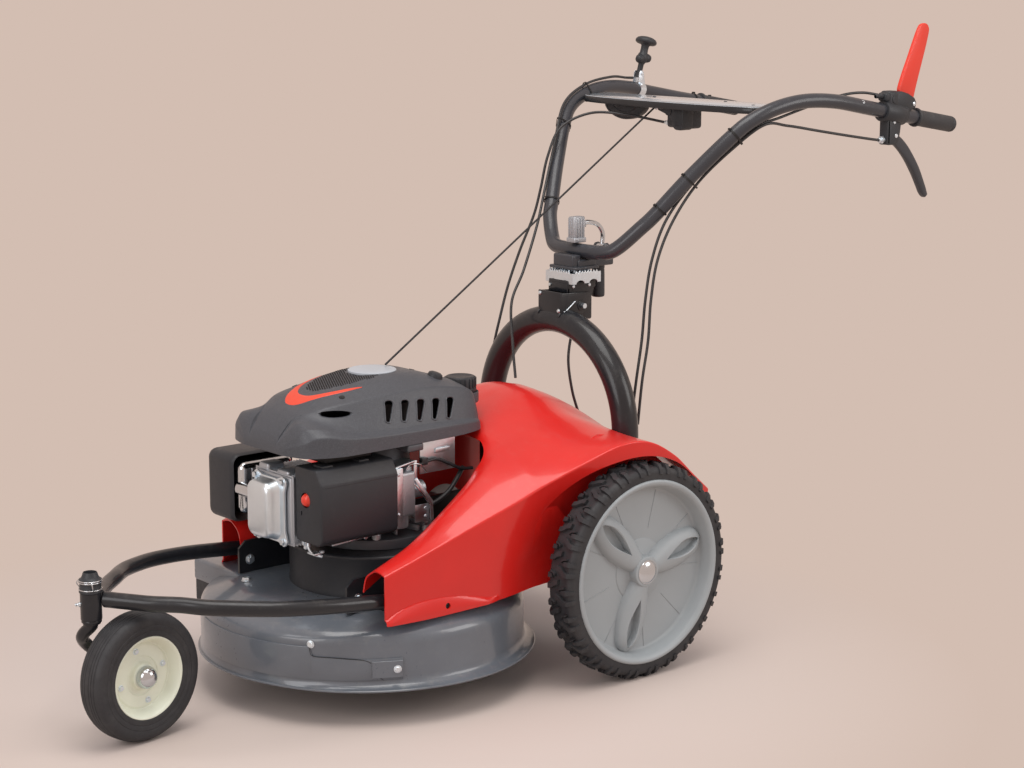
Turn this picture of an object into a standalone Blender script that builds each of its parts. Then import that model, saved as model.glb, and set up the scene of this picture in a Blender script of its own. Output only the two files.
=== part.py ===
"""Walk-behind brush cutter on two driven rear wheels and one front caster.

Metres, +Z up, front towards -Y. The machine frame has its origin on the ground under the rear
axle; an empty moves it so that the whole machine stands centred on the world origin.
"""
import math

import bmesh
import bpy
from mathutils import Matrix, Vector

GAP = 0.0003
AXLE_Y = 0.0530

REAR_WHEEL_R = 0.200
REAR_TYRE_W = 0.066
REAR_TYRE_H = 0.0285
REAR_RIM_R = REAR_WHEEL_R - REAR_TYRE_H
REAR_OUT_X = 0.354
REAR_X = REAR_OUT_X - REAR_TYRE_W / 2
REAR_HUB_OUT = 0.0255
REAR_HUB_IN = -0.040
REAR_STEPS = 28
BLADE_TURN = 105
BLADE_ROOT = 0.022
BLADE_TIP = REAR_RIM_R - 0.0175
HOLLOW_ROOT = 0.048
HOLLOW_TIP = BLADE_TIP - 0.010
AXLE_R = 0.010

ARCH_HALF = 0.195
ARCH_R = 0.025
ARCH_Y = 0.083
ARCH_BEND_Z = 0.418
ARCH_FOOT_Z = 0.200

DECK_Y = -0.3705
DECK_TOP = 0.185
DECK_WALL = 0.003
DECK_R = 0.282
DECK_GROWTH = 0.027
DECK_SIDES = 36
FLANGE_R = 0.303
FLANGE_Z = 0.0665

RAIL_T = 0.005
RAIL_OUT = ARCH_HALF - ARCH_R - GAP
RAIL_IN = RAIL_OUT - RAIL_T
RAIL_BASE = DECK_TOP + GAP

FORK_R = 0.0135
FORK_END = (0.228, -0.420, 0.2135)
HEAD_Y = -0.9455
HEAD_R = 0.018
HEAD_LOW = 0.217
HEAD_TOP = 0.264
SPINDLE_R = 0.0105

CASTER_R = 0.112
CASTER_W = 0.054
CASTER_RIM_R = 0.0717
CASTER_STEER = math.radians(7.8)
CASTER_TRAIL = 0.066
CASTER_OFFSET = 0.0395
CASTER_STEPS = 24

CRANK_Y = -0.360
CRANK_R = 0.0125
RISER_CLEAR = 0.0097
RISER_R = RAIL_IN - RISER_CLEAR
RISER_TOP = 0.262
BLADE_Z = 0.095
BLADE_R = 0.262

ENGINE_BASE = RISER_TOP + GAP
SHROUD_Z = 0.455
HEAD_FACE_Y = -0.5797
HEAD_HALF = 0.058

FILTER_OUT = 0.140
FILTER_FRONT = -0.575
FILTER_BACK = -0.410
FILTER_LOW = 0.303
FILTER_TOP = 0.435
PRIMER_R = 0.012
PRIMER_AT = (0.093, 0.378)

BAR_R = 0.014
BAR_BASE_Z = 0.742
SWIVEL_Y = 0.130
TILT_Y = 0.118
TILT_Z = 0.640
PIN_R = 0.005
JAW_LOW = 0.7085
GRIP_R = 0.016
GRIP_LENGTH = 0.118

COVER_WALL = 0.003
WHEEL_ARCH_GAP = 0.014
WHEEL_ARCH_R = REAR_WHEEL_R + WHEEL_ARCH_GAP
WHEEL_ARCH_Z = REAR_WHEEL_R - 0.002
CABLE_R = 0.0027
ROPE_R = 0.0019
CABLE_STEP = 0.055

for old in list(bpy.data.objects):
    bpy.data.objects.remove(old, do_unlink=True)

machine = bpy.data.collections.new("walk_behind_brush_cutter")
tools = bpy.data.collections.new("cutters")
bpy.context.scene.collection.children.link(machine)
bpy.context.scene.collection.children.link(tools)

FINISHES = {
    "red_paint": ((0.60, 0.020, 0.012), 0.25, 0.0),
    "deck_paint": ((0.115, 0.12, 0.125), 0.30, 0.0),
    "black_paint": ((0.012, 0.012, 0.013), 0.32, 0.0),
    "black_plastic": ((0.030, 0.031, 0.033), 0.60, 0.0),
    "grey_plastic": ((0.36, 0.37, 0.37), 0.45, 0.0),
    "cream_zinc": ((0.62, 0.60, 0.45), 0.35, 0.6),
    "rubber": ((0.022, 0.022, 0.024), 0.75, 0.0),
    "zinc": ((0.62, 0.63, 0.65), 0.32, 1.0),
    "cast_aluminium": ((0.50, 0.51, 0.52), 0.45, 1.0),
    "steel": ((0.30, 0.30, 0.31), 0.40, 1.0),
    "cable_skin": ((0.018, 0.018, 0.019), 0.45, 0.0),
    "button_red": ((0.75, 0.035, 0.015), 0.35, 0.0),
    "dash_paint": ((0.42, 0.42, 0.42), 0.30, 0.0),
}


def finish(name):
    """The Principled material of one finish."""
    found = bpy.data.materials.get(name)
    if found:
        return found
    colour, roughness, metallic = FINISHES[name]
    made = bpy.data.materials.new(name)
    made.use_nodes = True
    shader = made.node_tree.nodes["Principled BSDF"]
    shader.inputs["Base Color"].default_value = (*colour, 1.0)
    shader.inputs["Roughness"].default_value = roughness
    shader.inputs["Metallic"].default_value = metallic
    return made


origin = bpy.data.objects.new("machine_origin", None)
origin.location = (0.0, AXLE_Y, 0.0)
machine.objects.link(origin)

BODIES = {}


def body(name, at):
    """An empty on a moving body's joint axis, which carries that body's pieces."""
    empty = bpy.data.objects.new(name, None)
    empty.location = at
    empty.parent = origin
    machine.objects.link(empty)
    BODIES[name] = empty
    return empty


def keep(obj, colour, carrier=None):
    """File a finished piece under its carrier, with its material."""
    obj.data.materials.clear()
    obj.data.materials.append(finish(colour))
    machine.objects.link(obj)
    obj.parent = origin
    if carrier:
        obj.parent = BODIES[carrier]
        obj.matrix_parent_inverse = Matrix.Translation(-BODIES[carrier].location)
    return obj


def tool(obj):
    """File a shape that only cuts or joins."""
    tools.objects.link(obj)
    obj.parent = origin
    obj.hide_render = True
    obj.display_type = "WIRE"
    return obj


def from_bmesh(name, bm, sharp=35.0):
    """A new object from a bmesh, smooth but for its sharp edges."""
    mesh = bpy.data.meshes.new(name)
    bm.to_mesh(mesh)
    bm.free()
    mesh.shade_smooth()
    mesh.set_sharp_from_angle(angle=math.radians(sharp))
    return bpy.data.objects.new(name, mesh)


def block(name, low, high, round_edge=0.0, segments=1):
    """A box between two corners, with its edges rounded."""
    bm = bmesh.new()
    bmesh.ops.create_cube(bm, size=1.0)
    size = Vector(high) - Vector(low)
    bmesh.ops.scale(bm, vec=size, verts=bm.verts)
    bmesh.ops.translate(bm, vec=(Vector(high) + Vector(low)) / 2, verts=bm.verts)
    obj = from_bmesh(name, bm)
    if round_edge:
        soften(obj, round_edge, segments)
    return obj


def soften(obj, width, segments=1, angle=40.0):
    """Round the edges that are sharper than an angle."""
    bevel = obj.modifiers.new("round_edges", "BEVEL")
    bevel.width = width
    bevel.segments = segments
    bevel.limit_method = "ANGLE"
    bevel.angle_limit = math.radians(angle)
    return obj


def along(start, end):
    """The matrix that puts local +Z on the line from start to end."""
    start = Vector(start)
    turn = Vector((0, 0, 1)).rotation_difference(Vector(end) - start)
    return Matrix.Translation(start) @ turn.to_matrix().to_4x4()


def rod(name, start, end, radius, sides=20):
    """A straight round bar between two points."""
    length = (Vector(end) - Vector(start)).length
    bm = bmesh.new()
    bmesh.ops.create_cone(bm, cap_ends=True, segments=sides, radius1=radius, radius2=radius, depth=length)
    bmesh.ops.translate(bm, vec=(0, 0, length / 2), verts=bm.verts)
    bmesh.ops.transform(bm, matrix=along(start, end), verts=bm.verts)
    return from_bmesh(name, bm)


def turned(name, profile, at, towards, steps=32, ring=False):
    """A profile of (radius, height) turned about the line from at, with height along towards."""
    bm = bmesh.new()
    points = [bm.verts.new((radius, 0.0, height)) for radius, height in profile]
    for first, second in zip(points, points[1:]):
        bm.edges.new((first, second))
    if ring:
        bm.edges.new((points[-1], points[0]))
    obj = from_bmesh(name, bm)
    screw = obj.modifiers.new("turn", "SCREW")
    screw.steps = steps
    screw.render_steps = steps
    screw.use_merge_vertices = True
    screw.merge_threshold = 0.00001
    screw.use_smooth_shade = True
    at = Vector(at)
    obj.matrix_local = along(at, at + Vector(towards))
    return obj


def smooth_path(points, spacing):
    """Points about one spacing apart on a smooth curve through the given points."""
    nodes = [Vector(p) for p in points]
    nodes = [2 * nodes[0] - nodes[1]] + nodes + [2 * nodes[-1] - nodes[-2]]
    path = []
    for p0, p1, p2, p3 in zip(nodes, nodes[1:], nodes[2:], nodes[3:]):
        count = max(1, round((p2 - p1).length / spacing))
        for step in range(count):
            t = step / count
            path.append(
                0.5
                * (2 * p1 + (p2 - p0) * t + (2 * p0 - 5 * p1 + 4 * p2 - p3) * t**2
                   + (3 * p1 - p0 - 3 * p2 + p3) * t**3)
            )
    path.append(nodes[-2])
    return path


def tube(name, path, radius, resolution=3):
    """A round tube along a list of points, made a mesh with closed ends."""
    curve = bpy.data.curves.new(name, "CURVE")
    curve.dimensions = "3D"
    curve.bevel_depth = radius
    curve.bevel_resolution = resolution
    curve.use_fill_caps = True
    spline = curve.splines.new("POLY")
    spline.points.add(len(path) - 1)
    for point, place in zip(spline.points, path):
        point.co = (*place, 1.0)
    drawn = bpy.data.objects.new(name + "_curve", curve)
    bpy.context.scene.collection.objects.link(drawn)
    bpy.context.view_layer.update()
    mesh = bpy.data.meshes.new_from_object(drawn.evaluated_get(bpy.context.evaluated_depsgraph_get()))
    bpy.data.objects.remove(drawn, do_unlink=True)
    bm = bmesh.new()
    bm.from_mesh(mesh)
    bpy.data.meshes.remove(mesh)
    bmesh.ops.remove_doubles(bm, verts=bm.verts, dist=0.00001)
    bmesh.ops.recalc_face_normals(bm, faces=bm.faces)
    return from_bmesh(name, bm, sharp=50.0)


def plate(name, outline, thickness, axis, at):
    """A flat outline given a thickness. It lies across axis X, Y or Z, and starts at that height."""
    curve = bpy.data.curves.new(name, "CURVE")
    curve.dimensions = "2D"
    curve.fill_mode = "BOTH"
    curve.extrude = thickness / 2
    spline = curve.splines.new("POLY")
    spline.points.add(len(outline) - 1)
    for point, (u, v) in zip(spline.points, outline):
        point.co = (u, v, 0.0, 1.0)
    spline.use_cyclic_u = True
    drawn = bpy.data.objects.new(name + "_outline", curve)
    bpy.context.scene.collection.objects.link(drawn)
    bpy.context.view_layer.update()
    mesh = bpy.data.meshes.new_from_object(drawn.evaluated_get(bpy.context.evaluated_depsgraph_get()))
    bpy.data.objects.remove(drawn, do_unlink=True)
    bm = bmesh.new()
    bm.from_mesh(mesh)
    bpy.data.meshes.remove(mesh)
    bmesh.ops.remove_doubles(bm, verts=bm.verts, dist=0.00001)
    turn = {
        "X": Matrix(((0, 0, 1, 0), (1, 0, 0, 0), (0, 1, 0, 0), (0, 0, 0, 1))),
        "Y": Matrix(((1, 0, 0, 0), (0, 0, -1, 0), (0, 1, 0, 0), (0, 0, 0, 1))),
        "Z": Matrix.Identity(4),
    }[axis]
    lift = Vector({"X": (1, 0, 0), "Y": (0, 1, 0), "Z": (0, 0, 1)}[axis]) * (at + thickness / 2)
    bmesh.ops.transform(bm, matrix=Matrix.Translation(lift) @ turn, verts=bm.verts)
    bmesh.ops.recalc_face_normals(bm, faces=bm.faces)
    return from_bmesh(name, bm)


def combine(obj, how, *others):
    """Join shapes to an object, or cut them out of it."""
    for other in others:
        if other.name not in tools.objects:
            tool(other)
        step = obj.modifiers.new(how.lower(), "BOOLEAN")
        step.operation = how
        step.object = other
    return obj


def join(obj, *others):
    """The object with other shapes fused to it."""
    return combine(obj, "UNION", *others)


def cut(obj, *others):
    """The object with other shapes cut out of it."""
    return combine(obj, "DIFFERENCE", *others)


def loft(name, sections, closed=False, cap=True, sharp=35.0):
    """Faces between sections of equal count. Closed sections are loops; caps shut both ends."""
    bm = bmesh.new()
    rows = [[bm.verts.new(point) for point in section] for section in sections]
    count = len(rows[0])
    last = count if closed else count - 1
    for row, following in zip(rows, rows[1:]):
        for i in range(last):
            j = (i + 1) % count
            bm.faces.new((row[i], row[j], following[j], following[i]))
    if closed and cap:
        bm.faces.new(reversed(rows[0]))
        bm.faces.new(rows[-1])
    bmesh.ops.recalc_face_normals(bm, faces=bm.faces)
    return from_bmesh(name, bm, sharp)


def mirrored(points):
    """The same points on the machine's other side."""
    return [(-x, y, z) for x, y, z in points]


def swept(table, values):
    """Rows of a table keyed by its first column, read by smooth steps at other values."""
    rows = []
    keys = [row[0] for row in table]
    for value in values:
        i = max(k for k in range(len(keys) - 1) if keys[k] <= value)
        t = (value - keys[i]) / (keys[i + 1] - keys[i])
        before = table[max(i - 1, 0)]
        after = table[min(i + 2, len(table) - 1)]
        row = []
        for a, b, c, d, ka, kd in (
            (before[n], table[i][n], table[i + 1][n], after[n], before[0], after[0])
            for n in range(1, len(table[0]))
        ):
            span = keys[i + 1] - keys[i]
            slope_b = (c - a) / (keys[i + 1] - ka) * span
            slope_c = (d - b) / (kd - keys[i]) * span
            row.append(
                (2 * t**3 - 3 * t**2 + 1) * b + (t**3 - 2 * t**2 + t) * slope_b
                + (3 * t**2 - 2 * t**3) * c + (t**3 - t**2) * slope_c
            )
        rows.append((value, *row))
    return rows


# Rear wheels: grey moulded disc with three hollowed blades, chunky tyre, shaft with a domed end
def rear_tyre(name, side, carrier):
    """The tyre's carcass with rounded shoulders."""
    w = REAR_TYRE_W / 2
    r = REAR_WHEEL_R
    bead = REAR_RIM_R + GAP
    half = [(bead, w - 0.0025), (bead + 0.0092, w), (r - 0.006, w - 0.001), (r, w - 0.014)]
    profile = half + [(radius, -height) for radius, height in reversed(half)]
    obj = turned(name, profile, (side * REAR_X, 0, REAR_WHEEL_R), (side, 0, 0), REAR_STEPS, ring=True)
    return keep(obj, "rubber", carrier)


def rear_rim(name, side, carrier):
    """Disc, barrel and hub in one moulding, with three blades that each hold a leaf-shaped hollow."""
    r = REAR_RIM_R
    profile = [
        (AXLE_R + GAP, REAR_HUB_OUT), (0.0290, REAR_HUB_OUT), (0.0400, 0.004), (r - 0.0215, 0.004),
        (r - 0.0145, 0.022), (r - 0.0095, 0.0325), (r - 0.0035, 0.0330), (r, 0.0290),
        (r, -0.0300), (r - 0.0075, -0.0310), (r - 0.0125, -0.0020), (0.0320, -0.0010),
        (0.0280, REAR_HUB_IN), (AXLE_R + GAP, REAR_HUB_IN),
    ]
    centre = Vector((side * REAR_X, 0, REAR_WHEEL_R))
    obj = turned(name, profile, centre, (side, 0, 0), REAR_STEPS, ring=True)
    frame = along(centre, centre + Vector((side, 0, 0)))
    for index in range(3):
        spin = Matrix.Rotation(math.radians(BLADE_TURN + 120 * index), 4, "Z")
        blade = bmesh.new()
        bmesh.ops.create_uvsphere(blade, u_segments=8, v_segments=6, radius=1.0)
        bmesh.ops.scale(blade, vec=((BLADE_TIP - BLADE_ROOT) / 2, 0.0260, 0.0210), verts=blade.verts)
        bmesh.ops.translate(blade, vec=((BLADE_TIP + BLADE_ROOT) / 2, 0, 0.0060), verts=blade.verts)
        bmesh.ops.transform(blade, matrix=frame @ spin, verts=blade.verts)
        join(obj, from_bmesh(f"{name}_blade_{index}", blade))
    for index in range(3):
        spin = Matrix.Rotation(math.radians(BLADE_TURN + 120 * index), 4, "Z")
        hollow = bmesh.new()
        bmesh.ops.create_uvsphere(hollow, u_segments=6, v_segments=4, radius=1.0)
        bmesh.ops.scale(hollow, vec=((HOLLOW_TIP - HOLLOW_ROOT) / 2, 0.0085, 0.0150), verts=hollow.verts)
        bmesh.ops.translate(hollow, vec=((HOLLOW_TIP + HOLLOW_ROOT) / 2, 0.0050, 0.0260), verts=hollow.verts)
        bmesh.ops.transform(hollow, matrix=frame @ spin, verts=hollow.verts)
        cut(obj, from_bmesh(f"{name}_hollow_{index}", hollow))
    return keep(obj, "grey_plastic", carrier)


def rear_shaft(name, side, carrier):
    """The driven shaft, from the gearbox through the hub to its domed end."""
    start = GEARBOX_BOSS + GAP - REAR_X
    face = REAR_HUB_OUT + GAP
    profile = [
        (0, face + 0.0080), (0.0100, face + 0.0068), (0.0180, face + 0.0035), (0.0225, face + 0.0006),
        (0.0225, face), (AXLE_R, face), (AXLE_R, start), (0, start),
    ]
    obj = turned(name, profile, (side * REAR_X, 0, REAR_WHEEL_R), (side, 0, 0), 20)
    return keep(obj, "zinc", carrier)


GEARBOX_BOSS = 0.062

for label, side in (("left", 1), ("right", -1)):
    carrier = f"{label}_wheel"
    body(carrier, (side * REAR_X, 0, REAR_WHEEL_R))
    rear_tyre(f"rear_tyre_{label}", side, carrier)
    rear_rim(f"rear_rim_{label}", side, carrier)
    rear_shaft(f"axle_shaft_{label}", side, carrier)


# Caster: bent leg with its spindle in the head tube, cap and rings on top, pressed wheel
def steered(point):
    """A point given as offset along the axle, trail and height, in the steered caster."""
    offset, trail, height = point
    turn = Matrix.Rotation(CASTER_STEER, 3, "Z")
    flat = turn @ Vector((offset, trail, 0))
    return Vector((flat.x, HEAD_Y + flat.y, height))


body("caster", (0, HEAD_Y, 0))
CASTER_AXLE = steered((1, 0, 0)) - steered((0, 0, 0))
CASTER_CENTRE = steered((CASTER_OFFSET, CASTER_TRAIL, CASTER_R))
body("caster_wheel", CASTER_CENTRE)

CAP_LOW = HEAD_TOP + GAP
LEG_X = -0.031
leg_path = smooth_path(
    [steered(p) for p in (
        (0, 0, 0.2140), (0, 0, 0.2060), (-0.0170, -0.0060, 0.1880), (-0.0290, 0.0040, 0.1720),
        (LEG_X, 0.0300, 0.1460), (LEG_X, CASTER_TRAIL, CASTER_R),
    )],
    0.015,
)
leg = tube("caster_leg", leg_path, SPINDLE_R, 2)
spindle = rod("caster_spindle", steered((0, 0, 0.2100)), steered((0, 0, 0.2860)), SPINDLE_R, 16)
washer_profile = [(0, HEAD_LOW - GAP), (0.0170, HEAD_LOW - GAP), (0.0170, 0.2090), (0, 0.2090)]
washer = turned("caster_shoulder", washer_profile, (0, HEAD_Y, 0), (0, 0, 1), 20)
axle_end = CASTER_OFFSET + 0.0130
axle = rod(
    "caster_axle", steered((LEG_X - 0.013, CASTER_TRAIL, CASTER_R)),
    steered((axle_end, CASTER_TRAIL, CASTER_R)), 0.0082, 16,
)
join(leg, spindle, washer, axle)
keep(leg, "black_paint", "caster")

cap_profile = [
    (SPINDLE_R + GAP, CAP_LOW + 0.0340), (0.0120, CAP_LOW + 0.0340), (0.0140, CAP_LOW + 0.0270),
    (0.0160, CAP_LOW + 0.0230), (0.0195, CAP_LOW + 0.0210),
    (0.0180, CAP_LOW + 0.0180), (0.0180, CAP_LOW + 0.0050),
    (0.0195, CAP_LOW), (SPINDLE_R + GAP, CAP_LOW),
]
cap = turned("caster_top_cap", cap_profile, (0, HEAD_Y, 0), (0, 0, 1), 16, ring=True)
keep(cap, "black_paint", "caster")

hub_bore = 0.0082 + GAP
rim_profile = [
    (hub_bore, 0.0125), (0.0210, 0.0125), (0.0250, 0.0040), (0.0420, 0.0050), (0.0480, 0.0020),
    (0.0580, 0.0030), (0.0670, 0.0235), (CASTER_RIM_R, 0.0245),
    (CASTER_RIM_R, -0.0245), (0.0670, -0.0235), (0.0600, -0.0010),
    (0.0250, -0.0010), (0.0210, -0.0240), (hub_bore, -0.0240),
]
rim = turned("caster_rim", rim_profile, CASTER_CENTRE, CASTER_AXLE, CASTER_STEPS, ring=True)
keep(rim, "cream_zinc", "caster_wheel")

tyre_half = [
    (CASTER_RIM_R + GAP, 0.0250), (0.0820, 0.0268), (0.0990, CASTER_W / 2), (0.1080, 0.0215),
    (CASTER_R, 0.0080),
]
tyre_profile = tyre_half + [(radius, -height) for radius, height in reversed(tyre_half)]
tyre = turned("caster_tyre", tyre_profile, CASTER_CENTRE, CASTER_AXLE, CASTER_STEPS, ring=True)
keep(tyre, "rubber", "caster_wheel")

NUT_LOW = 0.0130 + GAP
nut_profile = [
    (0, NUT_LOW + 0.0200), (0.0090, NUT_LOW + 0.0185), (0.0160, NUT_LOW + 0.0130),
    (0.0195, NUT_LOW + 0.0050), (0.0195, NUT_LOW), (0, NUT_LOW),
]
nut = turned("caster_dome_nut", nut_profile, CASTER_CENTRE, CASTER_AXLE, 24)
keep(nut, "zinc", "caster")

# Front fork: head tube with two swept arms that run back into the covers
fork_points = [
    (-0.0040, HEAD_Y + 0.0035, 0.2495), (0.0110, -0.9250, 0.2495), (0.0260, -0.9140, 0.2490),
    (0.0460, -0.8980, 0.2480), (0.0750, -0.8720, 0.2460), (0.1060, -0.8390, 0.2450),
    (0.1380, -0.8090, 0.2420), (0.1630, -0.7770, 0.2400), (0.2000, -0.7060, 0.2340),
    (0.2210, -0.6190, 0.2260), (0.2270, -0.5300, 0.2170), (FORK_END[0], -0.4900, FORK_END[2]), FORK_END,
]
fork_path = smooth_path(fork_points, 0.060)
head_profile = [(0, HEAD_TOP), (HEAD_R, HEAD_TOP), (HEAD_R, HEAD_LOW), (0, HEAD_LOW)]
fork = turned("front_fork", head_profile, (0, HEAD_Y, 0), (0, 0, 1), 24)
arm_left = tube("fork_arm_left", fork_path, FORK_R)
arm_right = tube("fork_arm_right", [Vector((0.0035, HEAD_Y + 0.0060, 0.2495))] + mirrored(fork_path[1:]), FORK_R)
join(fork, arm_left, arm_right)
bore = rod("head_bore", (0, HEAD_Y, HEAD_LOW - 0.01), (0, HEAD_Y, HEAD_TOP + 0.01), SPINDLE_R + GAP, 20)
cut(fork, bore)
keep(fork, "black_paint")


# Deck: a pressed shell whose wall swings out towards the discharge chute on the right
def wall_radius(angle):
    """The deck wall's radius, which grows around the front towards the chute."""
    turn = math.degrees(angle) % 360.0
    if turn < 150.0:
        share = 0.0
    elif turn < 225.0:
        share = (turn - 150.0) / 75.0
    else:
        share = (360.0 - turn) / 135.0
    share = min(1.0, share)
    return DECK_R + DECK_GROWTH * share * share * (3 - 2 * share)


def deck_volume(name, inset):
    """The deck's closed outer form, or with an inset its inner one."""
    sections = []
    foot = FLANGE_Z - 0.003 if not inset else 0.040
    for height_index in range(7):
        section = []
        for step in range(DECK_SIDES):
            angle = 2 * math.pi * step / DECK_SIDES
            r = wall_radius(angle)
            rows = [
                (0.225, DECK_TOP), (0.252, DECK_TOP - 0.0095), (r - 0.009, DECK_TOP - 0.025),
                (r, DECK_TOP - 0.045), (r, FLANGE_Z + 0.014), (max(r + 0.006, FLANGE_R) - 0.001, FLANGE_Z),
                (max(r + 0.006, FLANGE_R), foot),
            ]
            if inset:
                rows[5] = (r, FLANGE_Z)
                rows[6] = (r, foot)
            radius, z = rows[height_index]
            radius -= inset
            z = z - inset if height_index < 4 else z
            section.append((radius * math.cos(angle), DECK_Y + radius * math.sin(angle), z))
        sections.append(section)
    return loft(name, sections, closed=True)


CHUTE_OUT = -0.325
CHUTE_FRONT = -0.600
CHUTE_BACK = -0.390
CHUTE_TOP = 0.170
CHUTE_LOW = 0.070

deck = deck_volume("deck_shell", 0.0)
chute = block("chute_form", (CHUTE_OUT, CHUTE_FRONT, CHUTE_LOW), (-0.120, CHUTE_BACK, CHUTE_TOP), 0.008)
w = DECK_WALL
chute_room = block(
    "chute_room", (CHUTE_OUT - 0.05, CHUTE_FRONT + w, CHUTE_LOW - 0.05),
    (-0.120, CHUTE_BACK - w, CHUTE_TOP - w), 0.006,
)
crank_hole = rod("deck_crank_hole", (0, CRANK_Y, 0.15), (0, CRANK_Y, 0.20), 0.030, 24)
join(deck, chute)
cut(deck, deck_volume("deck_room", DECK_WALL), chute_room, crank_hole)
keep(deck, "deck_paint")


def guard_section(angle, lift):
    """One upright slice of the front guard, just outside the deck wall."""
    r = wall_radius(angle) + lift
    return [(r * math.cos(angle), DECK_Y + r * math.sin(angle), z) for z in (0.0815, 0.110, 0.1385)]


guard_outer = []
for step in range(-2, -12, -1):
    angle = 2 * math.pi * step / DECK_SIDES
    inner = guard_section(angle, GAP)
    outer = guard_section(angle, GAP + 0.0022)
    guard_outer.append(inner + outer[::-1])
keep(loft("front_guard", guard_outer, closed=True), "deck_paint")

# Chassis: two side rails joined across, which carry the gearbox, the arch and the fork arms
rail_outline = [
    (-0.545, RAIL_BASE), (-0.545, 0.232), (-0.530, 0.245), (-0.250, 0.258), (0.030, 0.262),
    (0.075, 0.300), (0.110, 0.300), (0.130, 0.280), (0.130, 0.160), (0.060, 0.118),
    (-0.050, 0.118), (-0.082, RAIL_BASE),
]
chassis = plate("chassis_frame", rail_outline, RAIL_T, "X", RAIL_IN)
rail_right = plate("rail_right", rail_outline, RAIL_T, "X", -RAIL_OUT)
GEARBOX_HALF_Y = 0.065
cross = block(
    "cross_plate", (-RAIL_OUT + 0.001, -0.195, RAIL_BASE),
    (RAIL_OUT - 0.001, -GEARBOX_HALF_Y - GAP, RAIL_BASE + 0.004),
)
rear_bar = block("rear_cross_bar", (-RAIL_OUT + 0.001, 0.0955, 0.205), (RAIL_OUT - 0.001, 0.1255, 0.230))
join(chassis, rail_right, cross, rear_bar)
SHELF_TOP = FORK_END[2] - FORK_R - GAP
for label, side in (("left", 1), ("right", -1)):
    ends = sorted((side * (RAIL_OUT - 0.002), side * (FORK_END[0] + 0.012)))
    shelf = block(
        f"fork_shelf_{label}", (ends[0], -0.485, RAIL_BASE), (ends[1], FORK_END[1], SHELF_TOP), 0.0
    )
    ends = sorted((side * (RAIL_OUT - 0.002), side * (RAIL_OUT + 0.012)))
    boss = rod(
        f"axle_boss_{label}", (ends[0], 0, REAR_WHEEL_R), (ends[1], 0, REAR_WHEEL_R), 0.021, 24
    )
    join(chassis, shelf, boss)
axle_bore = rod("axle_bore", (-0.3, 0, REAR_WHEEL_R), (0.3, 0, REAR_WHEEL_R), AXLE_R + GAP, 20)
cut(chassis, axle_bore)
keep(chassis, "black_paint")

gearbox = block(
    "gearbox", (-0.052, -GEARBOX_HALF_Y, 0.132), (0.052, GEARBOX_HALF_Y, 0.262), 0.014
)
for label, side in (("left", 1), ("right", -1)):
    flange = rod(
        f"gearbox_flange_{label}", (side * 0.050, 0, REAR_WHEEL_R),
        (side * GEARBOX_BOSS, 0, REAR_WHEEL_R), 0.026, 24,
    )
    join(gearbox, flange)
keep(gearbox, "cast_aluminium")

# Arch tube: an upright hoop over the chassis that carries the handlebar
arch_path = [Vector((ARCH_HALF, ARCH_Y, ARCH_FOOT_Z))]
ARCH_STEPS = 18
for step in range(ARCH_STEPS + 1):
    angle = math.pi * step / ARCH_STEPS
    arch_path.append(
        Vector((ARCH_HALF * math.cos(angle), ARCH_Y, ARCH_BEND_Z + ARCH_HALF * math.sin(angle)))
    )
arch_path.append(Vector((-ARCH_HALF, ARCH_Y, ARCH_FOOT_Z)))
keep(tube("arch_tube", arch_path, ARCH_R, 4), "black_paint")
arch_cutter = tool(tube("arch_clearance", arch_path, ARCH_R + GAP, 4))

# Red cover: a horseshoe shell, from two narrow front tips to a hump behind the engine
# Columns: y, then x and z of the inner edge, inner rim, ridge, shoulder, crease and foot
COVER = [
    (-0.525, 0.188, 0.246, 0.200, 0.262, 0.221, 0.272, 0.238, 0.270, 0.252, 0.266, 0.252, 0.180),
    (-0.440, 0.188, 0.284, 0.196, 0.291, 0.214, 0.303, 0.238, 0.302, 0.263, 0.296, 0.255, 0.178),
    (-0.350, 0.184, 0.336, 0.191, 0.343, 0.210, 0.354, 0.243, 0.345, 0.274, 0.328, 0.262, 0.181),
    (-0.270, 0.174, 0.392, 0.181, 0.396, 0.202, 0.400, 0.246, 0.381, 0.284, 0.356, 0.268, 0.184),
    (-0.212, 0.128, 0.436, 0.152, 0.434, 0.190, 0.426, 0.246, 0.405, 0.292, 0.377, 0.271, 0.186),
    (-0.198, 0.000, 0.447, 0.090, 0.450, 0.182, 0.434, 0.244, 0.410, 0.294, 0.382, 0.272, 0.187),
    (-0.110, 0.000, 0.487, 0.070, 0.482, 0.148, 0.458, 0.236, 0.433, 0.307, 0.415, 0.284, 0.190),
    (-0.040, 0.000, 0.502, 0.060, 0.496, 0.125, 0.470, 0.220, 0.445, 0.325, 0.440, 0.310, 0.190),
    (0.020, 0.000, 0.486, 0.060, 0.478, 0.128, 0.452, 0.222, 0.440, 0.330, 0.436, 0.325, 0.190),
    (0.085, 0.000, 0.452, 0.060, 0.445, 0.135, 0.422, 0.224, 0.412, 0.328, 0.402, 0.325, 0.230),
    (0.140, 0.000, 0.412, 0.060, 0.407, 0.140, 0.385, 0.225, 0.372, 0.320, 0.358, 0.318, 0.280),
    (0.190, 0.000, 0.368, 0.060, 0.365, 0.142, 0.350, 0.225, 0.336, 0.310, 0.320, 0.308, 0.300),
]
COVER_STATIONS = 17


def cover_section(row):
    """Points of one half section, with the side wall split once more for a fair surface."""
    y = row[0]
    pairs = [(row[n], row[n + 1]) for n in range(1, 13, 2)]
    return [(x, y, z) for x, z in pairs]


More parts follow.
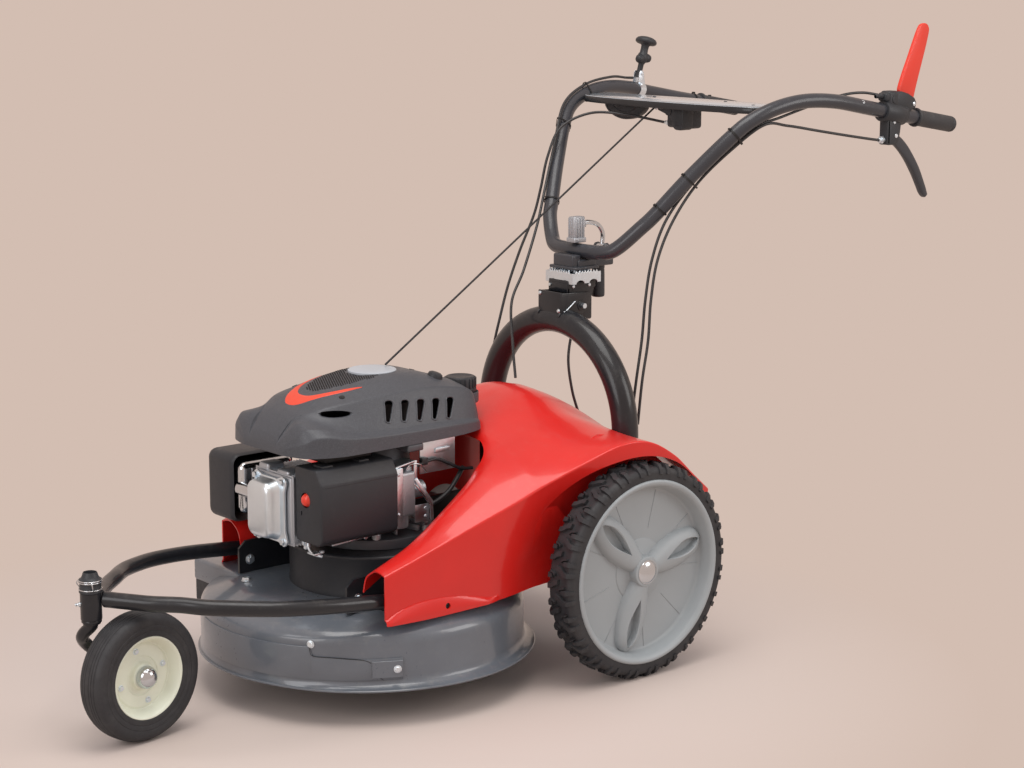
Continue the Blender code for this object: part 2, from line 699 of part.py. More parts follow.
cover_values = sorted(
    {COVER[0][0] + (COVER[-1][0] - COVER[0][0]) * step / COVER_STATIONS for step in range(COVER_STATIONS)}
    | {COVER[4][0], COVER[5][0]}
)
cover_rows = swept(COVER, cover_values + [COVER[-1][0] - 1e-6])
front_rows = [row for row in cover_rows if row[0] < COVER[5][0] - 1e-9]
back_rows = [
    (row[0], 0.0, *row[2:]) for row in cover_rows if row[0] >= COVER[5][0] - 1e-9
]
cover = loft("red_cover", [cover_section(row) for row in front_rows + back_rows])
mirror = cover.modifiers.new("other_side", "MIRROR")
mirror.use_clip = True
mirror.merge_threshold = 0.00005
wall = cover.modifiers.new("wall", "SOLIDIFY")
wall.thickness = COVER_WALL
wall.offset = -1.0
wall.use_even_offset = True
for label, side in (("left", 1), ("right", -1)):
    arch_cut = rod(
        f"wheel_arch_{label}", (side * 0.255, -0.008, WHEEL_ARCH_Z), (side * 0.40, -0.008, WHEEL_ARCH_Z), WHEEL_ARCH_R, 48
    )
    cut(cover, arch_cut)
cut(cover, arch_cutter)
keep(cover, "red_paint")

# Engine: riser on the deck, block with finned cylinder, head, valve cover and moulded shroud
riser_profile = [
    (0.030, RISER_TOP), (RISER_R - 0.006, RISER_TOP), (RISER_R, RISER_TOP - 0.006),
    (RISER_R, DECK_TOP + GAP), (RISER_R - 0.004, DECK_TOP + GAP), (RISER_R - 0.004, RISER_TOP - 0.008),
    (0.030, RISER_TOP - 0.006),
]
keep(turned("engine_riser", riser_profile, (0, CRANK_Y, 0), (0, 0, 1), 32, ring=True), "black_plastic")

bore = CRANK_R + GAP
block_profile = [
    (bore, SHROUD_Z - 0.005), (0.058, SHROUD_Z - 0.005), (0.066, 0.436), (0.068, 0.288),
    (0.114, 0.282), (0.114, ENGINE_BASE), (bore, ENGINE_BASE),
]
engine = turned("engine_block", block_profile, (0, CRANK_Y, 0), (0, 0, 1), 24, ring=True)
barrel = block("cylinder_barrel", (-0.040, -0.529, 0.300), (0.040, -0.420, 0.402), 0.010)
BAR_TOP = SHROUD_Z - GAP
BAR_FRONT = CRANK_Y + 0.010
side_bar = block("shroud_side_bar", (-0.1375, BAR_FRONT - 0.035, BAR_TOP - 0.013), (0.1375, BAR_FRONT, BAR_TOP))
join(engine, barrel, side_bar)
HEAD_BACK_Y = -0.530
for index in range(5):
    y = HEAD_BACK_Y + GAP + 0.010 * index
    fin = block(f"cylinder_fin_{index}", (-0.054, y, 0.290), (0.054, y + 0.0025, 0.412))
    join(engine, fin)
cut(engine, rod("crank_bore", (0, CRANK_Y, 0.20), (0, CRANK_Y, 0.50), bore, 24))
keep(engine, "cast_aluminium")

head = block("cylinder_head", (-HEAD_HALF, HEAD_FACE_Y, 0.287), (HEAD_HALF, HEAD_BACK_Y, 0.414), 0.006)
keep(head, "cast_aluminium")
valve = block("valve_cover", (-0.050, HEAD_FACE_Y - 0.0065, 0.285), (0.050, HEAD_FACE_Y - GAP, 0.412), 0.003)
dome = block("valve_dome", (-0.037, -0.612, 0.300), (0.037, HEAD_FACE_Y - 0.004, 0.398), 0.014, 3)
join(valve, dome)
keep(valve, "cast_aluminium")

muffler = block("muffler", (-0.238, -0.552, 0.300), (-0.140, -0.436, 0.398), 0.012)
pipe = rod("muffler_pipe", (-HEAD_HALF - GAP, -0.548, 0.350), (-0.150, -0.548, 0.350), 0.0125, 16)
horn_outline = [(-0.560, 0.200), (-0.400, 0.200), (-0.400, 0.336), (-0.440, 0.3095), (-0.560, 0.2660)]
horn_room = plate("horn_room", horn_outline, 0.120, "X", -0.260)
join(muffler, pipe)
cut(muffler, horn_room)
keep(muffler, "steel")
guard = block("muffler_guard", (-0.2445, -0.562, 0.284), (-0.150, -0.426, 0.412), 0.014, 3)
guard_room = block("guard_room", (-0.238 - GAP, -0.5595, 0.2865), (-0.100, -0.4285, 0.4095), 0.012)
cut(guard, guard_room, horn_room)
keep(guard, "black_plastic")

base = block(
    "air_filter_base", (HEAD_HALF + GAP, FILTER_FRONT + 0.003, FILTER_LOW + 0.003),
    (HEAD_HALF + 0.006, FILTER_BACK - 0.003, FILTER_TOP - 0.003),
)
keep(base, "black_plastic")
FILTER_IN = HEAD_HALF + 0.006 + GAP
filter_cover = block(
    "air_filter_cover", (FILTER_IN, FILTER_FRONT, FILTER_LOW), (FILTER_OUT, FILTER_BACK, FILTER_TOP), 0.009
)
primer_x, primer_z = PRIMER_AT
primer_hole = rod(
    "primer_hole", (primer_x, FILTER_FRONT - 0.01, primer_z), (primer_x, FILTER_FRONT + 0.014, primer_z),
    PRIMER_R + GAP, 20,
)
cut(filter_cover, primer_hole)
keep(filter_cover, "black_plastic")

body("primer_button", (primer_x, FILTER_FRONT, primer_z))
primer_profile = [
    (0, 0.0060), (0.0060, 0.0052), (0.0100, 0.0025), (PRIMER_R, -0.0010), (PRIMER_R, -0.0070), (0, -0.0070),
]
primer = turned("primer_bulb", primer_profile, (primer_x, FILTER_FRONT, primer_z), (0, -1, 0), 20)
keep(primer, "button_red", "primer_button")

carb = block("carburettor", (0.072, FILTER_BACK + GAP, 0.322), (0.122, -0.352, 0.402), 0.004)
bowl = rod("carburettor_bowl", (0.097, -0.380, 0.300), (0.097, -0.380, 0.330), 0.020, 20)
neck = rod("carburettor_neck", (0.097, -0.360, 0.362), (0.097, -0.3260, 0.362), 0.016, 16)
join(carb, bowl, neck)
keep(carb, "cast_aluminium")

governor = block("governor_plate", (0.0980, -0.330, 0.388), (0.1002, -0.250, SHROUD_Z - 0.0005))
flange = block("governor_flange", (0.0700, BAR_FRONT + GAP, SHROUD_Z - 0.0025), (0.1002, -0.250, SHROUD_Z - 0.0005))
slot = block("governor_slot", (0.090, -0.295, 0.424), (0.110, -0.266, 0.430))
join(governor, flange)
cut(governor, slot)
keep(governor, "zinc")

# Shroud sections from the nose back: y, height of the middle, then x and z of the crown, the shoulder,
# the hollow under it, the ledge and the belly, and last the half width of the rim
SHROUD = [
    (-0.600, 0.4690, 0.035, 0.4688, 0.060, 0.4680, 0.080, 0.4665, 0.092, 0.4650, 0.101, 0.4610, 0.103),
    (-0.592, 0.4860, 0.035, 0.4855, 0.062, 0.4830, 0.090, 0.4800, 0.108, 0.4760, 0.120, 0.4660, 0.121),
    (-0.565, 0.5130, 0.032, 0.5125, 0.058, 0.5090, 0.086, 0.4990, 0.112, 0.4960, 0.133, 0.4800, 0.136),
    (-0.520, 0.5390, 0.040, 0.5380, 0.076, 0.5290, 0.100, 0.5130, 0.122, 0.5040, 0.138, 0.4830, 0.140),
    (-0.480, 0.5520, 0.045, 0.5505, 0.088, 0.5380, 0.108, 0.5170, 0.127, 0.4960, 0.139, 0.4820, 0.140),
    (-0.420, 0.5620, 0.050, 0.5605, 0.094, 0.5450, 0.112, 0.5190, 0.129, 0.4900, 0.138, 0.4780, 0.139),
    (-0.360, 0.5650, 0.050, 0.5640, 0.097, 0.5470, 0.114, 0.5180, 0.129, 0.4890, 0.137, 0.4780, 0.138),
    (-0.300, 0.5620, 0.050, 0.5600, 0.099, 0.5440, 0.114, 0.5150, 0.126, 0.4870, 0.134, 0.4770, 0.135),
    (-0.260, 0.5520, 0.050, 0.5500, 0.099, 0.5360, 0.111, 0.5090, 0.121, 0.4840, 0.129, 0.4760, 0.130),
    (-0.225, 0.5330, 0.050, 0.5300, 0.096, 0.5180, 0.106, 0.4970, 0.113, 0.4790, 0.120, 0.4720, 0.121),
    (-0.198, 0.5050, 0.045, 0.5030, 0.086, 0.4960, 0.095, 0.4830, 0.101, 0.4730, 0.106, 0.4670, 0.107),
    (-0.188, 0.4840, 0.040, 0.4825, 0.074, 0.4780, 0.082, 0.4710, 0.087, 0.4660, 0.091, 0.4630, 0.092),
]
SHROUD_WALL = 0.003


def shroud_volume(name, inset=0.0):
    """The shroud's closed outer form down to its rim, or with an inset its inner one."""
    sections = []
    for row in SHROUD:
        y = max(SHROUD[0][0] + inset, min(SHROUD[-1][0] - inset, row[0]))
        half = [(row[n], row[n + 1]) for n in range(2, 12, 2)]
        half = [(x - inset, y, z - inset) for x, z in half] + [(row[12] - inset, y, SHROUD_Z - 5 * inset)]
        sections.append([(0.0, y, row[1] - inset)] + half + mirrored(half)[::-1])
    return loft(name, sections, closed=True)


shroud = shroud_volume("engine_shroud")
room = shroud_volume("shroud_room", SHROUD_WALL)
FUEL_CAP_AT = (0.042, -0.190)
FUEL_CAP_Z = 0.513
FUEL_CAP_R = 0.0240
neck = rod("filler_neck", (*FUEL_CAP_AT, 0.490), (*FUEL_CAP_AT, FUEL_CAP_Z + 0.005), FUEL_CAP_R + 0.004, 20)
pocket = rod("filler_pocket", (*FUEL_CAP_AT, FUEL_CAP_Z), (*FUEL_CAP_AT, 0.560), FUEL_CAP_R + 0.0015, 20)
cut(shroud, room)
join(shroud, neck)
cut(shroud, pocket)
VENTS = 5
for index in range(VENTS):
    y = -0.422 + 0.034 * index
    low = 0.4992 + 0.0002 * index
    vent_outline = [
        (y, low), (y + 0.005, low + 0.0007), (y + 0.011, 0.5310), (y + 0.008, 0.5375), (y, 0.5365), (y - 0.001, 0.5300),
    ]
    vent = plate(f"shroud_vent_{index}", vent_outline, 0.065, "X", 0.095)
    cut(shroud, vent)
keep(shroud, "black_plastic")

disc_low = max(row[1] for row in SHROUD) + GAP
disc_profile = [(0, disc_low + 0.005), (0.040, disc_low + 0.004), (0.044, disc_low), (0, disc_low)]
keep(turned("starter_disc", disc_profile, (0, CRANK_Y, 0), (0, 0, 1), 32), "grey_plastic")

body("fuel_cap", (*FUEL_CAP_AT, FUEL_CAP_Z))
cap_low = FUEL_CAP_Z + GAP
fuel_cap_profile = [
    (0, cap_low + 0.029), (FUEL_CAP_R - 0.005, cap_low + 0.029), (FUEL_CAP_R, cap_low + 0.025),
    (FUEL_CAP_R, cap_low + 0.002), (FUEL_CAP_R - 0.002, cap_low), (0, cap_low),
]
fuel_cap = turned("fuel_filler_cap", fuel_cap_profile, (*FUEL_CAP_AT, 0), (0, 0, 1), 24)
keep(fuel_cap, "black_plastic", "fuel_cap")

# Crank and cutter: shaft down through the riser, flywheel on top, blade below
body("crank", (0, CRANK_Y, 0))
HUB_LOW = BLADE_Z + 0.005 + GAP
crank_profile = [
    (0, 0.512), (CRANK_R, 0.512), (CRANK_R, 0.140), (0.028, 0.136), (0.032, HUB_LOW), (0, HUB_LOW),
]
keep(turned("crankshaft", crank_profile, (0, CRANK_Y, 0), (0, 0, 1), 20), "steel", "crank")
FLY_LOW = 0.458
fly_profile = [
    (bore, FLY_LOW + 0.034), (0.030, FLY_LOW + 0.034), (0.034, FLY_LOW + 0.012), (0.078, FLY_LOW + 0.012),
    (0.082, FLY_LOW + 0.030), (0.088, FLY_LOW + 0.030), (0.088, FLY_LOW), (bore, FLY_LOW),
]
keep(turned("flywheel", fly_profile, (0, CRANK_Y, 0), (0, 0, 1), 24, ring=True), "cast_aluminium", "crank")
BLADE_HALF = 0.029
blade_outline = [
    (-BLADE_R, CRANK_Y - BLADE_HALF), (-0.060, CRANK_Y - BLADE_HALF), (0.060, CRANK_Y - 0.034),
    (BLADE_R, CRANK_Y - 0.020), (BLADE_R, CRANK_Y + BLADE_HALF), (0.060, CRANK_Y + BLADE_HALF),
    (-0.060, CRANK_Y + 0.034), (-BLADE_R, CRANK_Y + 0.020),
]
blade = plate("cutter_bar", blade_outline, 0.005, "Z", BLADE_Z)
keep(blade, "steel", "crank")
bolt_profile = [
    (0, BLADE_Z - GAP), (0.026, BLADE_Z - GAP), (0.026, BLADE_Z - 0.004), (0.012, BLADE_Z - 0.004),
    (0.012, BLADE_Z - 0.014), (0, BLADE_Z - 0.014),
]
keep(turned("cutter_bolt", bolt_profile, (0, CRANK_Y, 0), (0, 0, 1), 12), "zinc", "crank")

# Handlebar mount: saddle on the arch, tilting bracket, toothed plate and the jaw that swivels on it
bar_half = [
    (0.0350, 0.1370, BAR_BASE_Z), (0.0740, 0.1450, BAR_BASE_Z + 0.002), (0.0970, 0.1560, 0.7570),
    (0.1290, 0.1780, 0.7920), (0.1480, 0.1990, 0.8190), (0.1870, 0.2460, 0.8860),
    (0.2350, 0.3080, 0.9630), (0.2560, 0.3450, 0.9960), (0.2710, 0.3980, 1.0180),
    (0.2820, 0.4610, 1.0280), (0.2930, 0.5330, 1.0250), (0.3000, 0.6130, 1.0110),
    (0.3000, 0.6840, 0.9980), (0.3000, 0.7400, 0.98847), (0.3000, 0.8720, 0.9660),
]
bar_points = mirrored(bar_half)[::-1] + [(0, 0.1350, BAR_BASE_Z)] + bar_half
bar_path = smooth_path(bar_points, 0.060)
bar_cutter = tube("bar_clearance", bar_path, BAR_R + GAP, 3)
tool(bar_cutter)

saddle = block("arch_saddle", (-0.028, 0.070, 0.610), (0.028, 0.150, 0.656), 0.004)
cut(saddle, arch_cutter)
pin_hole = rod("saddle_pin_hole", (-0.05, TILT_Y, TILT_Z), (0.05, TILT_Y, TILT_Z), PIN_R + GAP, 16)
cut(saddle, pin_hole)
keep(saddle, "black_paint")
keep(rod("tilt_pin", (-0.042, TILT_Y, TILT_Z), (0.042, TILT_Y, TILT_Z), PIN_R, 16), "zinc")

body("tilt_bracket", (0, TILT_Y, TILT_Z))
PLATE_LOW = 0.6900
bracket = block("tilt_bracket_plate", (-0.036, 0.086, 0.672), (0.036, 0.158, PLATE_LOW - GAP), 0.003)
EAR_IN = 0.028 + 0.0005
for label, side in (("left", 1), ("right", -1)):
    ends = sorted((side * EAR_IN, side * (EAR_IN + 0.0065)))
    ear = block(f"tilt_ear_{label}", (ends[0], 0.102, 0.626), (ends[1], 0.136, 0.676), 0.004)
    join(bracket, ear)
ear_hole = rod("ear_pin_hole", (-0.05, TILT_Y, TILT_Z), (0.05, TILT_Y, TILT_Z), PIN_R + GAP, 16)
cut(bracket, ear_hole)
keep(bracket, "black_paint", "tilt_bracket")

toothed = block("toothed_plate", (-0.037, 0.090, PLATE_LOW), (0.037, 0.160, 0.7030), 0.002)
TEETH = 16
for index in range(TEETH):
    angle = 2 * math.pi * index / TEETH
    tooth = block(f"tooth_{index}", (0.016, -0.0022, 0.7020), (0.0290, 0.0022, JAW_LOW - GAP))
    tooth.data.transform(
        Matrix.Translation((0, SWIVEL_Y, 0)) @ Matrix.Rotation(angle, 4, "Z")
    )
    join(toothed, tooth)
keep(toothed, "zinc", "tilt_bracket")

body("handlebar", (0, SWIVEL_Y, BAR_BASE_Z))
jaw = block("handlebar_jaw", (-0.036, 0.094, JAW_LOW), (0.036, 0.214, 0.7380), 0.003)
cut(jaw, bar_cutter)
keep(jaw, "black_paint", "handlebar")
bar = tube("handlebar_tube", bar_path, BAR_R)
keep(bar, "black_paint", "handlebar")
spring_case = rod("clamp_spring_case", (0.0, 0.1900, 0.6460), (0.0, 0.1900, JAW_LOW - GAP), 0.0130, 16)
keep(spring_case, "black_plastic", "handlebar")


def bar_frame(index_y):
    """A point on the left arm of the bar at a given y, and the direction towards its grip."""
    for first, second in zip(bar_path, bar_path[1:]):
        if first.x > 0.05 and first.y <= index_y <= second.y:
            share = (index_y - first.y) / (second.y - first.y)
            return first.lerp(second, share), (second - first).normalized()
    raise ValueError("no point of the bar lies there")


def beside_bar(y, side, under, inward):
    """A point beside an arm of the bar, so far under it and so far towards the middle."""
    place, way = bar_frame(y)
    down = way.cross(Vector((1, 0, 0))).normalized()
    place = place + down * under + way.cross(down) * inward
    return (side * place.x, place.y, place.z)


for label, side in (("left", 1), ("right", -1)):
    end = Vector(bar_half[-1])
    before = Vector(bar_half[-2])
    direction = (end - before).normalized()
    start = end - direction * (GRIP_LENGTH - 0.006)
    start.x *= side
    direction.x *= side
    inner = BAR_R + GAP
    length = GRIP_LENGTH
    grip_profile = [
        (0, length), (GRIP_R - 0.004, length), (GRIP_R, length - 0.004), (GRIP_R, 0.006),
        (GRIP_R + 0.003, 0.004), (GRIP_R + 0.003, 0), (inner, 0), (inner, length - 0.006 + GAP),
        (0, length - 0.006 + GAP),
    ]
    grip = turned(f"grip_{label}", grip_profile, start, direction, 20)
    keep(grip, "rubber", "handlebar")

# Dash plate between the arms, with the lever quadrant and the throttle case under it
DASH_Z = 1.0160
DASH_T = 0.0030


def dash_edge(y):
    """A point of the dash's side edge, just clear of the bar as seen from above."""
    place, way = bar_frame(y)
    flat = Vector((way.x, way.y)).normalized()
    return (place.x - flat.y * (BAR_R + 2 * GAP), place.y + flat.x * (BAR_R + 2 * GAP))


dash_side = [dash_edge(y) for y in (0.385, 0.398, 0.412, 0.426, 0.440, 0.452)]
dash_front = [(0.230, 0.362), (0.150, 0.344), (0.0, 0.337), (-0.150, 0.344), (-0.230, 0.362)]
dash_outline = dash_side[::-1] + dash_front + [(-x, y) for x, y in dash_side] + [(0.0, 0.462)]
dash = plate("dash_plate", dash_outline, DASH_T, "Z", DASH_Z)
lip_outline = [
    (-0.225, 0.3645), (-0.150, 0.3465), (0.0, 0.3395), (0.150, 0.3465), (0.225, 0.3645), (0.225, 0.3675),
    (0.150, 0.3495), (0.0, 0.3425), (-0.150, 0.3495), (-0.225, 0.3675),
]
lip = plate("dash_lip", lip_outline, 0.012, "Z", DASH_Z - 0.011)
join(dash, lip)
cut(dash, bar_cutter)
keep(dash, "dash_paint", "handlebar")

QUADRANT_X = -0.130
quadrant_outline = [(QUADRANT_X - 0.060, DASH_Z - GAP), (QUADRANT_X + 0.060, DASH_Z - GAP)]
for step in range(13):
    angle = math.radians(200.0 + 140.0 * (12 - step) / 12)
    quadrant_outline.append(
        (QUADRANT_X + 0.062 * math.cos(angle), DASH_Z - 0.004 + 0.038 * min(0.0, math.sin(angle)))
    )
quadrant = plate("lever_quadrant", quadrant_outline, 0.016, "Y", 0.376)
keep(quadrant, "black_plastic", "handlebar")
throttle_case = block("throttle_case", (-0.026, 0.366, 0.962), (0.050, 0.424, DASH_Z - GAP), 0.006)
ROPE_STOP_Y = 0.380
rope_stop = block("rope_stop", (-0.054, ROPE_STOP_Y, 0.994), (-0.016, ROPE_STOP_Y + 0.010, DASH_Z - GAP))
join(throttle_case, rope_stop)
keep(throttle_case, "black_plastic", "handlebar")

# Left hand controls: perch on the bar, red stop lever above, black drive lever below
PERCH_Y = 0.690
STOP_AT = (0.7440, 1.0125)
DRIVE_AT = (0.6950, 0.9450)
perch_at, perch_way = bar_frame(PERCH_Y)
ring_start = perch_at - perch_way * 0.030
perch_x = perch_at.x
perch = rod("lever_perch", ring_start, ring_start + perch_way * 0.066, 0.0215, 20)
upper_web = block("perch_upper_web", (perch_x - 0.0120, 0.6900, 1.0080), (perch_x + 0.0120, 0.6985, 1.0380))
lower_web = block("perch_lower_web", (perch_x - 0.0110, 0.6760, 0.9350), (perch_x + 0.0110, 0.6840, 0.9780))
join(perch, upper_web, lower_web)
for label, side in (("inner", -1), ("outer", 1)):
    ends = sorted((perch_x + side * 0.0046, perch_x + side * 0.0115))
    upper_cheek = block(f"perch_upper_cheek_{label}", (ends[0], 0.6975, 1.0060), (ends[1], STOP_AT[0] + 0.0060, 1.0330))
    ends = sorted((perch_x + side * 0.0056, perch_x + side * 0.0105))
    lower_cheek = block(f"perch_lower_cheek_{label}", (ends[0], 0.6830, 0.9360), (ends[1], 0.7040, 0.9770))
    join(perch, upper_cheek, lower_cheek)
cut(perch, bar_cutter)
keep(perch, "black_plastic", "handlebar")

body("stop_lever", (perch_x, *STOP_AT))
stop_outline = [
    (0.7400, 1.0060), (0.7340, 1.0080), (0.7300, 1.0150), (0.7080, 1.0400), (0.7190, 1.0680), (0.7350, 1.1010),
    (0.7510, 1.1350), (0.7645, 1.1600), (0.7720, 1.1665), (0.7820, 1.1690), (0.7910, 1.1650), (0.7945, 1.1530),
    (0.7870, 1.1260), (0.7740, 1.0870), (0.7610, 1.0480), (0.7520, 1.0190), (0.7490, 1.0080),
]
STOP_T = 0.0080
stop = plate("stop_lever_red", stop_outline, STOP_T, "X", perch_x - STOP_T / 2)
soften(stop, 0.0015, 1)
keep(stop, "button_red", "stop_lever")

body("drive_lever", (perch_x, *DRIVE_AT))
drive_outline = [
    (0.6870, 0.9520), (0.7020, 0.9560), (0.7300, 0.9420), (0.7560, 0.9180), (0.7780, 0.8880), (0.7980, 0.8540),
    (0.8080, 0.8300), (0.8040, 0.8230), (0.7960, 0.8220), (0.7880, 0.8320), (0.7620, 0.8720), (0.7380, 0.9000),
    (0.7180, 0.9180), (0.6960, 0.9310), (0.6870, 0.9380),
]
DRIVE_T = 0.0100
drive = plate("drive_lever_black", drive_outline, DRIVE_T, "X", perch_x - DRIVE_T / 2)
soften(drive, 0.0020, 1)
keep(drive, "black_paint", "drive_lever")

# Right side: zinc bracket on the bar with the knobbed selector lever
KNOB_Y = 0.575
knob_at, knob_way = bar_frame(KNOB_Y)
knob_at.x *= -1
knob_way.x *= -1
knob_bracket = rod("selector_bracket", knob_at - knob_way * 0.011, knob_at + knob_way * 0.011, BAR_R + 0.004, 20)
SELECTOR_AT = (KNOB_Y, knob_at.z + 0.034)
for label, side in (("inner", 1), ("outer", -1)):
    middle = knob_at.x + side * 0.0085
    cheek = block(
        f"selector_cheek_{label}", (middle - 0.0015, KNOB_Y - 0.010, knob_at.z + BAR_R - 0.004),
        (middle + 0.0015, KNOB_Y + 0.010, SELECTOR_AT[1] + 0.008),
    )
    join(knob_bracket, cheek)
cut(knob_bracket, bar_cutter)
keep(knob_bracket, "zinc", "handlebar")

body("selector_lever", (knob_at.x, *SELECTOR_AT))
stem_low = Vector((knob_at.x, *SELECTOR_AT)) - Vector((0, 0.0015, 0.0080))
stem_way = Vector((0.0, 0.30, 1.0)).normalized()
stem_profile = [
    (0, 0.0880), (0.0140, 0.0870), (0.0215, 0.0820), (0.0230, 0.0760), (0.0190, 0.0730), (0.0090, 0.0700),
    (0.0080, 0.0560), (0.0170, 0.0520), (0.0190, 0.0460), (0.0170, 0.0400), (0.0085, 0.0330),
    (0.0062, 0.0280), (0.0062, 0), (0, 0),
]
selector = turned("selector_knob_lever", stem_profile, stem_low, stem_way, 16)
keep(selector, "black_plastic", "selector_lever")

# Clamp lever: ribbed zinc grip with a bent rod, hinged behind the bar
CLAMP_AT = (0.1980, 0.7440)
body("clamp_lever", (0, *CLAMP_AT))
clamp = block("clamp_lever_grip", (-0.011, 0.118, 0.7575), (0.011, 0.148, 0.8080), 0.003)
for index in range(4):
    y = 0.1215 + 0.0070 * index
    groove = block(f"grip_groove_{index}", (-0.015, y, 0.7640), (-0.0095, y + 0.0030, 0.8120))
    groove_far = block(f"grip_groove_far_{index}", (0.0095, y, 0.7640), (0.015, y + 0.0030, 0.8120))
    cut(clamp, groove, groove_far)
rod_path = smooth_path(
    [(0, 0.140, 0.793), (0, 0.164, 0.794), (0, 0.188, 0.787), (0, 0.201, 0.768), (0, CLAMP_AT[0], 0.740)], 0.008
)
join(clamp, tube("clamp_rod", rod_path, 0.0048, 2))
clamp_hinge = rod("clamp_hinge", (-0.010, *CLAMP_AT), (0.010, *CLAMP_AT), 0.0058, 14)
join(clamp, clamp_hinge)
clamp_room = block("clamp_room", (-0.0105, CLAMP_AT[0] - 0.0090, 0.7370), (0.0105, 0.2200, 0.7600))
cut(jaw, clamp_room)
keep(clamp, "zinc", "clamp_lever")

# Cables and starter rope, each whole along its route
CASE_SIDE = -0.026 - GAP
CABLES = {
    "throttle_cable": (CABLE_R, [
        (CASE_SIDE, 0.4050, 0.9720), (CASE_SIDE - 0.0150, 0.4050, 0.9720), (-0.1000, 0.3600, 0.9850),
        (-0.1600, 0.3150, 0.9880), (-0.1900, 0.2600, 0.9600), (-0.1900, 0.2250, 0.9050),
        (-0.1900, 0.2060, 0.8400), (-0.1900, 0.1880, 0.7880), (-0.1900, 0.1520, 0.7210),
        (-0.1900, 0.1210, 0.6530), (-0.1920, 0.1000, 0.5850), (-ARCH_HALF - 0.0050, 0.0940, 0.5400),
        (-ARCH_HALF - 0.0230, 0.0980, 0.4800), (-ARCH_HALF - 0.0310, 0.1040, 0.4180),
    ]),
    "selector_cable": (CABLE_R, [
        (knob_at.x - 0.0085, KNOB_Y - 0.010 - GAP, 1.0430), (knob_at.x - 0.0085, KNOB_Y - 0.030, 1.0440),
        beside_bar(0.480, -1, -0.0205, 0.003), beside_bar(0.400, -1, -0.0190, 0.003),
        beside_bar(0.330, -1, -0.0205, 0.003), beside_bar(0.270, -1, -0.0195, 0.003),
        (-0.1660, 0.1980, 0.8480), (-0.1360, 0.1500, 0.7760), (-0.1060, 0.0900, 0.6960),
        (-0.0860, 0.0420, 0.6380), (-0.0560, 0.0200, 0.5600), (-0.0340, 0.0080, 0.5020),
    ]),
    "drive_cable": (CABLE_R, [
        (0.3000, 0.6760 - GAP, 0.9450), (0.3000, 0.6560, 0.9450), (0.2910, 0.5900, 0.9550),
        (0.2800, 0.5120, 0.9680), (0.2680, 0.4300, 0.9820), beside_bar(0.360, 1, 0.0190, -0.0045),
        beside_bar(0.300, 1, 0.0185, -0.0045), beside_bar(0.250, 1, 0.0195, -0.0045),
        (0.1800, 0.2150, 0.8090), (0.1780, 0.1780, 0.7380), (0.1780, 0.1620, 0.6630), (0.1800, 0.1540, 0.5870),
        (0.1820, 0.1380, 0.5120), (0.1840, 0.1260, 0.4300),
    ]),
    "stop_cable": (CABLE_R, [
        (0.3000, 0.6900 - GAP, 1.0300), (0.3000, 0.6700, 1.0300), (0.2880, 0.6200, 1.0380),
        (0.2760, 0.5680, 1.0340), (0.2660, 0.4850, 1.0150), (0.2580, 0.4200, 0.9980),
        beside_bar(0.350, 1, 0.0190, 0.0045), beside_bar(0.295, 1, 0.0185, 0.0045),
        beside_bar(0.245, 1, 0.0195, 0.0055), (0.1680, 0.2080, 0.8090), (0.1670, 0.1740, 0.7380),
        (0.1670, 0.1580, 0.6630), (0.1680, 0.1490, 0.5870), (0.1700, 0.1340, 0.5120), (0.1710, 0.1200, 0.4300),
    ]),
    "lock_cable": (CABLE_R, [
        (-0.0200, 0.1550, 0.6720 - GAP), (-0.0200, 0.1550, 0.6500), (-0.0210, 0.1580, 0.6200),
        (-0.0190, 0.1400, 0.5800), (-0.0140, 0.1260, 0.5270), (-0.0070, 0.1300, 0.4670),
        (-0.0010, 0.1420, 0.4200),
    ]),
    "starter_rope": (ROPE_R, [(0.0, -0.3300, 0.5735), (-0.0225, 0.0240, 0.7872), (-0.0450, 0.3785, 1.0015)]),
}
for name, (radius, route) in CABLES.items():
    keep(tube(name, smooth_path(route, CABLE_STEP), radius, 2), "cable_skin")
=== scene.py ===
# %% [markdown]
# # Walk-behind brush cutter
# The solids of the machine come in as a fixed frame, one named body for each part that moves. Every
# piece made here, the cables aside, sits on one of those bodies in the same metres, so nothing has to be fitted by
# eye.
# A photograph could be matched by moving the model; moving the camera is the better way, because
# then the sizes in the source stay true.

# %% Load the frame
import math

import bmesh
import bpy
from mathutils import Matrix, Quaternion, Vector
from mathutils.bvhtree import BVHTree


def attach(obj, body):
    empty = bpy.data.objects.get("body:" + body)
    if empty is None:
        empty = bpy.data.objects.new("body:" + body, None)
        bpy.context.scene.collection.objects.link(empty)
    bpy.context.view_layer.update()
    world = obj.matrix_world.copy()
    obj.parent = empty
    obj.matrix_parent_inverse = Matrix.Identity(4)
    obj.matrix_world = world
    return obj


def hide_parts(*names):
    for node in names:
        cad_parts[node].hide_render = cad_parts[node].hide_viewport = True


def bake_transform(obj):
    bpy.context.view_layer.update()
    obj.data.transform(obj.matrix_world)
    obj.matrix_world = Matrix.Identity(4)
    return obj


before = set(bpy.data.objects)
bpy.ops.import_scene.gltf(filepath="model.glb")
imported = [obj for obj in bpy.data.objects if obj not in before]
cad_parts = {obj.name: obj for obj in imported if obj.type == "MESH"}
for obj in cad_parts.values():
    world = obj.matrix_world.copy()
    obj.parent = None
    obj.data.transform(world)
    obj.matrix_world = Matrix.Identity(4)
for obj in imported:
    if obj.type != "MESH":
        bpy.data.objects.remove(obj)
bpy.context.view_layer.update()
AXLE_Y = 0.053
scene = bpy.context.scene

# %% [markdown]
# ## Camera, floor and light
# The camera stands where the photograph was taken from, low at the left front of the machine, with a
# long lens that keeps the wheels from swelling. It was worked out from round wheels and the two like
# arms of the handlebar. The light is a large soft lamp above, one at the left and one in front, as in a
# studio, over a plain pale floor.

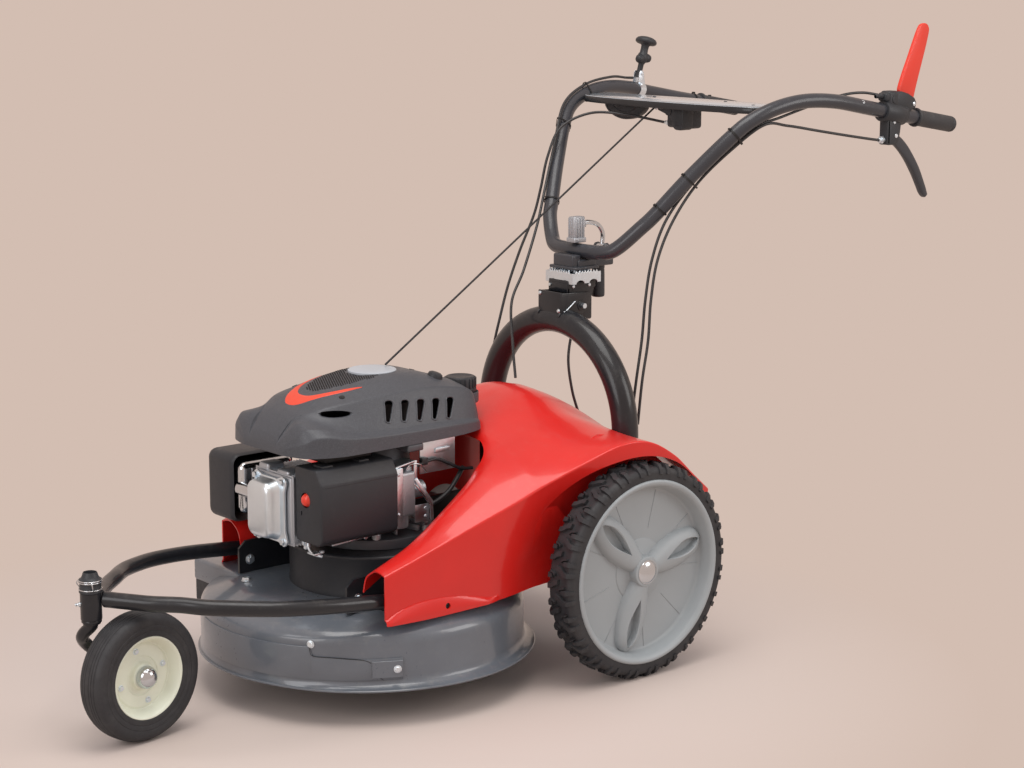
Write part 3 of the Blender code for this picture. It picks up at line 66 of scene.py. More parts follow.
# %% Camera
camera = bpy.data.cameras.new("camera")
camera.sensor_width = 36.0
camera.lens = 77.73
viewer = bpy.data.objects.new("camera", camera)
scene.collection.objects.link(viewer)
viewer.location = (3.1454, -2.6971 + AXLE_Y, 1.3089)
azimuth, elevation, roll = (math.radians(angle) for angle in (49.7, 11.1, 0.06))
look = Vector((
    -math.sin(azimuth) * math.cos(elevation), math.cos(azimuth) * math.cos(elevation), -math.sin(elevation),
))
viewer.rotation_mode = "QUATERNION"
viewer.rotation_quaternion = look.to_track_quat("-Z", "Y") @ Quaternion((0, 0, 1), roll)
scene.camera = viewer
print("camera looks along", [round(value, 3) for value in look])

# %% Floor, background and lamps
scene.view_settings.view_transform = "Standard"
floor_mesh = bpy.data.meshes.new("floor")
floor_mesh.from_pydata([(-9, -9, 0), (9, -9, 0), (9, 9, 0), (-9, 9, 0)], [], [(0, 1, 2, 3)])
floor = bpy.data.objects.new("floor", floor_mesh)
scene.collection.objects.link(floor)

BACKGROUND = (0.651, 0.515, 0.445)
world = bpy.data.worlds.new("studio")
scene.world = world
world.use_nodes = True
air = world.node_tree
air.nodes.clear()
seen = air.nodes.new("ShaderNodeBackground")
seen.inputs["Color"].default_value = (*BACKGROUND, 1)
seen.inputs["Strength"].default_value = 1.0
glow = air.nodes.new("ShaderNodeBackground")
glow.inputs["Color"].default_value = (0.93, 0.94, 1.0, 1)
glow.inputs["Strength"].default_value = 0.72
rays = air.nodes.new("ShaderNodeLightPath")
pick = air.nodes.new("ShaderNodeMixShader")
out = air.nodes.new("ShaderNodeOutputWorld")
straight = None
for kind in ("Is Camera Ray", "Is Glossy Ray", "Is Transmission Ray"):
    total = air.nodes.new("ShaderNodeMath")
    total.operation = "ADD"
    air.links.new(rays.outputs[kind], total.inputs[0])
    total.inputs[1].default_value = 0.0
    if straight:
        air.links.new(straight, total.inputs[1])
    straight = total.outputs[0]
air.links.new(straight, pick.inputs[0])
air.links.new(glow.outputs[0], pick.inputs[1])
air.links.new(seen.outputs[0], pick.inputs[2])
air.links.new(pick.outputs[0], out.inputs["Surface"])


def lamp(name, place, aim, size, power, colour):
    """A square soft lamp that looks at a point."""
    light = bpy.data.lights.new(name, "AREA")
    light.size = size
    light.energy = power
    light.color = colour
    obj = bpy.data.objects.new(name, light)
    scene.collection.objects.link(obj)
    obj.location = place
    obj.rotation_mode = "QUATERNION"
    obj.rotation_quaternion = (Vector(aim) - Vector(place)).to_track_quat("-Z", "Y")


lamp("top_lamp", (0.6, -0.6, 3.4), (0, 0, 0.4), 2.2, 56, (1.0, 0.99, 0.97))
lamp("left_lamp", (2.6, 1.6, 1.9), (0, 0, 0.5), 1.5, 24, (1.0, 0.98, 0.96))
lamp("front_lamp", (0.6, -3.2, 1.6), (0, -0.3, 0.4), 1.6, 24, (0.97, 0.98, 1.0))

# %% [markdown]
# ## Words for shader maths
# A material is a small program. Written node by node, its formulas drown in links, so one class
# stands for a socket and lets Python's own operators add the Math nodes. A second class holds the
# tree and adds any other node by its type, its settings and its sockets.


# %% Socket arithmetic
class Signal:
    """An output socket that can be added, subtracted, multiplied and divided like a number."""

    def __init__(self, finish, socket):
        self.finish = finish
        self.socket = socket

    def maths(self, operation, *values):
        """One Math node on the given values, in their order."""
        return self.finish.node("ShaderNodeMath", {"operation": operation}, dict(enumerate(values)))

    def __add__(self, other):
        return self.maths("ADD", self, other)

    def __radd__(self, other):
        return self.maths("ADD", other, self)

    def __sub__(self, other):
        return self.maths("SUBTRACT", self, other)

    def __rsub__(self, other):
        return self.maths("SUBTRACT", other, self)

    def __mul__(self, other):
        return self.maths("MULTIPLY", self, other)

    def __rmul__(self, other):
        return self.maths("MULTIPLY", other, self)

    def __truediv__(self, other):
        return self.maths("DIVIDE", self, other)

    def __pow__(self, other):
        return self.maths("POWER", self, other)

    def sine(self):
        """The sine of the value, taken as an angle in radians."""
        return self.maths("SINE", self)

    def between(self, low, high):
        """0 below low, 1 above high, with a straight slope from one to the other."""
        return self.finish.node(
            "ShaderNodeMapRange", {"clamp": True}, {0: self, 1: low, 2: high, 3: 0.0, 4: 1.0}
        )


class Finish:
    """A material whose tree is filled by short expressions."""

    def __init__(self, name):
        self.material = bpy.data.materials.new(name)
        self.material.use_nodes = True
        self.tree = self.material.node_tree
        self.shader = self.tree.nodes["Principled BSDF"]

    def node(self, kind, settings=None, sockets=None, output=0):
        """Add a node. A ramp's stops are given as the setting named stops."""
        made = self.tree.nodes.new(kind)
        for key, value in (settings or {}).items():
            if key == "stops":
                for element, (place, colour) in zip(made.color_ramp.elements, value):
                    element.position = place
                    element.color = colour
            else:
                setattr(made, key, value)
        for key, value in (sockets or {}).items():
            if isinstance(value, Signal):
                self.tree.links.new(value.socket, made.inputs[key])
            else:
                made.inputs[key].default_value = value
        return Signal(self, made.outputs[output])

    def set(self, socket, value):
        """Give the shader's socket a value or a link."""
        if isinstance(value, Signal):
            self.tree.links.new(value.socket, self.shader.inputs[socket])
        else:
            self.shader.inputs[socket].default_value = value

    def place(self):
        """Object coordinates, which are metres on the machine."""
        return self.node("ShaderNodeTexCoord", output=3)

    def noise(self, scale, detail=3.0, rough=0.5):
        """Soft noise from 0 to 1; scale is in waves to the metre."""
        sockets = {"Vector": self.place(), "Scale": scale, "Detail": detail, "Roughness": rough}
        return self.node("ShaderNodeTexNoise", None, sockets)

    def cells(self, scale):
        """Distance to the nearest of many scattered points."""
        return self.node("ShaderNodeTexVoronoi", None, {"Vector": self.place(), "Scale": scale})

    def axis(self, which, where=None):
        """One coordinate of the place, or of another vector."""
        return self.node("ShaderNodeSeparateXYZ", None, {0: where or self.place()}, "XYZ".index(which))

    def blend(self, share, first, second):
        """A colour between two, by a share from 0 to 1."""
        first, second = ((*c, 1.0) if isinstance(c, tuple) and len(c) == 3 else c for c in (first, second))
        return self.node("ShaderNodeMix", {"data_type": "RGBA"}, {0: share, 6: first, 7: second}, 2)

    def bump(self, height, depth):
        """A Bump node on the shader's Normal; depth is in metres."""
        sockets = {"Height": height, "Distance": depth, "Strength": 1.0}
        self.set("Normal", self.node("ShaderNodeBump", None, sockets))


def shade(colour, factor):
    """A colour made darker or lighter."""
    return tuple(min(1.0, channel * factor) for channel in colour)


print("maths nodes read as expressions from here on")

# %% [markdown]
# ## Finishes
# The machine has some two dozen finishes. Glossy paint shows a faint ripple, moulded plastic a fine
# grain, plated steel its patchy sheen, cast metal a coarse skin, rubber a dull bloom. Each is made by
# one function from its colour, its gloss and the size of its grain, then a few get a touch of
# their own. The grain is in real millimetres, because patterns read Object coordinates in metres.

# %% One function for the common finishes
FINISHES = {}


def plain_finish(name, colour, gloss, grain, depth, metal=0.0, coat=0.0, patch=0.12, dust=0.0, level=0.5):
    """Colour in slow patches, roughness in finer ones, a grain in relief and dust that settles on top."""
    made = Finish(name)
    slow = made.noise(9.0, 4.0)
    fine = made.noise(160.0, 3.0)
    tone = made.blend(slow.between(0.3, 0.7), shade(colour, 1 - patch), shade(colour, 1 + patch))
    if dust:
        speck = made.noise(55.0, 6.0, 0.7).between(0.52, 0.78)
        up = made.node("ShaderNodeNewGeometry", output=1)
        flat = made.axis("Z", up).between(-0.2, 1.0)
        tone = made.blend(speck * flat * dust, tone, (0.42, 0.37, 0.31))
    made.set("Base Color", tone)
    made.set("Roughness", gloss + (fine - 0.5) * (0.35 * gloss) + (slow - 0.5) * (0.2 * gloss))
    made.set("Metallic", metal)
    made.set("Coat Weight", coat)
    made.set("Coat Roughness", 0.08)
    made.set("Specular IOR Level", level)
    made.bump(made.noise(grain, 4.0, 0.6), depth)
    FINISHES[name] = made


plain_finish("red_cover", (0.66, 0.014, 0.01), 0.32, 30.0, 0.00035, coat=0.4, patch=0.05, dust=0.06, level=0.4)
plain_finish("deck_paint", (0.12, 0.132, 0.15), 0.3, 45.0, 0.00025, coat=0.6, patch=0.1, dust=0.25)
plain_finish("frame_paint", (0.013, 0.014, 0.017), 0.34, 60.0, 0.0002, coat=0.3, patch=0.15, dust=0.1, level=0.35)
plain_finish("bar_paint", (0.034, 0.036, 0.043), 0.34, 60.0, 0.00012, coat=0.25, patch=0.1, dust=0.06, level=0.45)
plain_finish("shroud_plastic", (0.044, 0.047, 0.055), 0.44, 1100.0, 0.00022, patch=0.06, dust=0.08)
plain_finish("engine_plastic", (0.026, 0.027, 0.031), 0.44, 900.0, 0.00018, patch=0.08, dust=0.08, level=0.4)
plain_finish("control_plastic", (0.03, 0.032, 0.036), 0.46, 900.0, 0.00015, patch=0.1, dust=0.08, level=0.4)
plain_finish("wheel_grey", (0.335, 0.355, 0.36), 0.42, 700.0, 0.0001, patch=0.04, dust=0.08)
plain_finish("starter_grey", (0.43, 0.44, 0.46), 0.36, 500.0, 0.0001, patch=0.06)
plain_finish("cream_zinc", (0.8, 0.81, 0.66), 0.3, 90.0, 0.00012, patch=0.06, dust=0.06)
plain_finish("rubber", (0.03, 0.03, 0.033), 0.62, 420.0, 0.00035, patch=0.2, dust=0.3)
plain_finish("grip_rubber", (0.034, 0.034, 0.037), 0.6, 1300.0, 0.0002, patch=0.1, dust=0.12)
plain_finish("zinc", (0.76, 0.85, 0.94), 0.3, 120.0, 0.00015, metal=1.0, patch=0.1)
plain_finish("bright_steel", (0.62, 0.66, 0.7), 0.16, 60.0, 0.0001, metal=1.0, patch=0.08)
plain_finish("cast_aluminium", (0.48, 0.51, 0.55), 0.44, 520.0, 0.0004, metal=0.85, patch=0.12, dust=0.06)
plain_finish("dark_steel", (0.21, 0.2, 0.19), 0.46, 240.0, 0.0003, metal=0.9, patch=0.25)
plain_finish("cable_skin", (0.026, 0.026, 0.028), 0.4, 700.0, 0.0001, patch=0.1, dust=0.1)
plain_finish("rope_black", (0.03, 0.029, 0.031), 0.7, 900.0, 0.0003, patch=0.15)
plain_finish("button_red", (0.76, 0.04, 0.018), 0.34, 300.0, 0.0001, coat=0.2, patch=0.05)
plain_finish("accent_red", (0.74, 0.06, 0.025), 0.4, 900.0, 0.0001, patch=0.05)
plain_finish("dash_paint", (0.41, 0.435, 0.46), 0.2, 50.0, 0.0001, coat=0.9, patch=0.05, dust=0.06, level=0.9)
plain_finish("deep_black", (0.006, 0.006, 0.007), 0.55, 300.0, 0.0001, patch=0.1)
plain_finish("cast_dark", (0.11, 0.116, 0.128), 0.5, 520.0, 0.0004, metal=0.6, patch=0.15, dust=0.06)
print(len(FINISHES), "finishes made")

# %% The floor's own finish
ground = Finish("floor_finish")
ground.set("Base Color", ground.blend(ground.noise(1.3, 2.0), (0.6, 0.494, 0.438), (0.622, 0.512, 0.452)))
ground.set("Roughness", 0.85)
ground.set("Specular IOR Level", 0.1)
east, north = ground.axis("X"), ground.axis("Y")
north = north + 0.3
far_off = ((east * east + north * north) ** 0.5).between(0.55, 1.1)
backdrop = ground.node("ShaderNodeEmission", None, {"Color": (*BACKGROUND, 1), "Strength": 1.0})
lit = Signal(ground, ground.shader.outputs[0])
faded = ground.node("ShaderNodeMixShader", None, {0: far_off, 1: lit, 2: backdrop})
ground.tree.links.new(faded.socket, ground.tree.nodes["Material Output"].inputs["Surface"])
floor_mesh.materials.append(ground.material)
print("floor tone set")

# %% [markdown]
# ## Touches that only some finishes have
# Plated steel crystallises in small patches that catch the light apart. Cast parts are pitted. A
# sheathed cable has a slow spiral from the wires under its skin, and the rope shows its strands. A
# picture could be wrapped on for these, but a formula stays sharp at any distance.

# %% Spangle, pits, spirals
for name in ("zinc", "cream_zinc"):
    plated = FINISHES[name]
    spangle = plated.cells(260.0)
    plated.set("Roughness", 0.24 + 0.16 * spangle + 0.1 * plated.noise(30.0))
cast = FINISHES["cast_aluminium"]
cast.bump(cast.noise(520.0, 5.0, 0.7) - 0.4 * cast.cells(300.0), 0.00045)
rope = FINISHES["rope_black"]
lay = (rope.axis("Z") * 2400.0 + rope.axis("Y") * 900.0 + rope.axis("X") * 2400.0).sine()
rope.bump(lay, 0.0004)
tyre_skin = FINISHES["rubber"]
bloom = tyre_skin.noise(22.0, 5.0, 0.65).between(0.45, 0.75)
tyre_skin.set("Base Color", tyre_skin.blend(bloom * 0.5, (0.024, 0.024, 0.027), (0.062, 0.06, 0.06)))
grained = FINISHES["shroud_plastic"]
# Lighter flecks in the shroud's base colour: painted glints, highlights drawn as colour on its grain.
painted_glint = grained.noise(1300.0, 2.0).between(0.5, 0.72)
grained.set("Base Color", grained.blend(painted_glint * 0.55, (0.048, 0.05, 0.058), (0.2, 0.205, 0.222)))
print("special touches added")

# %% [markdown]
# ## Mesh tools
# Most of the machine is turned, bent from tube, folded from sheet or moulded as a rounded block. Each
# of these has one short function here that adds its shape to a bmesh, so a piece can be a handful
# of such shapes. The points are the machine's own: the origin lies on the ground under the rear
# axle, and the finished mesh is moved by the one offset that the frame uses.


# %% Finish a piece
UP = (0, 0, 1)
WELD = 0.000004  # points closer than this become one


def piece(name, shape, slot, finish, carrier, *nodes, sharp=38.0, clean=True):
    """Turn a bmesh or a mesh in machine coordinates into an object, on a body if one is given."""
    if isinstance(shape, bmesh.types.BMesh):
        mesh = bpy.data.meshes.new(name)
        if clean:
            bmesh.ops.remove_doubles(shape, verts=shape.verts, dist=WELD)
            bmesh.ops.recalc_face_normals(shape, faces=shape.faces)
        shape.to_mesh(mesh)
        shape.free()
    else:
        mesh = shape
        mesh.name = name
    mesh.transform(Matrix.Translation((0, AXLE_Y, 0)))
    mesh.shade_smooth()
    mesh.set_sharp_from_angle(angle=math.radians(sharp))
    mesh.materials.clear()
    mesh.materials.append(FINISHES[finish].material)
    mesh.polygons.foreach_set("material_index", [0] * len(mesh.polygons))
    obj = bpy.data.objects.new(name, mesh)
    scene.collection.objects.link(obj)
    if carrier:
        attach(obj, carrier)
    if nodes:
        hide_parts(*nodes)
    return obj


def along(start, way):
    """The matrix that puts local +Z on a direction from a point."""
    turn = Vector(UP).rotation_difference(Vector(way))
    return Matrix.Translation(Vector(start)) @ turn.to_matrix().to_4x4()


# %% Turned, swept, folded and moulded shapes
def lathe(bm, profile, at, way, steps=64, ring=False):
    """Turn a profile of (radius, height) about a line through at."""
    frame_at = along(at, way)
    rows = []
    for radius, height in profile:
        if radius < 1e-6:
            rows.append([bm.verts.new(frame_at @ Vector((0, 0, height)))])
            continue
        rows.append([
            bm.verts.new(frame_at @ Vector((
                radius * math.cos(2 * math.pi * i / steps), radius * math.sin(2 * math.pi * i / steps), height,
            )))
            for i in range(steps)
        ])
    pairs = list(zip(rows, rows[1:]))
    if ring:
        pairs.append((rows[-1], rows[0]))
    for low, high in pairs:
        for i in range(steps):
            j = (i + 1) % steps
            corners = [low[i % len(low)], low[j % len(low)], high[j % len(high)], high[i % len(high)]]
            kept = [v for n, v in enumerate(corners) if v not in corners[:n]]
            if len(kept) > 2:
                bm.faces.new(kept)


def smooth_path(points, spacing):
    """Points about one spacing apart on a smooth curve through the given points."""
    nodes = [Vector(p) for p in points]
    nodes = [2 * nodes[0] - nodes[1]] + nodes + [2 * nodes[-1] - nodes[-2]]
    path = []
    for p0, p1, p2, p3 in zip(nodes, nodes[1:], nodes[2:], nodes[3:]):
        count = max(1, round((p2 - p1).length / spacing))
        for step in range(count):
            t = step / count
            path.append(0.5 * (
                2 * p1 + (p2 - p0) * t + (2 * p0 - 5 * p1 + 4 * p2 - p3) * t**2
                + (3 * p1 - p0 - 3 * p2 + p3) * t**3
            ))
    path.append(nodes[-2])
    return path


def frames_along(path):
    """Each point of a path with two directions across it that turn as little as they can."""
    ways = []
    for i in range(len(path)):
        before, after = path[max(i - 1, 0)], path[min(i + 1, len(path) - 1)]
        ways.append((after - before).normalized())
    side = ways[0].orthogonal().normalized()
    framed = []
    for i, way in enumerate(ways):
        if i:
            side = ways[i - 1].rotation_difference(way) @ side
        side = (side - way * side.dot(way)).normalized()
        framed.append((path[i], way, side, way.cross(side)))
    return framed


def pipe(bm, path, radius, sides=20, dome=0.0):
    """A round tube along a path. Radius is one number or one for each point; dome rounds the ends."""
    radii = radius if isinstance(radius, (list, tuple)) else [radius] * len(path)
    framed = frames_along([Vector(p) for p in path])
    rows = []
    if dome:
        place, way, side, across = framed[0]
        rows += [(place - way * dome * math.cos(a), side, across, radii[0] * math.sin(a)) for a in (0.4, 0.8, 1.2)]
    rows += [(place, side, across, r) for (place, way, side, across), r in zip(framed, radii)]
    if dome:
        place, way, side, across = framed[-1]
        rows += [(place + way * dome * math.cos(a), side, across, radii[-1] * math.sin(a)) for a in (1.2, 0.8, 0.4)]
    rings = []
    for place, side, across, r in rows:
        rings.append([
            bm.verts.new(place + side * (r * math.cos(2 * math.pi * i / sides))
                         + across * (r * math.sin(2 * math.pi * i / sides)))
            for i in range(sides)
        ])
    for low, high in zip(rings, rings[1:]):
        for i in range(sides):
            j = (i + 1) % sides
            bm.faces.new((low[i], low[j], high[j], high[i]))
    bm.faces.new(reversed(rings[0]))
    bm.faces.new(rings[-1])


def add_shape(bm, other):
    """Pour one bmesh into another."""
    mesh = bpy.data.meshes.new("poured")
    other.to_mesh(mesh)
    other.free()
    bm.from_mesh(mesh)
    bpy.data.meshes.remove(mesh)


def rounded(bm, shape, edge, segments=3, angle=30.0):
    """Round a shape's sharp edges, then pour it in."""
    if edge:
        limit = math.radians(angle)
        edges = [e for e in shape.edges if len(e.link_faces) == 2 and e.calc_face_angle(0) > limit]
        bmesh.ops.bevel(
            shape, geom=edges, offset=edge, segments=segments, profile=0.5, affect="EDGES", clamp_overlap=True
        )
    add_shape(bm, shape)


def brick(bm, low, high, edge=0.0, segments=3):
    """A rounded block between two corners."""
    shape = bmesh.new()
    bmesh.ops.create_cube(shape, size=1.0)
    bmesh.ops.scale(shape, vec=Vector(high) - Vector(low), verts=shape.verts)
    bmesh.ops.translate(shape, vec=(Vector(high) + Vector(low)) / 2, verts=shape.verts)
    rounded(bm, shape, edge, segments)


def slab(bm, outline, thickness, axis, at, edge=0.0, segments=2):
    """A flat outline given a thickness across axis X, Y or Z, from a given height."""
    place = {"X": lambda u, v, w: (w, u, v), "Y": lambda u, v, w: (u, w, v), "Z": lambda u, v, w: (u, v, w)}[axis]
    shape = bmesh.new()
    low = [shape.verts.new(place(u, v, at)) for u, v in outline]
    high = [shape.verts.new(place(u, v, at + thickness)) for u, v in outline]
    shape.faces.new(reversed(low))
    shape.faces.new(high)
    for i in range(len(outline)):
        j = (i + 1) % len(outline)
        shape.faces.new((low[i], low[j], high[j], high[i]))
    bmesh.ops.recalc_face_normals(shape, faces=shape.faces)
    rounded(bm, shape, edge, segments, 25.0)


def bridge(bm, rows, closed=False, caps=False):
    """Faces between rows of equal count."""
    made = [[bm.verts.new(p) for p in row] for row in rows]
    count = len(made[0])
    for low, high in zip(made, made[1:]):
        for i in range(count if closed else count - 1):
            j = (i + 1) % count
            bm.faces.new((low[i], low[j], high[j], high[i]))
    if caps:
        bm.faces.new(reversed(made[0]))
        bm.faces.new(made[-1])


def baked(obj):
    """The mesh that an object's modifiers make."""
    bpy.context.view_layer.update()
    return bpy.data.meshes.new_from_object(obj.evaluated_get(bpy.context.evaluated_depsgraph_get()))


def carve(bm, *cutters, how="DIFFERENCE", solver="EXACT"):
    """Cut shapes out of a bmesh, or join them to it, and give back a mesh."""
    made = []
    for shape in (bm, *cutters):
        mesh = bpy.data.meshes.new("carved")
        bmesh.ops.remove_doubles(shape, verts=shape.verts, dist=WELD)
        bmesh.ops.recalc_face_normals(shape, faces=shape.faces)
        shape.to_mesh(mesh)
        shape.free()
        made.append(bpy.data.objects.new("carved", mesh))
        scene.collection.objects.link(made[-1])
    for other in made[1:]:
        step = made[0].modifiers.new("carve", "BOOLEAN")
        step.operation = how
        step.solver = solver
        step.object = other
    result = baked(made[0])
    for obj in made:
        bpy.data.objects.remove(obj, do_unlink=True)
    return result


def thickened(bm, wall, mirrored=False):
    """A skin with a wall on its inside, after its other side is added where only one was drawn."""
    skin = bpy.data.meshes.new("skin")
    bm.to_mesh(skin)
    bm.free()
    sheet = bpy.data.objects.new("skin", skin)
    scene.collection.objects.link(sheet)
    if mirrored:
        mirror = sheet.modifiers.new("other_side", "MIRROR")
        mirror.use_clip = True
        mirror.merge_threshold = 0.00005
    step = sheet.modifiers.new("wall", "SOLIDIFY")
    step.thickness = wall
    step.offset = -1.0
    step.use_even_offset = False
    result = baked(sheet)
    bpy.data.objects.remove(sheet, do_unlink=True)
    return result


def as_bmesh(mesh):
    """A mesh as a bmesh again, for more shapes."""
    bm = bmesh.new()
    bm.from_mesh(mesh)
    bpy.data.meshes.remove(mesh)
    return bm


def one(builder, *args, **options):
    """A new bmesh with one shape in it."""
    bm = bmesh.new()
    builder(bm, *args, **options)
    return bm


def several(builder, bm, *rows):
    """Shapes of one kind, each from a row of its builder's arguments."""
    for row in rows:
        builder(bm, *row)


def mirrored_slabs(bm, outline, near, far, edge, middle=0.0):
    """The same upright sheet at the right and at the left, between two distances from the middle."""
    for side in (-1, 1):
        low, high = sorted((side * near, side * far))
        slab(bm, outline, high - low, "X", middle + low, edge)


print("shape tools ready")

# %% [markdown]
# ## Geometry Nodes for what repeats
# Screws, tread lugs, ribs and air pits are the same small shape many times over. Copying them in
# a loop would work, but a node tree states the rule: so many round an axis, or one at each point,
# turned to that point's own direction. Two trees cover the whole machine.


# %% Two trees: round an axis, and on points
class Growth:
    """A Geometry Nodes tree with named inputs and one method that adds any node."""

    def __init__(self, name, inputs):
        self.tree = bpy.data.node_groups.new(name, "GeometryNodeTree")
        face = self.tree.interface
        face.new_socket("Geometry", in_out="OUTPUT", socket_type="NodeSocketGeometry")
        face.new_socket("Geometry", in_out="INPUT", socket_type="NodeSocketGeometry")
        for label, kind in inputs:
            face.new_socket(label, in_out="INPUT", socket_type=kind)
        self.given = self.tree.nodes.new("NodeGroupInput")
        self.result = self.tree.nodes.new("NodeGroupOutput")

    def node(self, kind, settings=None, sockets=None):
        """Add a node; a socket given as a value is linked."""
        made = self.tree.nodes.new(kind)
        for key, value in (settings or {}).items():
            setattr(made, key, value)
        for key, value in (sockets or {}).items():
            if isinstance(value, bpy.types.NodeSocket):
                self.tree.links.new(value, made.inputs[key])
            else:
                made.inputs[key].default_value = value
        return made

    def close(self, geometry):
        """Make instances real, give them their finish and end the tree."""
        real = self.node("GeometryNodeRealizeInstances", None, {0: geometry})
        painted = self.node(
            "GeometryNodeSetMaterial", None, {0: real.outputs[0], "Material": self.given.outputs["Finish"]}
        )
        self.tree.links.new(painted.outputs[0], self.result.inputs[0])


around = Growth("round_an_axis", [
    ("Count", "NodeSocketInt"), ("Start", "NodeSocketFloat"), ("Place", "NodeSocketVector"),
    ("Turn", "NodeSocketVector"), ("Finish", "NodeSocketMaterial"),
])
line = around.node(
    "GeometryNodeMeshLine", {"mode": "OFFSET"}, {"Count": around.given.outputs["Count"], "Offset": (0, 0, 0)},
)
index = around.node("GeometryNodeInputIndex")
share = around.node(
    "ShaderNodeMath", {"operation": "DIVIDE"}, {0: index.outputs[0], 1: around.given.outputs["Count"]},
)
angle = around.node(
    "ShaderNodeMath", {"operation": "MULTIPLY_ADD"},
    {0: share.outputs[0], 1: math.tau, 2: around.given.outputs["Start"]},
)
spin = around.node("ShaderNodeCombineXYZ", None, {"Z": angle.outputs[0]})
copies = around.node("GeometryNodeInstanceOnPoints", None, {
    "Points": line.outputs[0], "Instance": around.given.outputs["Geometry"], "Rotation": spin.outputs[0],
})
moved = around.node("GeometryNodeTransform", None, {
    0: copies.outputs[0], "Translation": around.given.outputs["Place"], "Rotation": around.given.outputs["Turn"],
})
around.close(moved.outputs[0])

planted = Growth("one_at_each_point", [("Shape", "NodeSocketObject"), ("Finish", "NodeSocketMaterial")])
shape_in = planted.node(
    "GeometryNodeObjectInfo", {"transform_space": "ORIGINAL"}, {"Object": planted.given.outputs["Shape"]},
)
way = planted.node("GeometryNodeInputNamedAttribute", {"data_type": "FLOAT_VECTOR"}, {"Name": "way"})
turn = planted.node("FunctionNodeAlignRotationToVector", {"axis": "Z"}, {"Vector": way.outputs[0]})
copies = planted.node("GeometryNodeInstanceOnPoints", None, {
    "Points": planted.given.outputs["Geometry"], "Instance": shape_in.outputs["Geometry"],
    "Rotation": turn.outputs[0],
})
planted.close(copies.outputs[0])


def grow(mesh, growth, values):
    """Run a tree on a mesh and give back what it makes as a plain mesh."""
    obj = bpy.data.objects.new("grown", mesh)
    scene.collection.objects.link(obj)
    modifier = obj.modifiers.new("grow", "NODES")
    modifier.node_group = growth.tree
    for item in growth.tree.interface.items_tree:
        if item.item_type == "SOCKET" and item.in_out == "INPUT" and item.name in values:
            modifier[item.identifier] = values[item.name]
    result = baked(obj)
    obj.modifiers.remove(modifier)
    bpy.data.objects.remove(obj, do_unlink=True)
    return result


def ring_of(bm, count, centre, way, finish, start=0.0):
    """Copies of a shape round a line through centre."""
    mesh = bpy.data.meshes.new("one_of_ring")
    bmesh.ops.recalc_face_normals(bm, faces=bm.faces)
    bm.to_mesh(mesh)
    bm.free()
    turn = Vector(UP).rotation_difference(Vector(way)).to_euler()
    return grow(mesh, around, {
        "Count": count, "Start": start, "Place": tuple(centre), "Turn": tuple(turn),
        "Finish": FINISHES[finish].material,
    })


def planted_on(bm, places, finish):
    """A copy of a shape, made along +Z, at each (point, direction)."""
    shape = bpy.data.meshes.new("planted_shape")
    bmesh.ops.recalc_face_normals(bm, faces=bm.faces)
    bm.to_mesh(shape)
    bm.free()
    source = bpy.data.objects.new("planted_shape", shape)
    scene.collection.objects.link(source)
    points = bpy.data.meshes.new("planted_points")
    points.from_pydata([tuple(p) for p, _ in places], [], [])
    ways = points.attributes.new("way", "FLOAT_VECTOR", "POINT")
    ways.data.foreach_set("vector", [value for _, w in places for value in Vector(w).normalized()])
    result = grow(points, planted, {"Shape": source, "Finish": FINISHES[finish].material})
    bpy.data.objects.remove(source, do_unlink=True)
    return result


# %% Screws and bolts for the whole machine
def hex_bolt(across, height, washer):
    """A hexagon head with a chamfer on its washer, standing on the ground plane of +Z."""
    bm = bmesh.new()
    lathe(bm, [(0, 0), (washer, 0), (washer, 0.001), (washer - 0.0006, 0.0014), (0, 0.0014)], (0, 0, 0), UP, 24)
    r = across / math.sqrt(3)
    lathe(bm, [(0, 0.0012), (r, 0.0012), (r, height * 0.82), (r * 0.86, height), (0, height)], (0, 0, 0), UP, 6)
    return bm


def pan_screw(radius, height):
    """A low round head with a cross recess."""
    bm = bmesh.new()
    lathe(
        bm,
        [
            (0, -0.0005), (radius, -0.0005), (radius, height * 0.4), (radius * 0.8, height * 0.85),
            (radius * 0.35, height), (radius * 0.25, height * 0.4), (0, height * 0.4),
        ],
        (0, 0, 0), UP, 14,
    )
    return bm


print("growth trees:", around.tree.name, planted.tree.name)

# %% [markdown]
# ## Rear wheels
# Each driven wheel is one grey moulding: a dished disc with a smooth lip, a raised hub and three
# swelling blades, each with a leaf-shaped hollow along its crest. Sculpting would give the blades,
# but they follow a rule, a half ellipse whose height and width change along the radius, so rows of
# points say it better. The tyre is a turned carcass with a pattern of lugs that repeats 24 times.

# %% Sizes of a rear wheel
REAR_X = 0.321
REAR_R = 0.2
RIM_R = 0.1715
HUB_OUT = 0.0255
PITCHES = 24
BLADE_TURN = math.radians(105)
LUG_HEIGHT = 0.0064
SKIN_HALF = 0.0475
TREAD_FLAT, TREAD_CORNER = 0.0195, 0.0105
TREAD_R, SHOULDER_R = 0.1935, 0.183
LUG_SHOULDER = 0.021
TYRE_HALF = 0.0328
LUG_DRAFT, LUG_ROOT = 0.0009, -0.001
LUGS = (
    ((-0.003, 0.0, 0.0085), (0.005, 0.001, 0.011), (0.01, 0.004, 0.015), (0.016, 0.009, 0.0185),
     (0.022, 0.0105, 0.019), (0.03, 0.01, 0.0185), (0.037, 0.0095, 0.0175)),
    ((0.0125, -0.0085, -0.0025), (0.017, -0.0095, -0.0015), (0.022, -0.0095, -0.001),
     (0.03, -0.0085, -0.0015), (0.0365, -0.008, -0.002)),
    ((0.006, -0.0105, -0.006), (0.01, -0.0125, -0.0105), (0.015, -0.0145, -0.0115), (0.018, -0.015, -0.0125)),
)


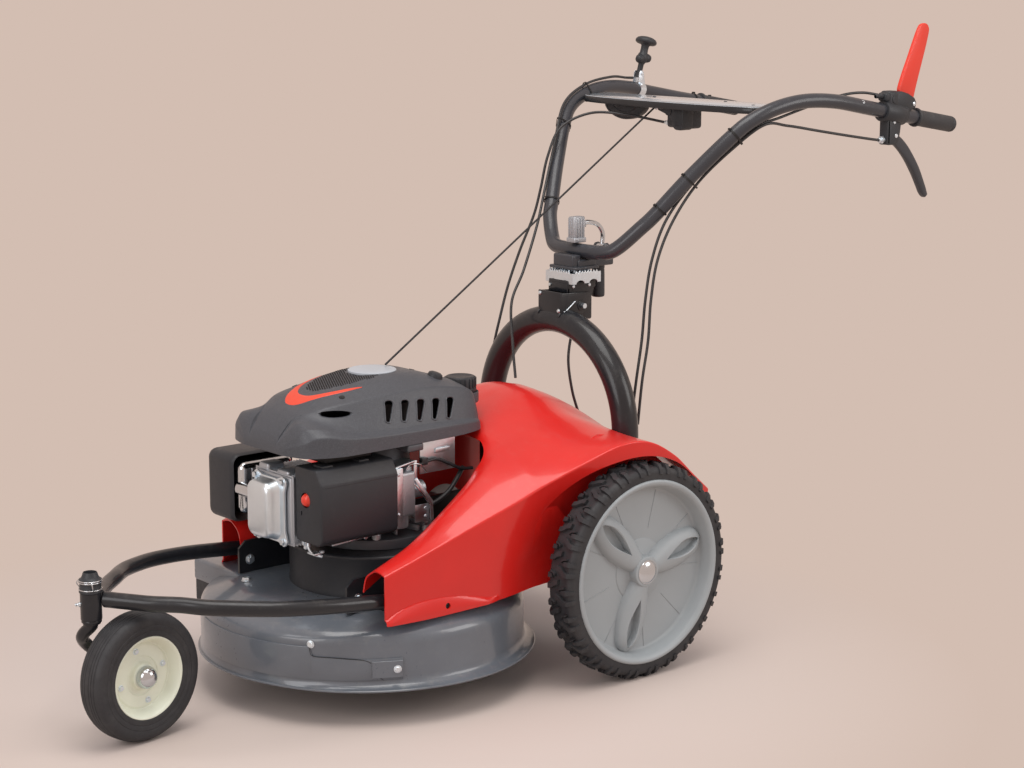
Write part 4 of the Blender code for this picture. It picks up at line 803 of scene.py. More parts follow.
def carcass(t):
    """A point of the tyre's skin (across, radius, outward) at a length t from the middle line."""
    flat, corner = TREAD_FLAT, TREAD_CORNER
    sign = 1 if t >= 0 else -1
    t = abs(t)
    if t <= flat:
        return sign * t, TREAD_R, (0.0, 1.0)
    bend = min((t - flat) / corner, math.pi / 2)
    rest = max(0.0, t - flat - corner * math.pi / 2)
    x = flat + corner * math.sin(bend)
    return sign * x, SHOULDER_R + corner * math.cos(bend) - rest, (sign * math.sin(bend), math.cos(bend))


def lug(bm, stations):
    """A tread lug between stations of (across, from, to) along the skin, with drafted flanks."""
    rows = []
    for t, start, end in stations:
        across, radius, (nx, nr) = carcass(t)
        height = LUG_HEIGHT
        if abs(t) >= LUG_SHOULDER:
            height = LUG_HEIGHT - 0.0036 * min(1.0, (abs(t) - LUG_SHOULDER) / 0.01)
        row = []
        for lift, s in (
            (LUG_ROOT, start - LUG_DRAFT), (height, start), (height, end), (LUG_ROOT, end + LUG_DRAFT),
        ):
            x, r = across + nx * lift, radius + nr * lift
            turn = s / REAR_R
            row.append((r * math.cos(turn), r * math.sin(turn), min(TYRE_HALF, max(-TYRE_HALF, x))))
        rows.append(row)
    bridge(bm, rows, closed=True, caps=True)


def tread_pitch():
    """One pitch of the pattern: two hooked lugs that meet in the middle and two shoulder blocks."""
    bm = bmesh.new()
    half = math.pi * REAR_R / PITCHES
    for side, shift in ((1, 0.0), (-1, half)):
        for stations in LUGS:
            lug(bm, [(side * t, shift + start, shift + end) for t, start, end in stations])
    return bm


BLADE_START, BLADE_LENGTH = 0.018, 0.1365
SLOT_START, SLOT_LENGTH = 0.052, 0.092
SLOT_HALF, SLOT_DEPTH = 0.015, 0.017


def blade_rows():
    """Rows of points of one blade, along its radius, in the wheel's own plane."""
    rows = []
    for step in range(41):
        u = step / 40
        radius = BLADE_START + BLADE_LENGTH * u
        blunt = math.sqrt(max(0.0, 1 - max(0.0, (u - 0.86) / 0.14) ** 2))
        swell = math.sin(math.pi * (0.16 + 0.66 * u)) ** 0.8 * blunt
        width = 0.0005 + 0.0345 * swell
        crest = 0.0245 - 0.0035 * u - 0.012 * max(0.0, (u - 0.72) / 0.28) ** 2.2
        leaf = max(0.0, min(1.0, (radius - SLOT_START) / SLOT_LENGTH))
        slot = SLOT_HALF * math.sin(math.pi * leaf ** 1.35) ** 0.75 if 0 < leaf < 1 else 0.0
        slot = min(slot, width * 0.62)
        depth = SLOT_DEPTH * min(1.0, slot / 0.004)
        section = []
        for n in range(10):
            v = -width + (width - slot) * (n / 9) ** 0.75
            z = crest * math.sqrt(max(0.0, 1 - (v / width) ** 2)) ** 0.9
            section.append((v, z))
        edge = section[-1][1]
        section.append((-slot * 0.86, edge - 0.0012 * min(1.0, slot / 0.003)))
        section.append((-slot * 0.74, edge - depth))
        section += [(0.0, edge - depth - 0.001)] + [(-v, z) for v, z in section[::-1]]
        rows.append([(radius, v, z) for v, z in section])
    return rows


# %% The blades, the disc and the tyre of both wheels
DISC_RIBS = 9
DISC = [
    (0.0103, 0.025), (0.0262, HUB_OUT), (0.0276, 0.0249), (0.0282, 0.0236), (0.029, 0.008), (0.0305, 0.0066),
    (0.057, 0.006), (0.0585, 0.0052), (0.0592, 0.0042), (0.147, 0.004), (0.15, 0.0046), (0.1522, 0.0066),
    (0.1535, 0.01), (0.158, 0.0245), (0.1592, 0.0275), (0.1612, 0.0303), (0.164, 0.0322), (0.1672, 0.0329),
    (0.1698, 0.032), (0.1712, 0.03), (RIM_R, 0.027), (RIM_R, -0.03), (0.169, -0.031), (0.1645, -0.031),
    (0.161, -0.027), (0.159, -0.002), (0.15, -0.001), (0.033, -0.001), (0.029, -0.004),
    (0.028, -0.038), (0.0262, -0.04), (0.0103, -0.04),
]

for label, side in (("left", 1), ("right", -1)):
    centre = Vector((side * REAR_X, 0, REAR_R))
    outward = Vector((side, 0, 0))
    seat = along(centre, outward)
    carrier = f"{label}_wheel"
    rubber = bmesh.new()
    skin = [(0.1718, 0.029)]
    skin += [(r, x) for x, r, _ in (carcass(SKIN_HALF - SKIN_HALF * 2 * n / 44) for n in range(45))]
    skin += [(0.1718, -0.029)]
    lathe(rubber, skin, centre, outward, 120, ring=True)
    piece(f"tyre_carcass_{label}", rubber, "tyre", "rubber", carrier, f"rear_tyre_{label}", sharp=50)
    lugs = ring_of(tread_pitch(), PITCHES, centre, outward, "rubber", 0.05)
    piece(f"tyre_lugs_{label}", lugs, "tyre", "rubber", carrier, f"rear_tyre_{label}", sharp=24)
    rim = one(lathe, DISC, centre, outward, 120, ring=True)
    for index in range(3):
        spin = seat @ Matrix.Rotation(BLADE_TURN + index * math.tau / 3, 4, "Z")
        bridge(rim, [[spin @ Vector(p) for p in row] for row in blade_rows()])
    piece(f"wheel_disc_{label}", rim, "wheel_grey", "wheel_grey", carrier, f"rear_rim_{label}", sharp=42)
    rib = one(brick, (0.078, -0.0006, 0.0035), (0.149, 0.0006, 0.0049), 0.0003, 1)
    ribs = ring_of(rib, DISC_RIBS, centre, outward, "wheel_grey", BLADE_TURN + math.radians(20))
    piece(f"disc_ribs_{label}", ribs, "wheel_grey", "wheel_grey", carrier, f"rear_rim_{label}")
    face = HUB_OUT + 0.0003
    shaft = one(lathe, [
        (0, face + 0.008), (0.0045, face + 0.0078), (0.01, face + 0.0068), (0.0145, face + 0.0053),
        (0.018, face + 0.0036), (0.0202, face + 0.002), (0.0212, face + 0.0006), (0.0225, face + 0.0004),
        (0.0225, face), (0.01, face), (0.01, 0.0623 - REAR_X), (0, 0.0623 - REAR_X),
    ], centre, outward, 64)
    piece(f"hub_dome_{label}", shaft, "zinc", "bright_steel", carrier, f"axle_shaft_{label}")
    print(label, "tyre lugs:", len(lugs.polygons), "faces; disc:", len(ribs.polygons), "rib faces")

# %% [markdown]
# ## Caster
# The front wheel is a pressed steel rim, plated cream, bolted together with four bolts, in a solid
# rubber tyre with fine rings on its tread. It runs on an axle welded to a bent leg, whose spindle
# turns in the head tube under a ribbed plastic cap. All of it is turned about one of two lines.

# %% Caster sizes and axes
HEAD_Y = -0.9455
CASTER_STEER = math.radians(7.8)
CASTER_R = 0.112
HEAD = (0, HEAD_Y, 0)


def steered(offset, trail, height):
    """A point given along the axle, behind the spindle and above the ground, in the steered caster."""
    flat = Matrix.Rotation(CASTER_STEER, 3, "Z") @ Vector((offset, trail, 0))
    return Vector((flat.x, HEAD_Y + flat.y, height))


caster_axle = (steered(1, 0, 0) - steered(0, 0, 0)).normalized()
caster_centre = steered(0.0395, 0.066, CASTER_R)
print("caster centre", [round(v, 4) for v in caster_centre])

# %% Caster tyre, rim, bolts, nut
half = [
    (0.072, 0.025), (0.0735, 0.0262), (0.08, 0.0264), (0.0812, 0.0258), (0.0824, 0.0265), (0.089, 0.027),
    (0.0902, 0.0264), (0.0914, 0.027), (0.0985, 0.027), (0.103, 0.0262), (0.1062, 0.0238), (0.1084, 0.0205),
    (0.1095, 0.0175), (0.109, 0.0166), (0.1092, 0.0158), (0.1105, 0.015), (0.1112, 0.012), (0.1103, 0.0112),
    (0.1104, 0.0104), (0.1116, 0.0096), (0.1119, 0.0062), (0.111, 0.0054), (0.111, 0.0046), (0.112, 0.0038),
]
tyre = one(lathe, half + [(r, -h) for r, h in half[::-1]], caster_centre, caster_axle, 128, ring=True)
piece("caster_tyre_ringed", tyre, "tyre", "rubber", "caster_wheel", "caster_tyre", sharp=28)
rim = one(lathe, [
    (0.0087, 0.0124), (0.02, 0.0124), (0.0214, 0.0116), (0.0222, 0.01), (0.024, 0.0048), (0.0262, 0.003),
    (0.03, 0.0026), (0.033, 0.0032), (0.0342, 0.0046), (0.054, 0.0046), (0.0556, 0.0036), (0.0572, 0.0034),
    (0.0588, 0.0046), (0.0602, 0.008), (0.0655, 0.0205), (0.0672, 0.0232), (0.0694, 0.0249), (0.071, 0.025),
    (0.0717, 0.024), (0.0717, -0.024), (0.07, -0.025), (0.0672, -0.0235), (0.0612, -0.008),
    (0.059, -0.0015), (0.026, -0.001), (0.0215, -0.006), (0.021, -0.0236), (0.02, -0.024), (0.0087, -0.024),
], caster_centre, caster_axle, 96, ring=True)
piece("caster_rim_pressed", rim, "cream_zinc", "cream_zinc", "caster_wheel", "caster_rim", sharp=30)
bolt = one(lathe, [
    (0, 0), (0.0056, 0), (0.0056, 0.0008), (0.0042, 0.0012), (0.0042, 0.0034), (0.0036, 0.0042), (0, 0.0044),
], (0.0462, 0, 0.0044), UP, 12)
bolts = ring_of(bolt, 4, caster_centre, caster_axle, "zinc", math.radians(22))
piece("caster_rim_bolts", bolts, "cream_zinc", "zinc", "caster_wheel", "caster_rim")
low = 0.0133
nut = one(lathe, [
    (0, low + 0.0205), (0.0055, low + 0.02), (0.0105, low + 0.0182), (0.0148, low + 0.015), (0.0178, low + 0.0108),
    (0.0192, low + 0.0062), (0.0195, low + 0.002), (0.019, low), (0, low),
], caster_centre, caster_axle, 64)
piece("caster_nut_domed", nut, "zinc", "bright_steel", "caster", "caster_dome_nut")
print("caster rim has", len(bolts.polygons) // 4, "faces in each bolt")

# %% Bent leg, spindle and the cap on the head tube
leg = bmesh.new()
pipe(leg, smooth_path([steered(*p) for p in (
    (0, 0, 0.214), (0, 0, 0.206), (-0.017, -0.006, 0.188), (-0.029, 0.004, 0.172),
    (-0.031, 0.03, 0.146), (-0.031, 0.066, CASTER_R),
)], 0.004), 0.0105, 28, dome=0.004)
pipe(leg, [steered(0, 0, 0.21), steered(0, 0, 0.286)], 0.0104, 28)
pipe(leg, [steered(-0.044, 0.066, CASTER_R), steered(0.0525, 0.066, CASTER_R)], 0.0082, 24)
lathe(
    leg,
    [(0, 0.2167), (0.0165, 0.2167), (0.017, 0.216), (0.017, 0.2128), (0.015, 0.2116), (0.015, 0.2096), (0, 0.209)],
    HEAD, UP, 40,
)
piece("caster_leg_bent", leg, "frame_paint", "frame_paint", "caster", "caster_leg")
cap_low = 0.2643
cap = one(lathe, [
    (0.0108, cap_low + 0.034), (0.0116, cap_low + 0.0338), (0.0122, cap_low + 0.0325), (0.014, cap_low + 0.027),
    (0.0162, cap_low + 0.0235), (0.019, cap_low + 0.0222), (0.0195, cap_low + 0.0205), (0.0188, cap_low + 0.0186),
    (0.018, cap_low + 0.0178), (0.018, cap_low + 0.0052), (0.0188, cap_low + 0.004), (0.0195, cap_low + 0.002),
    (0.0192, cap_low), (0.0108, cap_low),
], HEAD, UP, 48, ring=True)
piece("caster_cap_ribbed", cap, "caster_cap", "control_plastic", "caster", "caster_top_cap")
rings = bmesh.new()
for height in (cap_low + 0.0055, cap_low + 0.0175, cap_low + 0.0205):
    lathe(
        rings,
        [
            (0.019 + 0.0011 * math.cos(a), height + 0.0011 * math.sin(a))
            for a in (n * math.tau / 10 for n in range(10))
        ],
        HEAD, UP, 48, ring=True,
    )
for side in (-1, 1):
    clip = smooth_path(
        [
            steered(side * 0.0175, -0.01, cap_low + 0.02), steered(side * 0.0215, -0.012, cap_low + 0.014),
            steered(side * 0.0195, -0.008, cap_low + 0.006),
        ],
        0.002,
    )
    pipe(rings, clip, 0.001, 8, dome=0.0008)
piece("caster_cap_rings", rings, "zinc", "bright_steel", "caster")
print("caster leg, cap and rings made")

# %% [markdown]
# ## Front fork
# Two 27 mm tubes sweep forward from under the covers and close on the head tube. A tube swept along
# a smooth curve is the shape itself, and its domed end sits in the head tube as a weld would hold it.

# %% Fork arms and head tube
fork_points = [
    (-0.004, HEAD_Y + 0.0035, 0.2495), (0.011, -0.925, 0.2495), (0.026, -0.914, 0.249),
    (0.046, -0.898, 0.248), (0.075, -0.872, 0.246), (0.106, -0.839, 0.245), (0.138, -0.809, 0.242),
    (0.163, -0.777, 0.24), (0.2, -0.706, 0.234), (0.221, -0.619, 0.226), (0.227, -0.53, 0.217),
    (0.228, -0.49, 0.2135), (0.228, -0.42, 0.2135),
]
fork = bmesh.new()
lathe(fork, [
    (0.011, 0.264), (0.0172, 0.264), (0.018, 0.2632), (0.018, 0.2178), (0.0172, 0.217), (0.011, 0.217),
], HEAD, UP, 48, ring=True)
arm = smooth_path(fork_points, 0.012)
for side in (1, -1):
    tube = [Vector((side * p.x, p.y, p.z)) for p in arm]
    tube[0] = Vector((side * 0.004, HEAD_Y + 0.0035, 0.2495))
    pipe(fork, [p for p in tube if (p - Vector((0, HEAD_Y, p.z))).length > 0.013], 0.0135, 32, dome=0.003)
piece("fork_arms", fork, "frame_paint", "frame_paint", "chassis", "front_fork")
nipple = one(
    lathe,
    [
        (0, 0), (0.0042, 0), (0.0042, 0.003), (0.0026, 0.0036), (0.0022, 0.0062), (0.003, 0.0075), (0.002, 0.0092),
        (0, 0.0095),
    ],
    (-0.006, HEAD_Y - 0.0165, 0.244), (-0.4, -0.92, 0), 20,
)
piece("grease_nipple", nipple, "zinc", "zinc", "chassis")
print("fork arm length", round(sum((b - a).length for a, b in zip(arm, arm[1:])), 3))

# %% [markdown]
# ## Deck
# The deck is pressed from steel: a flat top, a rounded shoulder, a straight wall and a rolled flange.
# Its wall swings out towards the chute on the right. A solid of revolution can't follow that, so the
# profile is worked out again for each of 144 angles. The chute's hood is joined on and hollowed out,
# and a rubber flap hangs under its edge.

# %% Deck shell
DECK_Y = -0.3705
DECK_TOP = 0.185


def smoothly(value, low, high):
    """0 at low, 1 at high, with soft ends."""
    share = max(0.0, min(1.0, (value - low) / (high - low)))
    return share * share * (3 - 2 * share)


def wall_radius(angle):
    """The deck wall's radius, which grows round the front towards the chute."""
    turn = math.degrees(angle) % 360.0
    share = (turn - 150.0) / 75.0 if turn < 225.0 else (360.0 - turn) / 135.0
    return 0.282 + 0.027 * smoothly(share, 0.0, 1.0)


def deck_profile(angle):
    """Radius and height of the deck's skin, from the hole at the crank round to the same hole inside."""
    r = wall_radius(angle)
    rim = max(r + 0.006, 0.303)
    lip = rim - r
    return [
        (0.03, DECK_TOP), (0.216, DECK_TOP), (0.224, 0.1846), (0.232, 0.183), (0.25, 0.177), (r - 0.016, 0.1655),
        (r - 0.0095, 0.162), (r - 0.0045, 0.157), (r - 0.0012, 0.15), (r, 0.142), (r, 0.086), (r + 0.04 * lip, 0.08),
        (r + 0.16 * lip, 0.075), (r + 0.36 * lip, 0.0716), (rim - 0.004, 0.068), (rim - 0.0012, 0.0676),
        (rim, 0.0665), (rim, 0.0648), (rim - 0.0012, 0.0636), (rim - 0.004, 0.064), (r + 0.3 * lip, 0.068),
        (r + 0.08 * lip, 0.0715), (r - 0.0026, 0.077), (r - 0.003, 0.086), (r - 0.003, 0.1415), (r - 0.0042, 0.149),
        (r - 0.007, 0.155), (r - 0.0115, 0.1595), (r - 0.0172, 0.1625), (0.249, 0.1738), (0.2312, 0.18),
        (0.224, 0.1816), (0.216, 0.182), (0.03, 0.182),
    ]


def deck_point(angle, radius, height):
    """A point given round the middle of the deck."""
    return (radius * math.cos(angle), DECK_Y + radius * math.sin(angle), height)


angles = [math.tau * step / 144 for step in range(144)]
profiles = [deck_profile(angle) for angle in angles]
shell = bmesh.new()
rings = [
    [deck_point(angle, *profile[n]) for angle, profile in zip(angles, profiles)] for n in range(len(profiles[0]))
]
bridge(shell, rings + [rings[0]], closed=True)
chute = one(brick, (-0.325, -0.545, 0.139), (-0.12, -0.375, 0.1835), 0.008, 4)
inside = bmesh.new()
core = [
    [deck_point(angle, profile[n][0] + 0.0015, profile[n][1] + 0.0015) for angle, profile in zip(angles, profiles)]
    for n in range(24, 33)
]
foot = [deck_point(angle, profile[24][0] + 0.0015, 0.03) for angle, profile in zip(angles, profiles)]
bridge(inside, [foot] + core, closed=True, caps=True)
deck_core = inside.copy()
duct = one(brick, (-0.4, -0.542, 0.02), (-0.13, -0.378, 0.1805), 0.006, 3)
deck = carve(shell, as_bmesh(carve(chute, inside)), how="UNION")
deck = carve(as_bmesh(deck), duct)
piece("deck_pressing", deck, "deck_paint", "deck_paint", "chassis", "deck_shell", sharp=32)
print("deck faces:", len(deck.polygons))
flap = carve(
    one(brick, (-0.3235, -0.5425, 0.098), (-0.13, -0.3775, 0.179), 0.006, 3),
    one(brick, (-0.4, -0.5395, 0.02), (-0.12, -0.3805, 0.176), 0.005, 3), deck_core,
)
piece("chute_flap", flap, "tyre", "rubber", "chassis")
print("flap faces:", len(flap.polygons))

# %% [markdown]
# ## Front guard and the deck's bolts
# A pressed band is bolted round the front of the deck wall, with its top edge rolled over and its end
# cut in a step. It is the deck's wall again, a little larger, so it is made from the same rule.

# %% Guard band with its stepped end, plate and bolts
guard = bmesh.new()
rows = []
GUARD_STEPS = 169
low = 0.0815
for step in range(GUARD_STEPS + 1):
    angle = math.radians(-25.5 - 84.5 * (step / GUARD_STEPS))
    r = wall_radius(angle)
    at = math.degrees(angle)
    top = 0.14 - 0.017 * smoothly(at, -57.4, -56.2) - 0.003 * smoothly(at, -52.0, -42.0)
    outer = [(r + 0.0003, low), (r + 0.002, low), (r + 0.0025, low + 0.0008), (r + 0.0025, top - 0.0012),
             (r + 0.0021, top - 0.0003), (r + 0.0013, top), (r + 0.0003, top - 0.0002)]
    rows.append([deck_point(angle, radius, height) for radius, height in outer])
bridge(guard, rows, closed=True, caps=True)
piece("guard_band", guard, "deck_paint", "deck_paint", "chassis", "front_guard")


def on_wall(degrees, height, lift=0.0026):
    """A point on the deck wall's outside and the direction away from it."""
    angle = math.radians(degrees)
    return Vector(deck_point(angle, wall_radius(angle) + lift, height)), Vector((math.cos(angle), math.sin(angle), 0))


clip = bmesh.new()
CLIP_AT, CLIP_REACH = -30.8, 5.2
low, high = 0.086, 0.116
section = ((0, low), (0.0022, low), (0.0028, low + 0.0006), (0.0028, high - 0.0006), (0.0022, high), (0, high))
rows = []
for n in range(9):
    angle = math.radians(CLIP_AT - CLIP_REACH + 2 * CLIP_REACH * n / 8)
    r = wall_radius(angle) + 0.0026
    rows.append([deck_point(angle, r + lift, z) for lift, z in section])
bridge(clip, rows, closed=True, caps=True)
piece("guard_clip", clip, "deck_paint", "deck_paint", "chassis")
places = [on_wall(-27.4, 0.101, 0.0052), on_wall(-57.0, 0.144, -0.0002)]
piece("guard_bolts", planted_on(hex_bolt(0.0095, 0.0042, 0.007), places, "zinc"), "zinc", "zinc", "chassis")
seam = bmesh.new()
for spacing, line in (
    (0.006, ((-57.3, 0.14), (-56.8, 0.126), (-55.5, 0.1232), (-50.0, 0.1226), (-42.0, 0.1202), (-38.4, 0.118),
             (-36.4, 0.113))),
    (0.004, ((-33.4, 0.0858), (-32.8, 0.084), (-32.2, 0.0818))),
):
    pipe(seam, smooth_path([on_wall(angle, z, 0.0024)[0] for angle, z in line], spacing), 0.0006, 6)
piece("guard_seam", seam, "deck_paint", "deep_black", "chassis")
print("guard bolts:", len(places))

# %% Bolts on the chassis rails and the deck
places = [
    ((0.1698, -0.522, 0.209), (1, 0, 0)), ((-0.1646, -0.522, 0.209), (1, 0, 0)), ((0.1698, 0.04, 0.27), (1, 0, 0)),
    ((0.1698, 0.1, 0.18), (1, 0, 0)), ((-0.1698, 0.04, 0.27), (-1, 0, 0)), ((-0.1698, 0.1, 0.18), (-1, 0, 0)),
    ((-0.12, -0.56, DECK_TOP), UP), ((0.12, -0.15, DECK_TOP), UP), ((-0.12, -0.15, DECK_TOP), UP),
]
piece("chassis_bolts", planted_on(hex_bolt(0.013, 0.0065, 0.0095), places, "zinc"), "zinc", "zinc", "chassis")
print("chassis bolts:", len(places))

# %% [markdown]
# ## Hoop and saddle
# The hoop is one bent tube. A swept circle on a half round and two straight legs is the whole of it;
# the satin of its paint does the rest.

# %% Hoop tube, saddle block and pin
HOOP_X, HOOP_Y, HOOP_Z = 0.195, 0.083, 0.418
HOOP_TUBE = 0.025
hoop_path = [Vector((HOOP_X, HOOP_Y, 0.2)), Vector((HOOP_X, HOOP_Y, 0.31))]
for n in range(49):
    angle = math.pi * n / 48
    hoop_path.append(Vector((HOOP_X * math.cos(angle), HOOP_Y, HOOP_Z + HOOP_X * math.sin(angle))))
hoop_path += [Vector((-HOOP_X, HOOP_Y, 0.31)), Vector((-HOOP_X, HOOP_Y, 0.2))]
piece("hoop_tube", one(pipe, hoop_path, HOOP_TUBE, 40, 0.004), "frame_paint", "frame_paint", "chassis", "arch_tube")
block = one(brick, (-0.028, 0.07, 0.61), (0.028, 0.15, 0.656), 0.004, 3)
hoop_room = one(pipe, hoop_path, 0.0253, 40)
pin_room = one(pipe, [(-0.06, 0.118, 0.64), (0.06, 0.118, 0.64)], 0.0053, 24)
piece("hoop_saddle", carve(block, hoop_room, pin_room), "frame_paint", "frame_paint", "chassis", "arch_saddle")
weld = bmesh.new()
for side in (-1, 1):
    angle = math.radians(90.0 - side * 8.9)
    x, z = HOOP_X * math.cos(angle), HOOP_Z + HOOP_X * math.sin(angle)
    bead = []
    for n in range(15):
        turn = math.radians(-60 + 120 * n / 14)
        bead.append((x, HOOP_Y + 0.0262 * math.sin(turn) * 0.98, z + 0.0262 * math.cos(turn)))
    pipe(weld, bead, [0.002 + 0.0005 * (n % 2) for n in range(15)], 8, 0.001)
piece("saddle_weld", weld, "frame_paint", "frame_paint", "chassis")
print("hoop stands", round(max(p.z for p in hoop_path) + HOOP_TUBE, 3), "m high")

# %% [markdown]
# ## Red cover
# The cover is one moulding with a crisp crease along each flank and a soft ridge that climbs to the
# hump. It is lofted: a table holds half a section at each of twelve places from front to back, smooth
# steps fill in 120 more, and each section is drawn with small corners at the ridge and the crease.
# Subdivision modelling could do it too, but a table keeps the measured points.

# %% The table of half sections: y, then x and z of edge, rim, ridge, shoulder, crease and foot
COVER = [
    (-0.525, 0.188, 0.226, 0.197, 0.254, 0.221, 0.272, 0.238, 0.270, 0.252, 0.266, 0.252, 0.180),
    (-0.440, 0.188, 0.276, 0.196, 0.289, 0.214, 0.303, 0.238, 0.302, 0.263, 0.296, 0.255, 0.178),
    (-0.350, 0.184, 0.336, 0.191, 0.343, 0.210, 0.354, 0.243, 0.345, 0.274, 0.328, 0.262, 0.181),
    (-0.270, 0.174, 0.392, 0.181, 0.396, 0.202, 0.400, 0.246, 0.381, 0.284, 0.356, 0.268, 0.184),
    (-0.212, 0.128, 0.436, 0.152, 0.434, 0.190, 0.426, 0.246, 0.405, 0.292, 0.377, 0.271, 0.186),
    (-0.198, 0.000, 0.447, 0.090, 0.450, 0.182, 0.434, 0.244, 0.410, 0.294, 0.382, 0.272, 0.187),
    (-0.110, 0.000, 0.487, 0.070, 0.482, 0.148, 0.458, 0.236, 0.433, 0.307, 0.415, 0.284, 0.190),
    (-0.040, 0.000, 0.502, 0.060, 0.496, 0.125, 0.470, 0.220, 0.445, 0.325, 0.440, 0.310, 0.190),
    (0.020, 0.000, 0.486, 0.060, 0.478, 0.128, 0.452, 0.222, 0.440, 0.330, 0.436, 0.325, 0.190),
    (0.085, 0.000, 0.452, 0.060, 0.445, 0.135, 0.422, 0.224, 0.412, 0.328, 0.402, 0.325, 0.230),
    (0.140, 0.000, 0.412, 0.060, 0.407, 0.140, 0.385, 0.225, 0.372, 0.320, 0.358, 0.318, 0.280),
    (0.190, 0.000, 0.368, 0.060, 0.365, 0.142, 0.350, 0.225, 0.336, 0.310, 0.320, 0.308, 0.300),
]


def swept(table, values):
    """Rows of a table keyed by its first column, read by smooth steps at other values."""
    rows = []
    keys = [row[0] for row in table]
    for value in values:
        i = max(k for k in range(len(keys) - 1) if keys[k] <= value)
        span = keys[i + 1] - keys[i]
        t = (value - keys[i]) / span
        before = table[max(i - 1, 0)]
        after = table[min(i + 2, len(table) - 1)]
        row = [value]
        for n in range(1, len(table[0])):
            a, b, c, d = before[n], table[i][n], table[i + 1][n], after[n]
            slope_b = (c - a) / (keys[i + 1] - before[0]) * span
            slope_c = (d - b) / (after[0] - keys[i]) * span
            row.append(
                (2 * t**3 - 3 * t**2 + 1) * b + (t**3 - 2 * t**2 + t) * slope_b
                + (3 * t**2 - 2 * t**3) * c + (t**3 - t**2) * slope_c
            )
        rows.append(tuple(row))
    return rows


def through(points, counts, corners):
    """A curve through points in a plane: smooth, but for corners rounded by the lengths given."""
    points = [Vector(p) for p in points]
    made = []
    for i, (p1, p2) in enumerate(zip(points, points[1:])):
        p0 = points[i - 1] if i and not corners[i] else p1 * 2 - p2
        p3 = points[i + 2] if i + 2 < len(points) and not corners[i + 1] else p2 * 2 - p1
        start = corners[i] / max((p2 - p1).length, 1e-6) if corners[i] else 0.0
        stop = 1 - (corners[i + 1] / max((p2 - p1).length, 1e-6) if corners[i + 1] else 0.0)
        start, stop = min(start, 0.49), max(stop, 0.51)
        for step in range(counts[i]):
            t = start + (stop - start) * step / (counts[i] if not corners[i + 1] else counts[i] - 1 or 1)
            made.append(0.5 * (
                2 * p1 + (p2 - p0) * t + (2 * p0 - 5 * p1 + 4 * p2 - p3) * t**2 + (3 * p1 - p0 - 3 * p2 + p3) * t**3
            ))
        if corners[i + 1]:
            a, following = made[-1], points[i + 2] if i + 2 < len(points) else p2
            reach = min(0.49, corners[i + 1] / max((following - p2).length, 1e-6))
            b = p2.lerp(following, reach)
            made += [a * (1 - t) ** 2 + p2 * 2 * t * (1 - t) + b * t * t for t in (0.2, 0.4, 0.6, 0.8)]
    made.append(points[-1])
    return made


print("cover table:", len(COVER), "sections")

# %% Loft, wheel arches, bosses and wall
LENS_START, LENS_END, LENS_RISE = -0.53, -0.286, 0.0325
WHEEL_AT = (-0.008, 0.198)
SCREW_AT = (-0.399, 0.1945)


def lens_height(y):
    """How far the screw boss reaches above the cover's lower edge."""
    share = (y - LENS_START) / (LENS_END - LENS_START)
    if not 0 < share < 1:
        return 0.0
    return LENS_RISE * math.sin(math.pi * share**0.777) ** 0.8


def cover_half(row):
    """Dense points of half a section at one y, from the inner edge to the foot."""
    y = row[0]
    pairs = [(row[n], row[n + 1]) for n in range(1, 13, 2)]
    top = through(pairs, [5, 6, 8, 8, 3], [0, 0, 0.009 + 0.012 * smoothly(y, -0.3, -0.12), 0, 0.0035, 0])
    crease = top[-2]
    foot = Vector(pairs[5])
    height = lens_height(y)
    share = max(height, 0.01) / (crease.y - foot.y)
    wall = []
    for n in range(1, 15):
        wall.append(crease.lerp(foot, (n / 14) * (1 - share)))
    edge = crease.lerp(foot, 1 - share)
    swell = min(1.0, height / 0.012)
    wall.append(edge + Vector((0.0016 * swell, -0.0006)))
    for n in range(1, 9):
        t = n / 8
        bulge = 0.0016 + 0.006 * math.sin(min(1.0, t * 1.25) * math.pi / 2)
        wall.append(edge.lerp(foot, t) + Vector((bulge * swell, 0)))
    points = []
    for x, z in top[:-1] + wall:
        dy, dz = y - WHEEL_AT[0], z - WHEEL_AT[1]
        reach = math.hypot(dy, dz)
        tilt = math.degrees(math.atan2(dz, -dy))
        roll = 1 - smoothly(tilt, 32.0, 74.0)
        start = 0.2145 + 0.056 * roll
        if roll > 0.01 and x > 0.24 and y < -0.008:
            turn = smoothly(start - reach, -0.03, 0.1)
            x += (0.2525 - x) * turn * roll
        points.append(Vector((x, y, z)))
    return points


stations = sorted({-0.525 + 0.715 * n / 120 for n in range(120)} | {-0.212, -0.198, 0.19 - 1e-6})
halves = [cover_half(row) for row in swept(COVER, stations)]
for points in halves:
    if points[0].y > -0.1979:
        points[0].x = 0.0
cover = bmesh.new()
bridge(cover, halves)
bmesh.ops.remove_doubles(cover, verts=cover.verts, dist=0.00001)
bmesh.ops.recalc_face_normals(cover, faces=cover.faces)
solid = thickened(cover, 0.003, mirrored=True)
up = sum((p.normal.z * p.area for p in solid.polygons if p.center.z > 0.45), 0.0)
print("cover skin faces:", len(solid.polygons), "upward area", round(up, 4))


def bores(radius, length, near, y, z, steps):
    """Plain round cutters through the left and the right flank."""
    outline = [(0, 0), (radius, 0), (radius, length), (0, length)]
    return [one(lathe, outline, (side * near, y, z), (side, 0, 0), steps) for side in (1, -1)]


